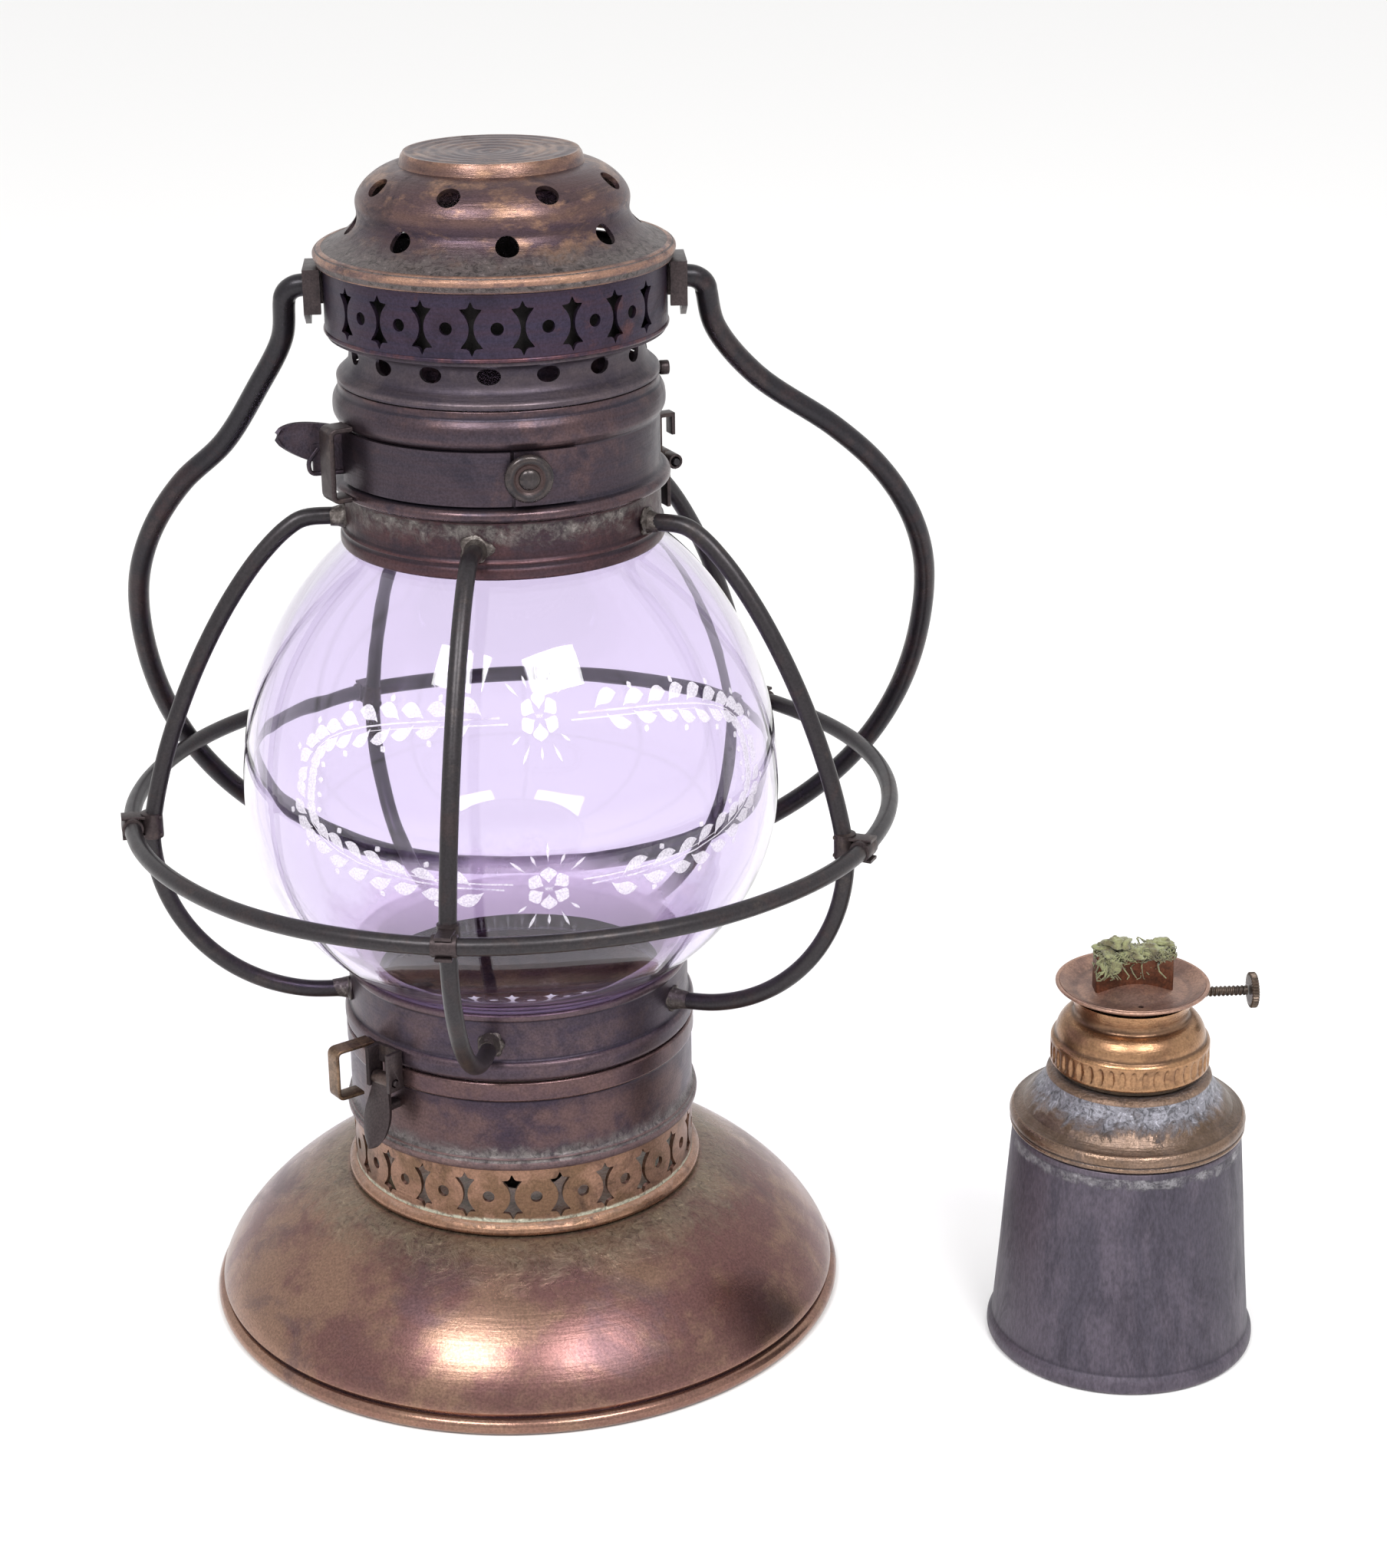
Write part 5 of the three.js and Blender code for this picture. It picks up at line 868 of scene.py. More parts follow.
def make_paints():
    """Every material of the lamp and its font, from the finishes the user can change."""
    c = bpy.context.scene.lamp_finishes
    Paints.groups.update(patina=patina_group(), turning=turning_group(), smear=smear_group())
    Paints.kept.update(
        glass=glass_material(c.glass), frost=frost_material(), haze=haze_material(),
        cement=dull_material("globe_cement", "c4b9a8", "a98f74", 300.0),
        cork=dull_material("cork_gasket", "4f3f30", "2e251d", 500.0),
        cotton=dull_material("wick_cotton", c.cotton, "564c36", 420.0, 1.0, 0.0003, 0.3),
        charred=dull_material("wick_strip_cotton", "8b8663", "4a4632", 900.0, 1.0, 0.0003, 0.3))
    # painted shade: the near-black material of the sleeve behind the gallery, standing in for the shade inside the lid
    aged_metal("painted_shade_black", "241f1e", "191617", c.gallery_shade_black, 60.0, 0.5, 0.5, 0.8, 0.2)
    aged_metal("dome_bronze", "92715d", "463841", "292430", 30.0, 0.53, 0.95, 0.36, 0.85,
               streaks=0.55, fineness=520.0, streak_colour="574442", bump=0.0001, stretch=2.4,
               smear=(236.0, 251.0, 0.95, "58504f", 0.6, 5.0, 7.0))
    aged_metal("gallery_brass", "4b3135", "2f293a", "1c1926", 40.0, 0.6, 0.5, 0.38, 0.75,
               streaks=0.12, streak_colour=c.oxblood)
    aged_metal("neck_brass", "50464a", "3b343d", "2b2532", 26.0, 0.5, 0.5, 0.42, 0.7,
               streaks=0.4, fineness=420.0, streak_colour="584d52")
    aged_metal("lid_brass", "4f3e40", "38313a", "272530", 30.0, 0.56, 0.6, 0.36, 0.78,
               streaks=0.2, streak_colour="553e3d")
    aged_metal("ring_brass", "432f33", "332830", "221e27", 44.0, 0.5, 0.5, 0.4, 0.75,
               streaks=0.15, streak_colour=c.oxblood, smear=(188.5, 200.0, 0.5, "66605d", 0.2, 4.0, 12.0))
    aged_metal("lower_brass", "514247", "3e3541", "2d2835", 30.0, 0.5, 0.5, 0.38, 0.78,
               streaks=0.2, streak_colour="514441")
    aged_metal("collar_brass", "5a4645", "3e333d", "2c2735", 24.0, 0.5, 0.5, 0.34, 0.82,
               streaks=0.2, streak_colour="503b40", smear=(44.0, 54.0, 0.6, "625b5a", 0.3, 4.0, 8.0))
    aged_metal("band_gold", "8b6b5a", "6c5442", "3c2f2e", 40.0, 0.5, 0.6, 0.34, 0.88,
               streaks=0.25, streak_colour="7c5d4b",
               smear=(33.2, 35.2, 0.66, "a2a190", 0.1, 0.8, 2.0))
    aged_metal("bell_bronze", "86695a", "6c4d4b", "514149", 17.0, 0.5, 0.55, 0.27, 0.9,
               streaks=0.1, fineness=260.0, streak_colour="735f52", bump=0.00005,
               smear=(24.0, 40.0, 0.7, "746856", 0.6, 9.0, 14.0))
    aged_metal("seat_brass", "b8b09a", "a08c74", "8f9682", 40.0, 0.5, 0.6, 0.55, 0.1)
    aged_metal("black_wire", "37302f", "282427", "3c2a28", 60.0, 0.6, 0.3, 0.34, 0.5)
    aged_metal("bail_rod", "2f2628", "201d22", "3a2425", 45.0, 0.55, 0.35, 0.3, 0.55)
    aged_metal("solder", "77706c", "4c4542", "302b2b", 160.0, 0.55, 0.6, 0.42, 0.7,
               bump=0.0003)
    aged_metal("fitting_brass", "4d413d", "3b3233", "241f22", 90.0, 0.58, 0.5, 0.4, 0.7)
    aged_metal("loop_brass", "7a6350", "574537", "30282a", 90.0, 0.5, 0.5, 0.36, 0.85)
    aged_metal("tank_zinc", "4f4853", "413c47", "322d37", 46.0, 0.5, 0.6, 0.5, 0.5, FONT,
               bump=0.00012, stretch=0.35, smear=(48.6, 51.6, 0.5, "8a878b", 0.4, 1.0, 4.0))
    aged_metal("shoulder_brass", "786457", "5c4a3b", "3e393b", 45.0, 0.5, 0.4, 0.34, 0.85,
               FONT, streaks=0.25, fineness=500.0, smear=(59.0, 72.0, 0.68, "8b8a92", 0.8, 3.0, 10.0),
               bump=0.00018)
    aged_metal("burner_gold", "977456", "795a44", "42322a", 60.0, 0.46, 0.5, 0.3, 0.92, FONT,
               streaks=0.35, fineness=900.0, streak_colour="9f7b5f")
    aged_metal("draft_copper", "9c7c6c", "7f655c", "574947", 60.0, 0.5, 0.4, 0.42, 0.8, FONT,
               streaks=0.3, fineness=900.0, streak_colour="8e7166")
    aged_metal("tube_copper", "6b4433", "51362a", "30241f", 120.0, 0.5, 0.5, 0.42, 0.75, FONT)
    aged_metal("shaft_steel", "54483f", "3d3530", "262120", 200.0, 0.5, 0.5, 0.4, 0.7, FONT)


# ---------------------------------------------------------------- base
class LAMP_OT_bell(bpy.types.Operator):
    """Build the bell: a superellipse from its shoulder to its edge, over a rolled rim"""
    bl_idname = "lamp.bell"
    bl_label = "Bell"

    def execute(self, context):
        s = context.scene.lamp_base
        rim, roll, top, shoulder = (v / MM for v in (s.rim_radius, s.rim_roll, s.bell_top, s.bell_shoulder))
        across, up = quarter(40, s.bell_fullness)
        edge, edge_z = rim - 1.4, 5.0
        face = np.column_stack([shoulder + (edge - shoulder) * across, edge_z + (top - edge_z) * up])
        turn = np.linspace(0.55 * math.pi, -0.62 * math.pi, 18)
        half = roll / 2
        curl = np.column_stack([rim - half + half * np.cos(turn), half + half * np.sin(turn)])
        face = np.vstack([curl[::-1], face, [[39.6, top], [37.5, top]]])
        back = inset(face[17:], 1.0)
        outline = np.vstack([face, back[::-1], [[rim - half * 1.7, half * 1.1], [rim - half * 1.5, 0.5]]])
        dents = lambda azimuth, r, z: (0.12 * np.sin(2 * azimuth + 1)
                                       * (z / top)).clip(-0.12, 0.12) * (r > 45)
        as_object("bell_shell", turned(eased(outline, 0.3, 3), 224, dents), Paints.kept["bell_bronze"],
                  "base",
                  ("bell",))
        return {"FINISHED"}


class LAMP_OT_base_bands(bpy.types.Operator):
    """Build the pierced band, the collar and the seat that the font stands in"""
    bl_idname = "lamp.base_bands"
    bl_label = "Base bands"

    def execute(self, context):
        s = context.scene.lamp_base
        radius, top, count = s.band_radius / MM, s.band_top / MM, s.rosettes
        foot = s.bell_top / MM + 0.3
        pitch, first = 360 / count, math.degrees(s.rosette_turn)
        width = pitch * math.pi / 180 * radius
        low = foot + 2.8
        profile = spaced(np.array([[radius, low], [radius, top]]), 1.7, closed=False)
        middle = (top - low) / 2 - 0.1
        cuts = [(first + i * pitch, middle, ellipse(1.35, 1.35, 20)) for i in range(count)]
        cuts += [(first + (i + 0.5) * pitch, middle, star_cut(width)) for i in range(count)]
        band = pierced(profile, 0.9, cuts, 230, first + 2.3 / radius * 180 / math.pi)
        outer = radius + 1.7
        bead = [[radius - 0.9, foot], [outer - 0.5, foot], [outer, foot + 0.8], [outer - 0.1, foot + 1.6],
                [outer - 0.7, foot + 2.4], [radius + 0.25, foot + 2.9], [radius - 0.9, foot + 2.9]]
        as_object("pierced_band", [band, turned(eased(bead, 0.7, 5), 200)], Paints.kept["band_gold"], "base",
                  ("base_band",))
        wall, high = s.collar_radius / MM, s.collar_top / MM
        bead_top = top + 3.5
        section = [[38.3, top + 0.3], [40.0, top + 0.3], [40.4, top + 1.1], [40.4, top + 2.0],
                   [39.9, top + 2.5],
                   [39.9, top + 2.8], [40.1, top + 3.1], [wall, bead_top + 0.2], [wall, high - 4.7],
                   [39.75, high - 4.2], [39.75, high - 0.4], [39.4, high], [38.3, high]]
        as_object("base_collar_shell", turned(spaced(eased(section, 0.5, 4), 4), 200),
                  Paints.kept["collar_brass"],
                  "base", ("base_collar",))
        floor = s.bell_top / MM - 4.4
        seat = [[9, floor - 1], [36.9, floor - 1], [36.9, 32.4], [38.0, 32.4], [38.0, 33.4], [36.0, 33.4],
                [36.0, floor], [32.2, floor], [32.2, floor + 3], [31.2, floor + 3], [31.2, floor], [9, floor]]
        as_object("font_seat_shell", turned(spaced(eased(seat, 0.4, 3), 4), 160), Paints.kept["seat_brass"],
                  "base",
                  ("font_seat",))
        return {"FINISHED"}


# ---------------------------------------------------------------- cage
def globe_radius(z):
    """Radius of the glass: a superellipse above and another below its widest height, cut off at foot and mouth."""
    s = bpy.context.scene.lamp_cage
    widest, middle = s.globe_radius / MM, s.globe_height / MM
    upper = z > middle
    away = (np.abs(z - middle) / np.where(upper, 67.5, 50.5)).clip(0, 1)
    full = np.where(upper, 2.0, 2.2)
    return np.maximum(widest * (1 - away ** full) ** (1 / full), np.where(upper, 31.8, 35.5))


def on_globe(across, up, proud):
    """Points on the glass from an azimuth in degrees and a height, standing proud by a little."""
    turn = np.radians(across)
    r = globe_radius(up) + proud
    return np.stack([r * np.sin(turn), -r * np.cos(turn), up], axis=-1) + LAMP


class LAMP_OT_globe(bpy.types.Operator):
    """Build the glass globe and the cement that holds it"""
    bl_idname = "lamp.globe"
    bl_label = "Globe"

    def execute(self, context):
        s = context.scene.lamp_cage
        z = np.r_[np.linspace(72.5, 84, 8), 126 - 42 * np.cos(np.linspace(0.08, 1, 40) * math.pi / 2),
                  126 + 59 * np.sin(np.linspace(0.03, 1, 44) * math.pi / 2), np.linspace(186, 190, 4)]
        outer = np.column_stack([globe_radius(z), z])
        soft = outer.copy()
        for _ in range(6):
            soft[1:-1, 0] = (soft[:-2, 0] + 2 * soft[1:-1, 0] + soft[2:, 0]) / 4
        inner = inset(soft, s.glass / MM)
        section = np.vstack([soft, inner[::-1]])
        as_object("glass_globe", turned(section, 200), Paints.kept["glass"], "cage",
                  ("globe",), 60)
        up = np.linspace(77, 96, 30)
        inside = np.interp(up, inner[:, 1], inner[:, 0]) - 0.12
        haze = np.vstack([np.column_stack([inside, up]), np.column_stack([inside - 0.06, up])[::-1]])
        as_object("glass_haze", turned(haze, 160), Paints.kept["haze"], "cage")
        for name, bore, wall, foot, node in (("cement_foot", 35.75, 37.6, 76, "globe_seal_lower"),
                                             ("cement_mouth", 32.0, 33.4, 184.2, "globe_seal_upper")):
            ragged = lambda azimuth, r, z_: 0.12 * np.sin(23 * azimuth) * np.sin(7 * azimuth + z_)
            ring = [[bore, foot], [wall, foot], [wall, foot + 6], [bore, foot + 6]]
            as_object(name, turned(spaced(eased(ring, 0.5, 4), 1), 200, ragged), Paints.kept["cement"],
                      "cage",
                      (node,))
        return {"FINISHED"}


def leaf_shells(centres, widths):
    """Flat shapes on the glass, all at once: each is a line of points with a half width along it, closed over as a
    thin lens. Centres are (shape, step, 2) in millimetres along and up, from the wreath's middle."""
    s = bpy.context.scene.lamp_cage
    sides = 8
    along = unit(np.gradient(centres, axis=1))
    across = np.stack([-along[..., 1], along[..., 0]], axis=-1)
    turn = np.arange(sides) * 2 * math.pi / sides
    flat = centres[:, :, None] + (widths[..., None] * np.cos(turn))[..., None] * across[:, :, None]
    rise = 0.02 + 0.05 * np.sin(turn)
    widest = s.globe_radius / MM
    azimuth = math.degrees(s.wreath_turn) + flat[..., 0] / widest * 180 / math.pi
    points = on_globe(azimuth, s.wreath_height / MM + flat[..., 1], rise)
    shells = []
    count, steps = points.shape[:2]
    for i in range(count):
        grid, faces = capped(points[i].reshape(-1, 3), quads(steps, sides, False, True), steps, sides)
        shells.append(shell(grid, faces))
    return shells


class LAMP_OT_wreath(bpy.types.Operator):
    """Build the engraved wreath: two flowers, four sprays of leaves round an oval, and small rays and buds"""
    bl_idname = "lamp.wreath"
    bl_label = "Wreath"

    def execute(self, context):
        s = context.scene.lamp_cage
        wide = s.globe_radius / MM * s.wreath_half_width
        high = s.wreath_half_height / MM
        step = shares(9)
        lines, widths = [], []

        def oval(t):
            """Point on the wreath's oval, from nought at a flower to one at the end."""
            turn = t * math.pi / 2
            x, y = wide * np.sin(turn) ** 0.92, high * np.cos(turn).clip(0) ** 0.62
            return np.array([x, y])

        def stroke(line, half_widths):
            """Keeps one shape: its middle line and the half width along it."""
            lines.append(line)
            widths.append(half_widths)

        def blade(root, heading, size, breadth, curl, lobed=True):
            """A flame-shaped leaf: its middle line bends by the curl, and it is fullest past its middle."""
            bend = heading + curl * (step - 0.3)
            line = root + np.cumsum(np.column_stack([np.cos(bend), np.sin(bend)]), axis=0) * size / len(step)
            stroke(line, breadth * np.sin(math.pi * step ** (1.35 if lobed else 1.0)).clip(0.04))

        for right in (1, -1):
            for upper in (1, -1):
                flip = np.array([right, upper])
                stem = np.array([oval(t) for t in np.linspace(0.09, 0.93, 9)])
                stroke(stem * flip, np.linspace(0.22, 0.1, 9))
                second = np.array([oval(t) * [1, 0.93] for t in np.linspace(0.07, 0.5, 9)])
                stroke(second * flip, np.linspace(0.18, 0.06, 9))
                for k, t in enumerate(np.linspace(0.13, 0.95, 11)):
                    here, ahead = oval(t), oval(min(t + 0.02, 1.0))
                    way = math.atan2(*(ahead - here)[::-1])
                    size = 7.8 - 3.0 * t
                    for outer in (1, -1):
                        root = oval(t if outer == 1 else min(t + 0.03, 1.0))
                        lean = way + outer * (0.62 + 0.12 * math.sin(5 * k))
                        heading = math.atan2(upper * math.sin(lean), right * math.cos(lean))
                        curl = -outer * 0.9 * right * upper
                        blade(root * flip, heading, size, 1.5 if outer == 1 else 1.25, curl)
                        if k % 2:
                            bud = root + 4.6 * np.array([math.cos(lean + outer * 0.5),
                                                         math.sin(lean + outer * 0.5)])
                            blade(bud * flip, heading, 1.5, 0.75, 0.0, False)
        for upper in (1, -1):
            heart = np.array([0.0, high * upper])
            for k in range(6):
                turn = k * math.pi / 3 + math.pi / 6
                blade(heart + 0.9 * np.array([math.cos(turn), math.sin(turn)]), turn, 3.9, 1.75, 0.0)
            for k in range(14):
                turn = (k + 0.5) * 2 * math.pi / 14
                if abs(math.sin(turn)) < 0.35:
                    continue
                reach = 3.0 + 1.7 * (k % 2)
                blade(heart + 5.4 * np.array([math.cos(turn), math.sin(turn)]), turn, reach, 0.32, 0.0)
            for k in (-1, 0, 1):
                blade(heart + [k * 0.5 - 0.6, -0.7], 0.8, 1.6, 0.1, 0.0)
                blade(heart + [k * 0.5 + 0.6, -0.7], math.pi - 0.8, 1.6, 0.1, 0.0)
        shells = leaf_shells(np.array(lines), np.array(widths))
        as_object("engraved_wreath", shells, Paints.kept["frost"], "cage", (), 60)
        return {"FINISHED"}


def wire_path():
    """One cage wire in its own upright plane, from the lower ring to the upper: (outwards, 0, up)."""
    bulge = bpy.context.scene.lamp_cage.wire_bulge / MM
    drop, out = quarter(9, 2.0)
    lower = np.column_stack([41 + (bulge - 41) * out, 0 * out, 118 - 40.2 * drop])
    out, rise = quarter(9, 1.42)
    upper = np.column_stack([43 + (bulge - 43) * out, 0 * out, 118 + 70.4 * rise])
    return smooth_through(np.vstack([[37.6, 0, 77.8], lower, upper[1:], [33.9, 0, 188.4]]), 7)


class LAMP_OT_cage_wires(bpy.types.Operator):
    """Build the five wires with solder at both ends, the guard ring, and the clips where they cross"""
    bl_idname = "lamp.cage_wires"
    bl_label = "Cage wires"

    def execute(self, context):
        s = context.scene.lamp_cage
        thick, bulge, guard_z = s.wire_radius / MM, s.wire_bulge / MM, s.guard_height / MM
        guard = bulge + 2 * thick + 0.3
        path = wire_path()
        for i in range(s.wires):
            azimuth = math.degrees(s.wire_turn) + i * 360 / s.wires
            wander = 0.16 * np.sin(np.linspace(0, 9, len(path)) + 2 * i)
            bent = path + np.column_stack([wander * 0, wander, wander * 0])
            wire = placed(swept(bent, rounded_ends(thick, path, 0.6), 16), azimuth)
            as_object(f"cage_wire_{i + 1}", wire, Paints.kept["black_wire"], "cage",
                      (f"wire_{i + 1}",))
            foot = swept([[38.2, 0, 77.8], [39.2, 0, 77.8], [40.6, 0, 77.9], [42.6, 0, 78.0]],
                         [2.7, 2.5, 2.2, 1.93], 20)
            head = swept([[33.9, 0, 188.4], [34.8, 0, 188.4], [36.0, 0, 188.4], [37.6, 0, 188.3]],
                         [2.9, 2.6, 2.2, 1.95], 20)
            lumps = [placed(blob((38.6, 0.4, 77.6), (1.2, 3.0, 2.8), i, 0.2), azimuth), placed(foot, azimuth),
                     placed(blob((34.4, -0.3, 188.6), (1.0, 3.4, 3.0), i + 3, 0.2), azimuth),
                     placed(head, azimuth)]
            as_object(f"wire_solder_{i + 1}", lumps, Paints.kept["solder"], "cage")
            turn = np.radians(np.linspace(-2.1, 2.1, 13))
            along = np.column_stack([guard * np.cos(turn), guard * np.sin(turn), np.full(13, guard_z)])
            wrap = swept(along, rounded_ends(2.42, along, 0.7), 20, (0, 0, 1))
            up = np.linspace(guard_z - 3.4, guard_z + 3.4, 13)
            upright = np.column_stack([np.interp(up, path[:60, 2], path[:60, 0]), 0 * up, up])
            sleeve = swept(upright, rounded_ends(2.4, upright, 0.7), 20)
            tie = [[bulge - 2.3, guard_z + 2.0], [guard + 2.3, guard_z + 2.3]]
            tied = [placed(strap(tie, 3.6, 0.7), azimuth),
                    placed(strap([[bulge - 2.3, guard_z - 2.0], [guard + 2.3, guard_z - 2.3]], 3.6, 0.7),
                           azimuth)]
            as_object(f"wire_clip_{i + 1}", [placed(wrap, azimuth), placed(sleeve, azimuth), *tied],
                      Paints.kept["fitting_brass"], "cage", (f"clip_{i + 1}",))
        turn = np.arange(240) * 2 * math.pi / 240
        wave = 0.1 * np.sin(5 * turn) + 0.06 * np.sin(11 * turn)
        ring = np.column_stack([guard * np.sin(turn), -guard * np.cos(turn), guard_z + wave]) + LAMP
        as_object("guard_ring_rod", swept(ring, thick, 16, (0, 0, 1), closed=True), Paints.kept["black_wire"],
                  "cage",
                  ("guard_ring",))
        return {"FINISHED"}


class LAMP_OT_cage_rings(bpy.types.Operator):
    """Build the rings that hold the globe below and above"""
    bl_idname = "lamp.cage_rings"
    bl_label = "Cage rings"

    def execute(self, context):
        lower = [[37.8, 68.66], [38.9, 68.66], [39.7, 69.4], [39.9, 70.6], [39.9, 72.2], [39.5, 73.1],
                 [38.7, 73.6],
                 [38.6, 74.4], [38.6, 82.8], [38.9, 83.3], [38.9, 84.2], [38.5, 84.6], [37.8, 84.6]]
        as_object("lower_ring_shell", turned(spaced(eased(lower, 0.5, 4), 4), 200),
                  Paints.kept["lower_brass"],
                  "cage", ("lower_ring",))
        upper = [[33.6, 182], [34.9, 182], [35.2, 182.5], [35.2, 184.0], [34.8, 184.7], [34.8, 185.2],
                 [35.0, 185.6],
                 [34.4, 186.3], [34.3, 193.4], [34.3, 194.2], [33.6, 194.2]]
        warp = lambda azimuth, r, z: 0.1 * np.sin(3 * azimuth + 0.5)
        as_object("upper_ring_shell", turned(spaced(eased(upper, 0.45, 4), 3), 200, warp),
                  Paints.kept["ring_brass"], "cage", ("upper_ring",))
        return {"FINISHED"}


# ---------------------------------------------------------------- lid
class LAMP_OT_lid_body(bpy.types.Operator):
    """Build the lid's collar with its rolls, the pierced neck and the pierced gallery, with a near-black sleeve of
    painted shade behind the gallery
    """
    bl_idname = "lamp.lid_body"
    bl_label = "Lid body"

    def execute(self, context):
        s = context.scene.lamp_lid
        wall = s.collar_radius / MM
        collar = [[33.4, 194.5], [35.6, 194.5], [36.4, 195.1], [36.4, 196.3], [35.8, 197.0],
                  [wall + 0.2, 197.5],
                  [wall, 198.2], [wall, 209.2], [34.9, 209.9], [35.5, 211.0], [35.6, 212.6], [35.4, 214.2],
                  [34.8, 215.3], [wall, 215.9], [wall, 217.6], [33.4, 217.6]]
        as_object("lid_collar_shell", turned(spaced(eased(collar, 0.7, 5), 4), 200), Paints.kept["lid_brass"],
                  "cage", ("lid_collar",))
        waist = s.neck_radius / MM
        profile = np.array([[wall + 0.1, 217.9], [wall + 0.1, 218.8], [33.3, 219.9], [32.2, 221.0],
                            [waist, 222.4],
                            [waist, 225.2], [32.4, 226.3], [33.8, 226.9], [35.9, 227.4]])
        profile = spaced(smooth_through(profile, 4), 0.9, closed=False)
        along = distances(profile)
        place = float(np.interp(224.3, profile[:, 1], along))
        pitch = 360 / s.neck_holes
        cuts = [(-3.7 + i * pitch, place, ellipse(2.5, 1.8, 24)) for i in range(s.neck_holes)]
        as_object("lid_neck_shell", pierced(profile, 0.9, cuts, 200, -3.7 + pitch / 2),
                  Paints.kept["neck_brass"],
                  "cage", ("lid_neck",))
        radius = s.gallery_radius / MM
        low, high = 228.2, 242.1
        pitch = math.degrees(s.gallery_pitch)
        width = pitch * math.pi / 180 * radius
        middle = (high - low) / 2
        cuts = []
        for side in (0, 180):
            for i in range(8):
                azimuth = side + (i - 3.5) * pitch
                cuts.append((azimuth, middle, star_cut(width)))
                if i < 7:
                    cuts.append((azimuth + pitch / 2, middle, ellipse(1.35, 1.35, 20)))
        profile = spaced(np.array([[radius, low], [radius, high]]), 1.7, closed=False)
        foot = [[radius - 0.9, low - 0.1], [radius + 0.1, low - 0.1], [radius + 0.35, low + 0.4],
                [radius + 0.1, low + 0.9], [radius - 0.9, low + 0.9]]
        as_object("gallery_shell", [pierced(profile, 0.9, cuts, 220, 90), turned(eased(foot, 0.3, 4), 200)],
                  Paints.kept["gallery_brass"], "cage", ("gallery_band",))
        # painted shade: a near-black sleeve just inside the gallery, put there to darken its holes where the lid's
        # inside is only in shade
        sleeve = [[32.4, 228.0], [33.0, 228.0], [33.0, 241.6], [32.4, 241.6]]
        as_object("gallery_shade_sleeve", turned(sleeve, 120), Paints.kept["painted_shade_black"], "cage")
        return {"FINISHED"}


class LAMP_OT_dome(bpy.types.Operator):
    """Build the dome: a rolled brim, a sweep to its waist, a bulging shoulder with two rows of holes, and a disc"""
    bl_idname = "lamp.dome"
    bl_label = "Dome"

    def execute(self, context):
        s = context.scene.lamp_lid
        brim, top, holes = s.brim_radius / MM, s.top / MM, s.dome_holes
        below, inward = quarter(14, 1.5)
        sweep = np.column_stack([37.3 - 8.9 * inward, 252.4 - 6.8 * below])
        out, up = quarter(14, 1.7)
        shoulder = np.column_stack([19.4 + 9.5 * out, 254.8 + 7.6 * up])
        face = np.vstack([sweep, shoulder])
        soft = spaced(face, 0.8, closed=False)
        for _ in range(4):
            soft[1:-1] = (soft[:-2] + 2 * soft[1:-1] + soft[2:]) / 4
        along = distances(soft)
        bulge = int(np.argmax(soft[:, 1] > 254.8))
        lower = float(np.interp(250.2, soft[:bulge, 1], along[:bulge]))
        upper = float(np.interp(259.6, soft[bulge:, 1], along[bulge:]))
        pitch = 360 / holes
        cuts = [(5 + i * pitch, lower, ellipse(2.45, 2.45, 28)) for i in range(holes)]
        cuts += [(25 + i * pitch, upper, ellipse(2.5, 2.5, 28)) for i in range(holes)]
        skin = pierced(soft, 1.0, cuts, 240, 5 + pitch / 4)
        edge = [[37.6, 245.3], [brim - 0.5, 245.4], [brim - 0.05, 244.9], [brim, 244.2], [brim - 0.3, 243.5],
                [brim - 0.5, 242.9], [brim - 0.7, 242.4], [36.5, 242.4], [36.3, 244.2], [36.2, 245.9],
                [37.2, 245.75]]
        grooves = np.linspace(18.4, 0, 60)
        dish = top - 0.5 * np.exp(-(grooves / 9.0) ** 2) - 0.12 * (1 - np.cos(grooves * 2.4)) / 2
        disc = np.vstack([np.column_stack([grooves, dish]), [[0, 263.2], [18.9, 261.6]],
                          [[19.5, 262.2], [19.2, 263.2], [18.95, 264.2]]])
        as_object("dome_shell", [skin, turned(eased(edge, 0.35, 4), 240), turned(disc, 200)],
                  Paints.kept["dome_bronze"], "cage", ("dome",), 50)
        return {"FINISHED"}


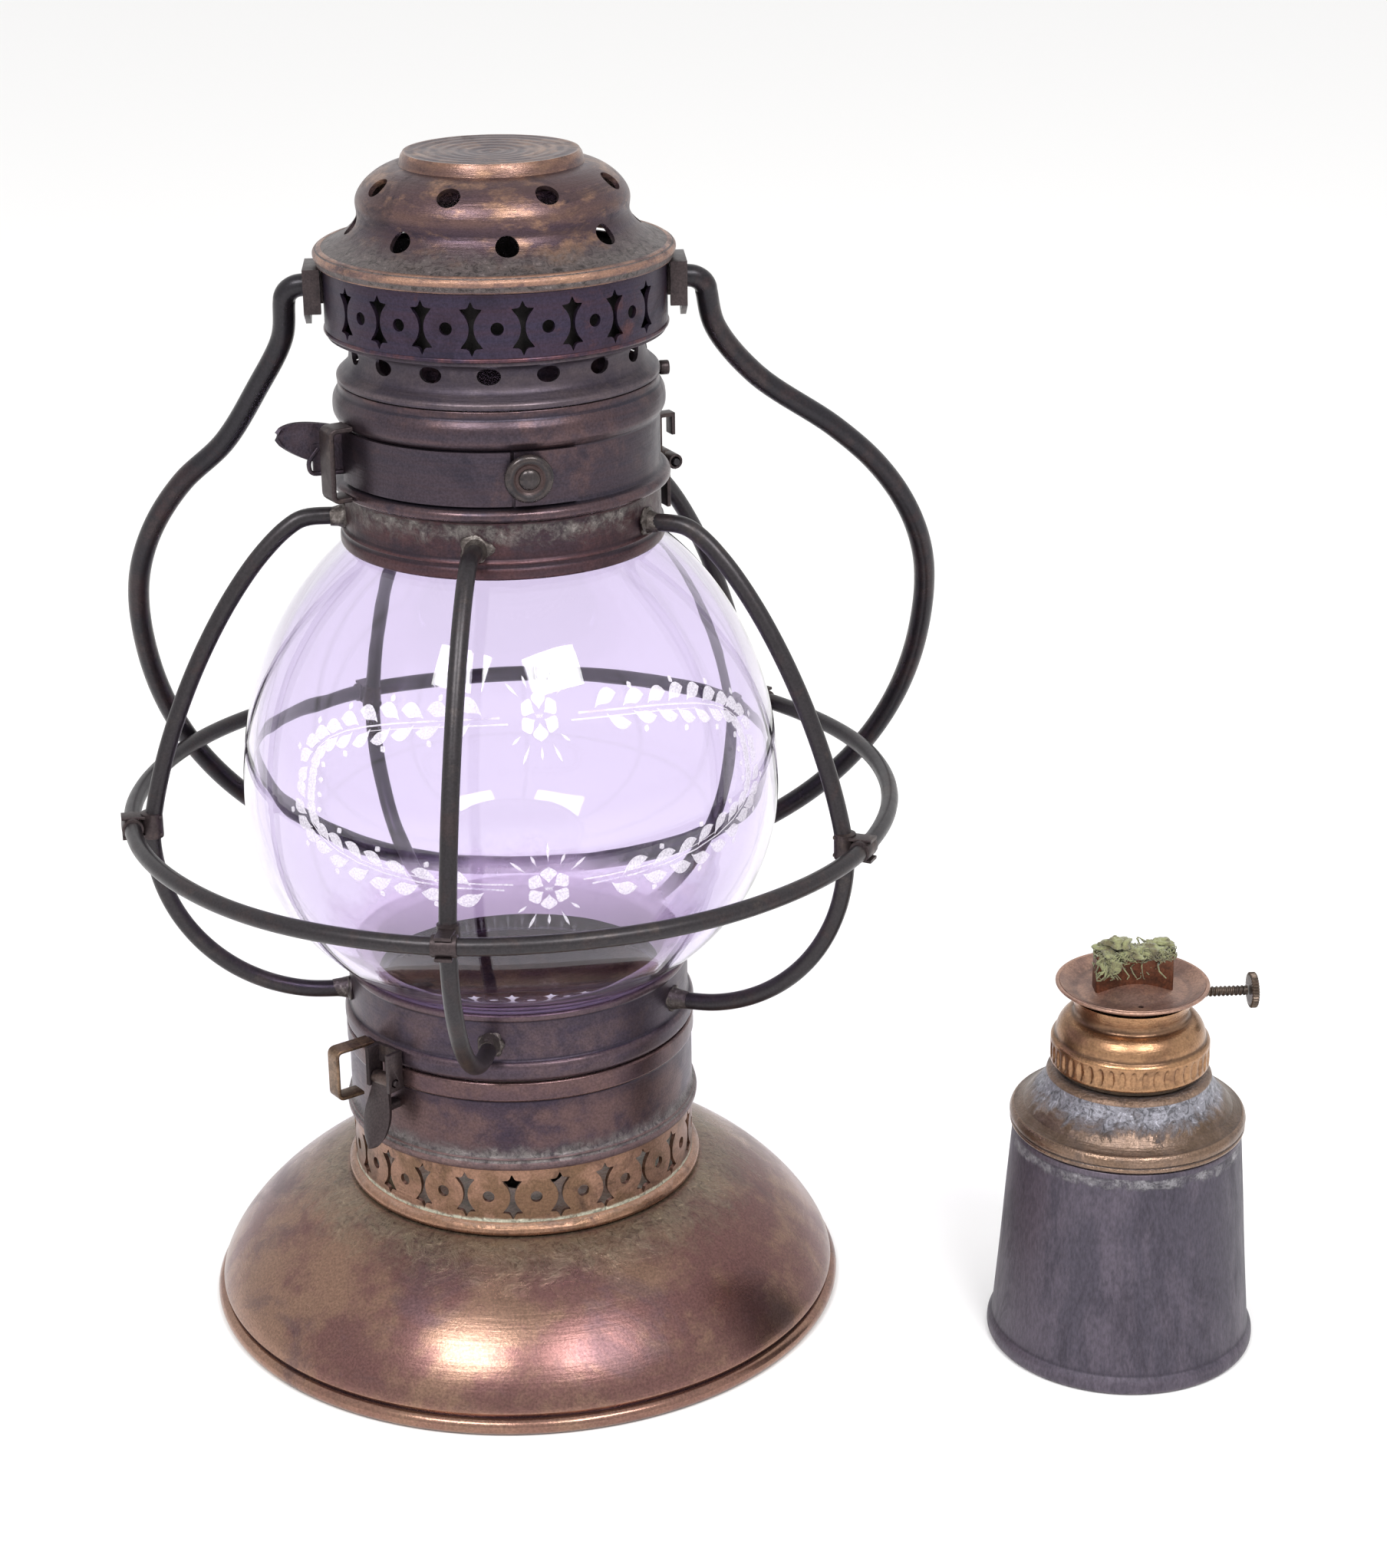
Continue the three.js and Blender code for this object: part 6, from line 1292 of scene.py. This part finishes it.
class LAMP_OT_lid_latch(bpy.types.Operator):
    """Build the latch strip with its thumb tab, its riveted button and its keeper"""
    bl_idname = "lamp.lid_latch"
    bl_label = "Lid latch"

    def execute(self, context):
        plate_radius, plate_wall = 34.62, 0.75

        def band(first, last):
            """A thin plate bent round the collar from one azimuth to another."""
            across, up = np.radians(np.linspace(first, last, 60)), np.linspace(197.9, 209.3, 9)
            turn, z = np.meshgrid(across, up, indexing="ij")
            skin = [plate_radius * np.sin(turn), -plate_radius * np.cos(turn), z]
            return sheet_of(np.stack(skin, axis=2) + LAMP, plate_wall)

        strip = Paints.kept["lid_brass"]
        as_object("latch_plate", band(4.1, 26), strip, "cage",
                  ("lid_latch_plate",))
        share = shares(22)[:, None]
        across = np.linspace(-1, 1, 9)[None]
        out = 34.9 + 14.1 * share + 0 * across
        half = 4.6 * np.sqrt((1 - share ** 3.4).clip(0.012)) * (1.0 - 0.12 * share)
        up = 204.9 + 4.0 * share ** 0.9 + half * across
        side = 0.45 - 1.6 * share ** 2 * 0.4 + 0.5 * across ** 2 - 0.5
        tab = sheet_of(at_azimuth(np.stack([out, side, up], axis=2), -71), 0.8)
        step = strap([[35.0, 199.9], [42.6, 200.2], [42.9, 203.0], [40.6, 205.6]], 1.0, 0.9)
        web = sheet_of(at_azimuth(np.stack(np.meshgrid(np.linspace(34.9, 41.8, 8), [0.0],
                                                       np.linspace(200.2, 206.5, 8),
                                                       indexing="ij"), axis=-1)[:, 0], -71), 0.8)
        as_object("latch_spring", [band(-71, 2.9), tab, web, placed(step, -71)], strip, "lid_latch",
                  ("lid_latch_spring",))
        turn = np.linspace(0, math.pi / 2, 7)
        knob = np.vstack([[[0, 0], [2.4, 0], [2.4, 0.6], [4.6, 0.7]],
                          np.column_stack([4.1 + 1.0 * np.cos(np.linspace(-1.2, 1.9, 12)),
                                           1.75 + 1.0 * np.sin(np.linspace(-1.2, 1.9, 12))]),
                          [[2.9, 2.2]], np.column_stack([2.3 * np.cos(turn), 2.35 + 1.05 * np.sin(turn)])])
        knob[-1, 0] = 0
        as_object("latch_button", facing_out(turned(knob, 64, axis=np.zeros(3)), 8.4, 35.7, 204.2),
                  Paints.kept["black_wire"], "cage", ("lid_latch_button",))
        keeper = strap([[35.9, 210.8], [40.65, 210.8], [40.65, 195.75], [36.7, 195.75]], 5.5, 1.1, 0.1)
        as_object("latch_keeper", placed(keeper, -63), Paints.kept["fitting_brass"], "cage",
                  ("lid_latch_keeper",))
        return {"FINISHED"}


class LAMP_OT_fittings(bpy.types.Operator):
    """Finish the ears, hinges, pins, bracket and knob"""
    bl_idname = "lamp.fittings"
    bl_label = "Small fittings"

    def execute(self, context):
        fitting, wire = Paints.kept["fitting_brass"], Paints.kept["black_wire"]
        for node in ("ear_right", "ear_left", "lid_hinge_upper", "lid_hinge_lower", "base_hinge_upper",
                     "base_latch_bracket"):
            softened(node, fitting, "cage")
        softened("base_hinge_lower", fitting, "base")
        softened("lid_knob", fitting, "cage", 0.4)
        softened("base_hinge_pin", wire, "base", 0.2)
        softened("lid_hinge_pin", wire, "cage", 0.2)
        softened("base_latch_pin", wire, "cage", 0.15)
        return {"FINISHED"}


class LAMP_OT_base_latch(bpy.types.Operator):
    """Build the base latch: a cupped leaf on its knuckle with a tongue behind it, and the fixed loop beside it"""
    bl_idname = "lamp.base_latch"
    bl_label = "Base latch"

    def execute(self, context):
        share = shares(24)[:, None]
        across = np.linspace(-1, 1, 13)[None]
        half = (2.5 + 1.7 * np.sin(math.pi * share.clip(0, 0.62) / 1.24) ** 2) * np.sqrt((1 - share ** 4.5).clip(0.03))
        out = 43.75 + 4.4 * share ** 1.35 - 0.9 * across ** 2 * share
        up = 66.2 - 15.2 * share + 0 * across
        leaf = sheet_of(at_azimuth(np.stack([out + 0 * across, half * across, up], axis=2), -46), -0.85)
        barrel = turned(eased(np.array([[1.0, -2.5], [1.6, -2.5], [1.6, 2.5], [1.0, 2.5]]), 0.15, 3), 40,
                        axis=np.zeros(3))
        points = np.column_stack([42.6 + barrel[0][:, 0], barrel[0][:, 2], 66.2 + barrel[0][:, 1]])
        moved = at_azimuth(points, -46)
        tongue = strap([[38.8, 59.3], [44.4, 59.3]], 3.0, 1.7)
        as_object("latch_leaf", [leaf, (moved, outward(moved, barrel[1]), barrel[2]), placed(tongue, -46)],
                  Paints.kept["fitting_brass"], "base_latch", ("base_latch_leaf",))
        loop = strap([[40.2, 72.2], [49.6, 72.2], [49.6, 60.8], [43.4, 60.8]], 4.0, 0.8, 0.1)
        as_object("latch_loop", placed(loop, -57), Paints.kept["loop_brass"], "cage",
                  ("base_latch_loop",))
        return {"FINISHED"}


# ---------------------------------------------------------------- bail
class LAMP_OT_bail(bpy.types.Operator):
    """Build the bail: a loop whose ends bend in and out again before they turn into the ears"""
    bl_idname = "lamp.bail"
    bl_label = "Bail"

    def execute(self, context):
        s = context.scene.lamp_bail
        thick, pivot, half, reach, lean = (v / MM for v in (s.thickness, s.pivot, s.half_width, s.reach,
                                                            s.lean))
        widest, elbow_x, elbow = 87.0, 40.5, 4.2
        turn = shares(5) * math.pi / 2
        elbow_line = np.column_stack([elbow_x + elbow * np.sin(turn), elbow * (1 - np.cos(turn))])
        lift = np.radians(42 * (1 - shares(5)))
        shoulder = np.column_stack([half * np.cos(lift), widest - 70 * np.sin(lift)])
        wide, down = quarter(9, 2.2)
        bottom = np.column_stack([half * wide, widest + (reach - widest) * down])[1:-1]

        def side(sign):
            """One side of the bail, from its ear to the bottom."""
            arm = [[sign * 46.2 + lean * 13 / reach, 13], [sign * 54 + lean * 26 / widest, 26]]
            loop = np.vstack([shoulder, bottom]) * [sign, 1] + [lean, 0]
            return np.vstack([elbow_line * [sign, 1], arm, loop])

        flat = np.vstack([side(-1), [[lean, reach]], side(1)[::-1]])
        flat = np.vstack([[[-37.2, 0]], flat, [[37.2, 0]]])
        line = smooth_through(flat, 9)
        rest = s.rest
        path = np.column_stack([line[:, 0], line[:, 1] * math.sin(rest),
                                pivot - line[:, 1] * math.cos(rest)]) + LAMP
        normal = (0, math.cos(rest), math.sin(rest))
        rod = swept(path, rounded_ends(thick, path, 0.5), 20, normal)
        as_object("bail_rod", rod, Paints.kept["bail_rod"], "bail_handle", ("bail",))
        return {"FINISHED"}


# ---------------------------------------------------------------- font
class LAMP_OT_tank(bpy.types.Operator):
    """Build the oil tank with its rolled foot, and the spun shoulder soldered to it"""
    bl_idname = "lamp.tank"
    bl_label = "Tank and shoulder"

    def execute(self, context):
        s = context.scene.lamp_font
        rim, top = s.rim_radius / MM, s.tank_top / MM
        wall = [[0, 0], [rim - 0.9, 0], [rim - 0.15, 0.7], [rim, 1.6], [rim - 0.1, 2.9], [rim - 0.6, 3.9],
                [28.95, 4.6], [28.75, 6.2], [25.4, top - 1.6], [25.55, top - 0.9], [25.4, top], [24.5, top],
                [28.0, 4.4], [28.0, 0.9], [0, 0.9]]
        dents = lambda azimuth, r, z: np.where(r > 20, 0.14 * np.sin(4 * azimuth + z / 9) * np.sin(z / 16)
                                               * np.sin(2 * azimuth + 1), 0).clip(-0.14, 0.0)
        as_object("tank_shell", turned(spaced(eased(wall, 0.6, 4), 2), 180, dents, FONT),
                  Paints.kept["tank_zinc"],
                  "font", ("tank",))
        foot = top + 0.3
        below, inward = quarter(14, 1.5)
        sweep = np.column_stack([25.5 - 7.3 * inward, 65.4 - 8.7 * below])[::-1]
        face = np.vstack([[[12.2, 66.4], [16.6, 66.4], [17.6, 66.0]], sweep,
                          [[25.9, foot + 3.4], [26.15, foot + 2.6],
                          [26.0, foot + 1.7], [25.7, foot + 1.3], [26.05, foot + 0.9], [25.9, foot + 0.3]]])
        back = np.array([[25.5, foot], [24.4, foot], [24.4, foot + 3.6], [21.0, 60.2], [17.0, 64.6],
                         [12.2, 65.4]])
        as_object("shoulder_shell", turned(eased(np.vstack([face, back]), 0.35, 3), 180, None, FONT),
                  Paints.kept["shoulder_brass"], "font", ("tank_shoulder",))
        ring = [[12.2, 66.7], [16.0, 66.7], [16.0, 67.7], [12.2, 67.7]]
        as_object("gasket_ring", turned(eased(ring, 0.3, 4), 96, None, FONT), Paints.kept["cork"],
                  "burner_seal",
                  ("burner_gasket",))
        return {"FINISHED"}


class LAMP_OT_burner(bpy.types.Operator):
    """Build the burner: a fluted collar with a spun crown, the draft plate, and the wick tube"""
    bl_idname = "lamp.burner"
    bl_label = "Burner"

    def execute(self, context):
        s = context.scene.lamp_font
        count = s.flutes
        out, up = quarter(12, 1.8)
        crown = np.column_stack([13 + 3.5 * out, 74.6 + 4.7 * up])[::-1]
        band_z = np.linspace(68.5, 73.2, 20)[::-1]
        face = np.vstack([[[13.4, 84.0], [13.2, 83.2], [12.6, 81.4], [12.4, 80.4], [12.6, 79.7]], crown,
                          [[16.8, 74.3], [17.3, 74.0], [17.5, 73.5]],
                          np.column_stack([np.full(20, 17.5), band_z]), [[17.3, 68.1], [16.9, 68.0]]])
        back = np.array([[12.2, 68.0], [12.2, 69.0], [15.5, 69.0], [15.5, 72.4], [11.2, 77.3], [11.5, 80.0],
                         [12.6, 84.0]])

        def flutes(azimuth, r, z):
            """Oval hollows side by side round the lower band."""
            pitch = 2 * math.pi / count
            x = ((azimuth + pitch / 2) % pitch - pitch / 2) * 17.5
            inside = 1 - (x / 0.78) ** 2 - ((z - 70.9) / 2.15) ** 2
            return np.where((r > 17.2) & (inside > 0), -0.5 * np.sqrt(inside.clip(0)), 0.0)

        as_object("burner_shell", turned(np.vstack([face, back]), count * 10, flutes, FONT),
                  Paints.kept["burner_gold"], "burner", ("burner_collar",), 50)
        profile = np.array([[15.9, 87.0], [15.0, 86.45], [13.6, 85.55], [12.6, 85.15], [11.2, 85.1],
                            [9.5, 85.2],
                            [7.6, 85.75], [5.5, 86.5], [3.0, 87.2], [1.4, 87.4]])
        profile = spaced(smooth_through(profile, 4), 0.5, closed=False)
        along = distances(profile)
        place = float(np.interp(-9.75, -profile[:, 0], along))
        skin = pierced(profile, 0.75, [(0, place, ellipse(0.62, 0.5, 16))], 160, 90, FONT)
        lip = [[15.6, 86.6], [16.2, 87.0], [16.7, 87.0], [16.9, 86.7], [16.7, 86.3], [16.0, 86.1]]
        as_object("draft_plate_shell", [skin, turned(eased(lip, 0.25, 4), 160, None, FONT)],
                  Paints.kept["draft_copper"], "burner", ("draft_plate",))
        wide, deep = s.tube_width / MM / 2, s.tube_depth / MM / 2
        outer = eased([[-wide, -deep], [wide, -deep], [wide, deep], [-wide, deep]], 0.8, 6)
        inner = eased([[-wide + 0.8, -deep + 0.8], [wide - 0.8, -deep + 0.8], [wide - 0.8, deep - 0.8],
                       [-wide + 0.8, deep - 0.8]], 0.8, 6)
        corner = (np.abs(outer[:, 0]) / wide) ** 8
        rings = []
        for loop, heights in ((outer, (71, 80, 88, 92.6, 93.3)), (inner, (93.3, 92.6, 88, 80, 71))):
            rings += [np.column_stack([loop, z + (0.8 * corner if z > 92 else 0 * corner)]) for z in heights]
        points = np.vstack(rings) + FONT
        as_object("wick_tube_shell", shell(points, quads(len(rings), len(outer), True, True)),
                  Paints.kept["tube_copper"], "burner", ("wick_tube",))
        return {"FINISHED"}


class LAMP_OT_wick_wheel(bpy.types.Operator):
    """Build the wick's shaft with its coarse thread, its toothed wheel, and the knurled thumbwheel"""
    bl_idname = "lamp.wick_wheel"
    bl_label = "Wick wheel"

    def execute(self, context):
        def along_x(part):
            """A turned shell laid along X at the shaft's height, its height becoming the distance outwards."""
            points, faces, edge = part
            laid = np.column_stack([points[:, 2], points[:, 0] + 3.95, points[:, 1] + 81.8]) + FONT
            return laid, outward(laid, faces), edge

        nothing = np.zeros(3)
        far = np.linspace(-3.4, 26.6, 260)
        rod = np.vstack([[[0, -3.4]], np.column_stack([np.full(260, 1.05), far]), [[0, 26.6]]])
        thread = lambda azimuth, r, z: np.where((z > 17) & (z < 26) & (r > 0.5),
                                                0.14 * np.sin(2 * math.pi * z / 0.95 + azimuth), 0.0)
        teeth = lambda azimuth, r, z: np.where(r > 1.5, 0.35 * np.cos(10 * azimuth) - 0.35, 0.0)
        wheel = eased([[1.0, -0.8], [2.2, -0.8], [2.2, 0.8], [1.0, 0.8]], 0.1, 2)
        as_object("wick_shaft_rod", [along_x(turned(rod, 24, thread, nothing)),
                                     along_x(turned(wheel, 60, teeth, nothing))],
                  Paints.kept["shaft_steel"], "wick_wheel", ("wick_shaft",), 60)
        knurl = lambda azimuth, r, z: np.where(r > 3.4, 0.17 * np.cos(34 * azimuth) - 0.17, 0.0)
        disc = [[0, 26.9], [1.4, 26.9], [3.6, 27.0], [4.0, 27.2], [4.0, 28.4], [3.7, 28.65], [3.2, 28.55],
                [1.9, 28.1], [1.5, 28.4], [1.1, 28.7], [0, 28.7]]
        as_object("thumbwheel_disc", along_x(turned(eased(disc, 0.15, 3), 204, knurl, nothing)),
                  Paints.kept["shaft_steel"], "wick_wheel", ("thumbwheel",), 60)
        return {"FINISHED"}


class LAMP_OT_wick(bpy.types.Operator):
    """Build the wick: a flat ribbed strip, and a tuft of loose strands that curl out of the tube"""
    bl_idname = "lamp.wick"
    bl_label = "Wick"

    def execute(self, context):
        s = context.scene.lamp_font
        wide, deep = 7.45, 1.4
        outline = spaced(eased([[-wide, -deep], [wide, -deep], [wide, deep], [-wide, deep]], 0.9, 5), 0.25)
        z = np.linspace(42, 95.2, 150)
        rib = 0.09 * np.cos(outline[:, 0] * 2 * math.pi / 1.25)[None] + 0.05 * np.cos(z * 2 * math.pi / 0.9)[:, None]
        push = np.sign(outline[:, 1]) * (np.abs(outline[:, 1]) > deep * 0.9)
        points = np.stack([np.broadcast_to(outline[:, 0], (len(z), len(outline))),
                           outline[:, 1] + (rib - 0.14) * push,
                           np.broadcast_to(z[:, None], (len(z), len(outline)))],
                          axis=2).reshape(-1, 3) + FONT
        strip = shell(*capped(points, quads(len(z), len(outline), False, True), len(z), len(outline)))
        as_object("wick_strip_weave", strip, Paints.kept["charred"], "wick_strip", ("wick",), 60)
        draw = np.random.default_rng(7)
        count, steps, sides = s.strands, 9, 5
        t = shares(steps)[None, :, None]
        across = draw.uniform(-7.9, 7.9, count)
        root = np.column_stack([across, draw.uniform(-1.7, 1.7, count), np.full(count, 93.4)])[:, None]
        hump = 0.75 + 0.45 * np.cos((across + 3.6) * 0.75) + 0.15 * np.cos(across * 2.3)
        heading = np.column_stack([draw.normal(0, 0.8, count), draw.normal(-0.3, 0.85, count),
                                   draw.uniform(0.35, 1.1, count)])[:, None]
        reach = (draw.uniform(1.4, 3.6, count) * hump)[:, None, None]
        phase = draw.uniform(0, 6.28, (count, 1, 3))
        curl = np.sin(phase + t * draw.uniform(5, 14, (count, 1, 3))) * 1.0 * t ** 0.6
        line = root + reach * heading * t + curl - np.array([0, 0, 1.0]) * reach * 0.5 * t ** 2
        drop = draw.random(count) < np.where(across < -3.5, 0.3, 0.05)
        fall = np.where(drop, 1.0, 0.0)[:, None, None] * np.array([-0.6, -1.9, -4.6]) * t ** 1.4
        line = line + fall
        line[..., 0] = line[..., 0].clip(-8.7, 8.7)
        line[..., 1] = line[..., 1].clip(-3.6, 3.0)
        line[..., 2] = line[..., 2].clip(88.9, 98.9)
        along = unit(np.gradient(line, axis=1))
        beside = unit(np.cross(along, [0.31, 0.52, 0.79]))
        across = np.cross(along, beside)
        turn = np.arange(sides) * 2 * math.pi / sides
        thick = (draw.uniform(0.16, 0.36, count)[:, None] * (1 - 0.6 * t[..., 0] ** 2))[..., None, None]
        tubes = line[:, :, None] + thick * (np.cos(turn)[:, None] * beside[:, :, None]
                                            + np.sin(turn)[:, None] * across[:, :, None])
        shells = []
        for i in range(count):
            grid, faces = capped(tubes[i].reshape(-1, 3) + FONT, quads(steps, sides, False, True), steps,
                                 sides)
            shells.append(shell(grid, faces))
        for k in range(26):
            place = np.array([draw.uniform(-7.4, 7.4), draw.uniform(-2.2, 1.8), 0])
            place[2] = 93.9 + (1.9 + 1.3 * math.cos((place[0] + 3.6) * 0.75)) * draw.uniform(0.1, 1.0)
            size = draw.uniform(0.8, 1.7) * np.array([1.25, 0.9, 0.85])
            lump = blob(place, size, k * 1.7, 0.5, 14, 20)
            shells.append((lump[0] + FONT, lump[1], lump[2]))
        for k in range(5):
            lump = blob((-7.4 + k * 0.75, -2.7 - 0.15 * k, 92.9 - 0.9 * (k % 3)), (0.9, 0.6, 1.5), k * 2.3,
                        0.5, 14, 20)
            shells.append((lump[0] + FONT, lump[1], lump[2]))
        as_object("wick_tuft", shells, Paints.kept["cotton"], "wick_strip", (), 80)
        return {"FINISHED"}


# ---------------------------------------------------------------- stage
class LAMP_OT_stage(bpy.types.Operator):
    """Set the floor, the lights and the camera"""
    bl_idname = "lamp.stage"
    bl_label = "Stage"

    def execute(self, context):
        s = context.scene.lamp_stage
        scene = context.scene
        mesh = bpy.data.meshes.new("floor")
        far = 6.0
        mesh.from_pydata([(-far, -far, 0), (far, -far, 0), (far, far, 0), (-far, far, 0)], [], [(0, 1, 2, 3)])
        floor = bpy.data.objects.new("floor", mesh)
        scene.collection.objects.link(floor)
        made, tree, principled = plain_material("floor_white")
        fill(tree, principled, {"Base Color": (0.9, 0.895, 0.89, 1), "Roughness": 0.85,
                                "Specular IOR Level": 0.2})
        mesh.materials.append(made)
        world = bpy.data.worlds.new("white_room")
        scene.world = world
        world.use_nodes = True
        world.node_tree.nodes["Background"].inputs[0].default_value = (1.0, 1.0, 1.0, 1)
        world.node_tree.nodes["Background"].inputs[1].default_value = s.sky
        centre = Vector(LAMP * MM) + Vector((0, 0, 0.12))
        for name, azimuth, elevation, distance, width, height, power in (
                ("window_left", -29, 47, 1.3, 0.5, 0.34, s.window_power),
                ("window_right", 27, 46, 1.3, 0.5, 0.34, s.window_power)):
            turn, rise = math.radians(azimuth), math.radians(elevation)
            away = Vector((math.sin(turn) * math.cos(rise), -math.cos(turn) * math.cos(rise), math.sin(rise)))
            data = bpy.data.lights.new(name, "AREA")
            data.shape, data.size, data.size_y, data.energy = "RECTANGLE", width, height, power
            light = bpy.data.objects.new(name, data)
            light.location = centre + away * distance
            light.rotation_euler = (-away).to_track_quat("-Z", "Y").to_euler()
            scene.collection.objects.link(light)
        data = bpy.data.cameras.new("camera")
        data.lens, data.sensor_width, data.sensor_fit = s.lens / MM, 36, "AUTO"
        data.clip_start, data.clip_end = 0.01, 50
        camera = bpy.data.objects.new("camera", data)
        forward = Vector((math.sin(s.yaw) * math.cos(s.pitch), math.cos(s.yaw) * math.cos(s.pitch),
                          -math.sin(s.pitch)))
        right = forward.cross(Vector((0, 0, 1))).normalized()
        up = right.cross(forward)
        tilted_right = right * math.cos(s.roll) + up * math.sin(s.roll)
        tilted_up = -right * math.sin(s.roll) + up * math.cos(s.roll)
        place = Matrix((tilted_right, tilted_up, -forward)).transposed().to_4x4()
        place.translation = Vector((LAMP[0] * MM, LAMP[1] * MM - s.camera_distance, s.camera_height))
        camera.matrix_world = place
        scene.collection.objects.link(camera)
        scene.camera = camera
        scene.view_settings.view_transform = "Standard"
        return {"FINISHED"}


class LAMP_OT_paints(bpy.types.Operator):
    """Make the materials"""
    bl_idname = "lamp.paints"
    bl_label = "Materials"

    def execute(self, context):
        make_paints()
        return {"FINISHED"}


class LAMP_PT_panel(bpy.types.Panel):
    """The hand lamp's pieces, in the order they are built"""
    bl_idname = "LAMP_PT_panel"
    bl_label = "Hand lamp"
    bl_space_type = "VIEW_3D"
    bl_region_type = "UI"
    bl_category = "Hand lamp"

    def draw(self, context):
        for kind in STEPS:
            self.layout.operator(kind.bl_idname)
        for name, _ in SETTINGS:
            box = self.layout.box()
            for key in getattr(context.scene, name).bl_rna.properties.keys():
                if key not in ("rna_type", "name"):
                    box.prop(getattr(context.scene, name), key)


SETTINGS = (("lamp_base", BaseSizes), ("lamp_cage", CageSizes), ("lamp_lid", LidSizes),
            ("lamp_bail", BailSizes),
            ("lamp_font", FontSizes), ("lamp_finishes", Finishes), ("lamp_stage", StageSettings))
STEPS = (LAMP_OT_stage, LAMP_OT_paints, LAMP_OT_bell, LAMP_OT_base_bands, LAMP_OT_globe, LAMP_OT_wreath,
         LAMP_OT_cage_wires, LAMP_OT_cage_rings, LAMP_OT_lid_body, LAMP_OT_dome, LAMP_OT_lid_latch,
         LAMP_OT_fittings, LAMP_OT_base_latch, LAMP_OT_bail, LAMP_OT_tank, LAMP_OT_burner, LAMP_OT_wick_wheel,
         LAMP_OT_wick)


def register():
    """Registers the settings, the operators and the panel."""
    for name, kind in SETTINGS:
        bpy.utils.register_class(kind)
        setattr(bpy.types.Scene, name, bpy.props.PointerProperty(type=kind))
    for kind in (*STEPS, LAMP_PT_panel):
        bpy.utils.register_class(kind)


def unregister():
    """Takes the panel, the operators and the settings away again."""
    for kind in (LAMP_PT_panel, *reversed(STEPS)):
        bpy.utils.unregister_class(kind)
    for name, kind in SETTINGS:
        delattr(bpy.types.Scene, name)
        bpy.utils.unregister_class(kind)


def main():
    """Builds everything in order."""
    register()
    for kind in STEPS:
        group, name = kind.bl_idname.split(".")
        getattr(getattr(bpy.ops, group), name)()


if __name__ == "__main__":
    main()
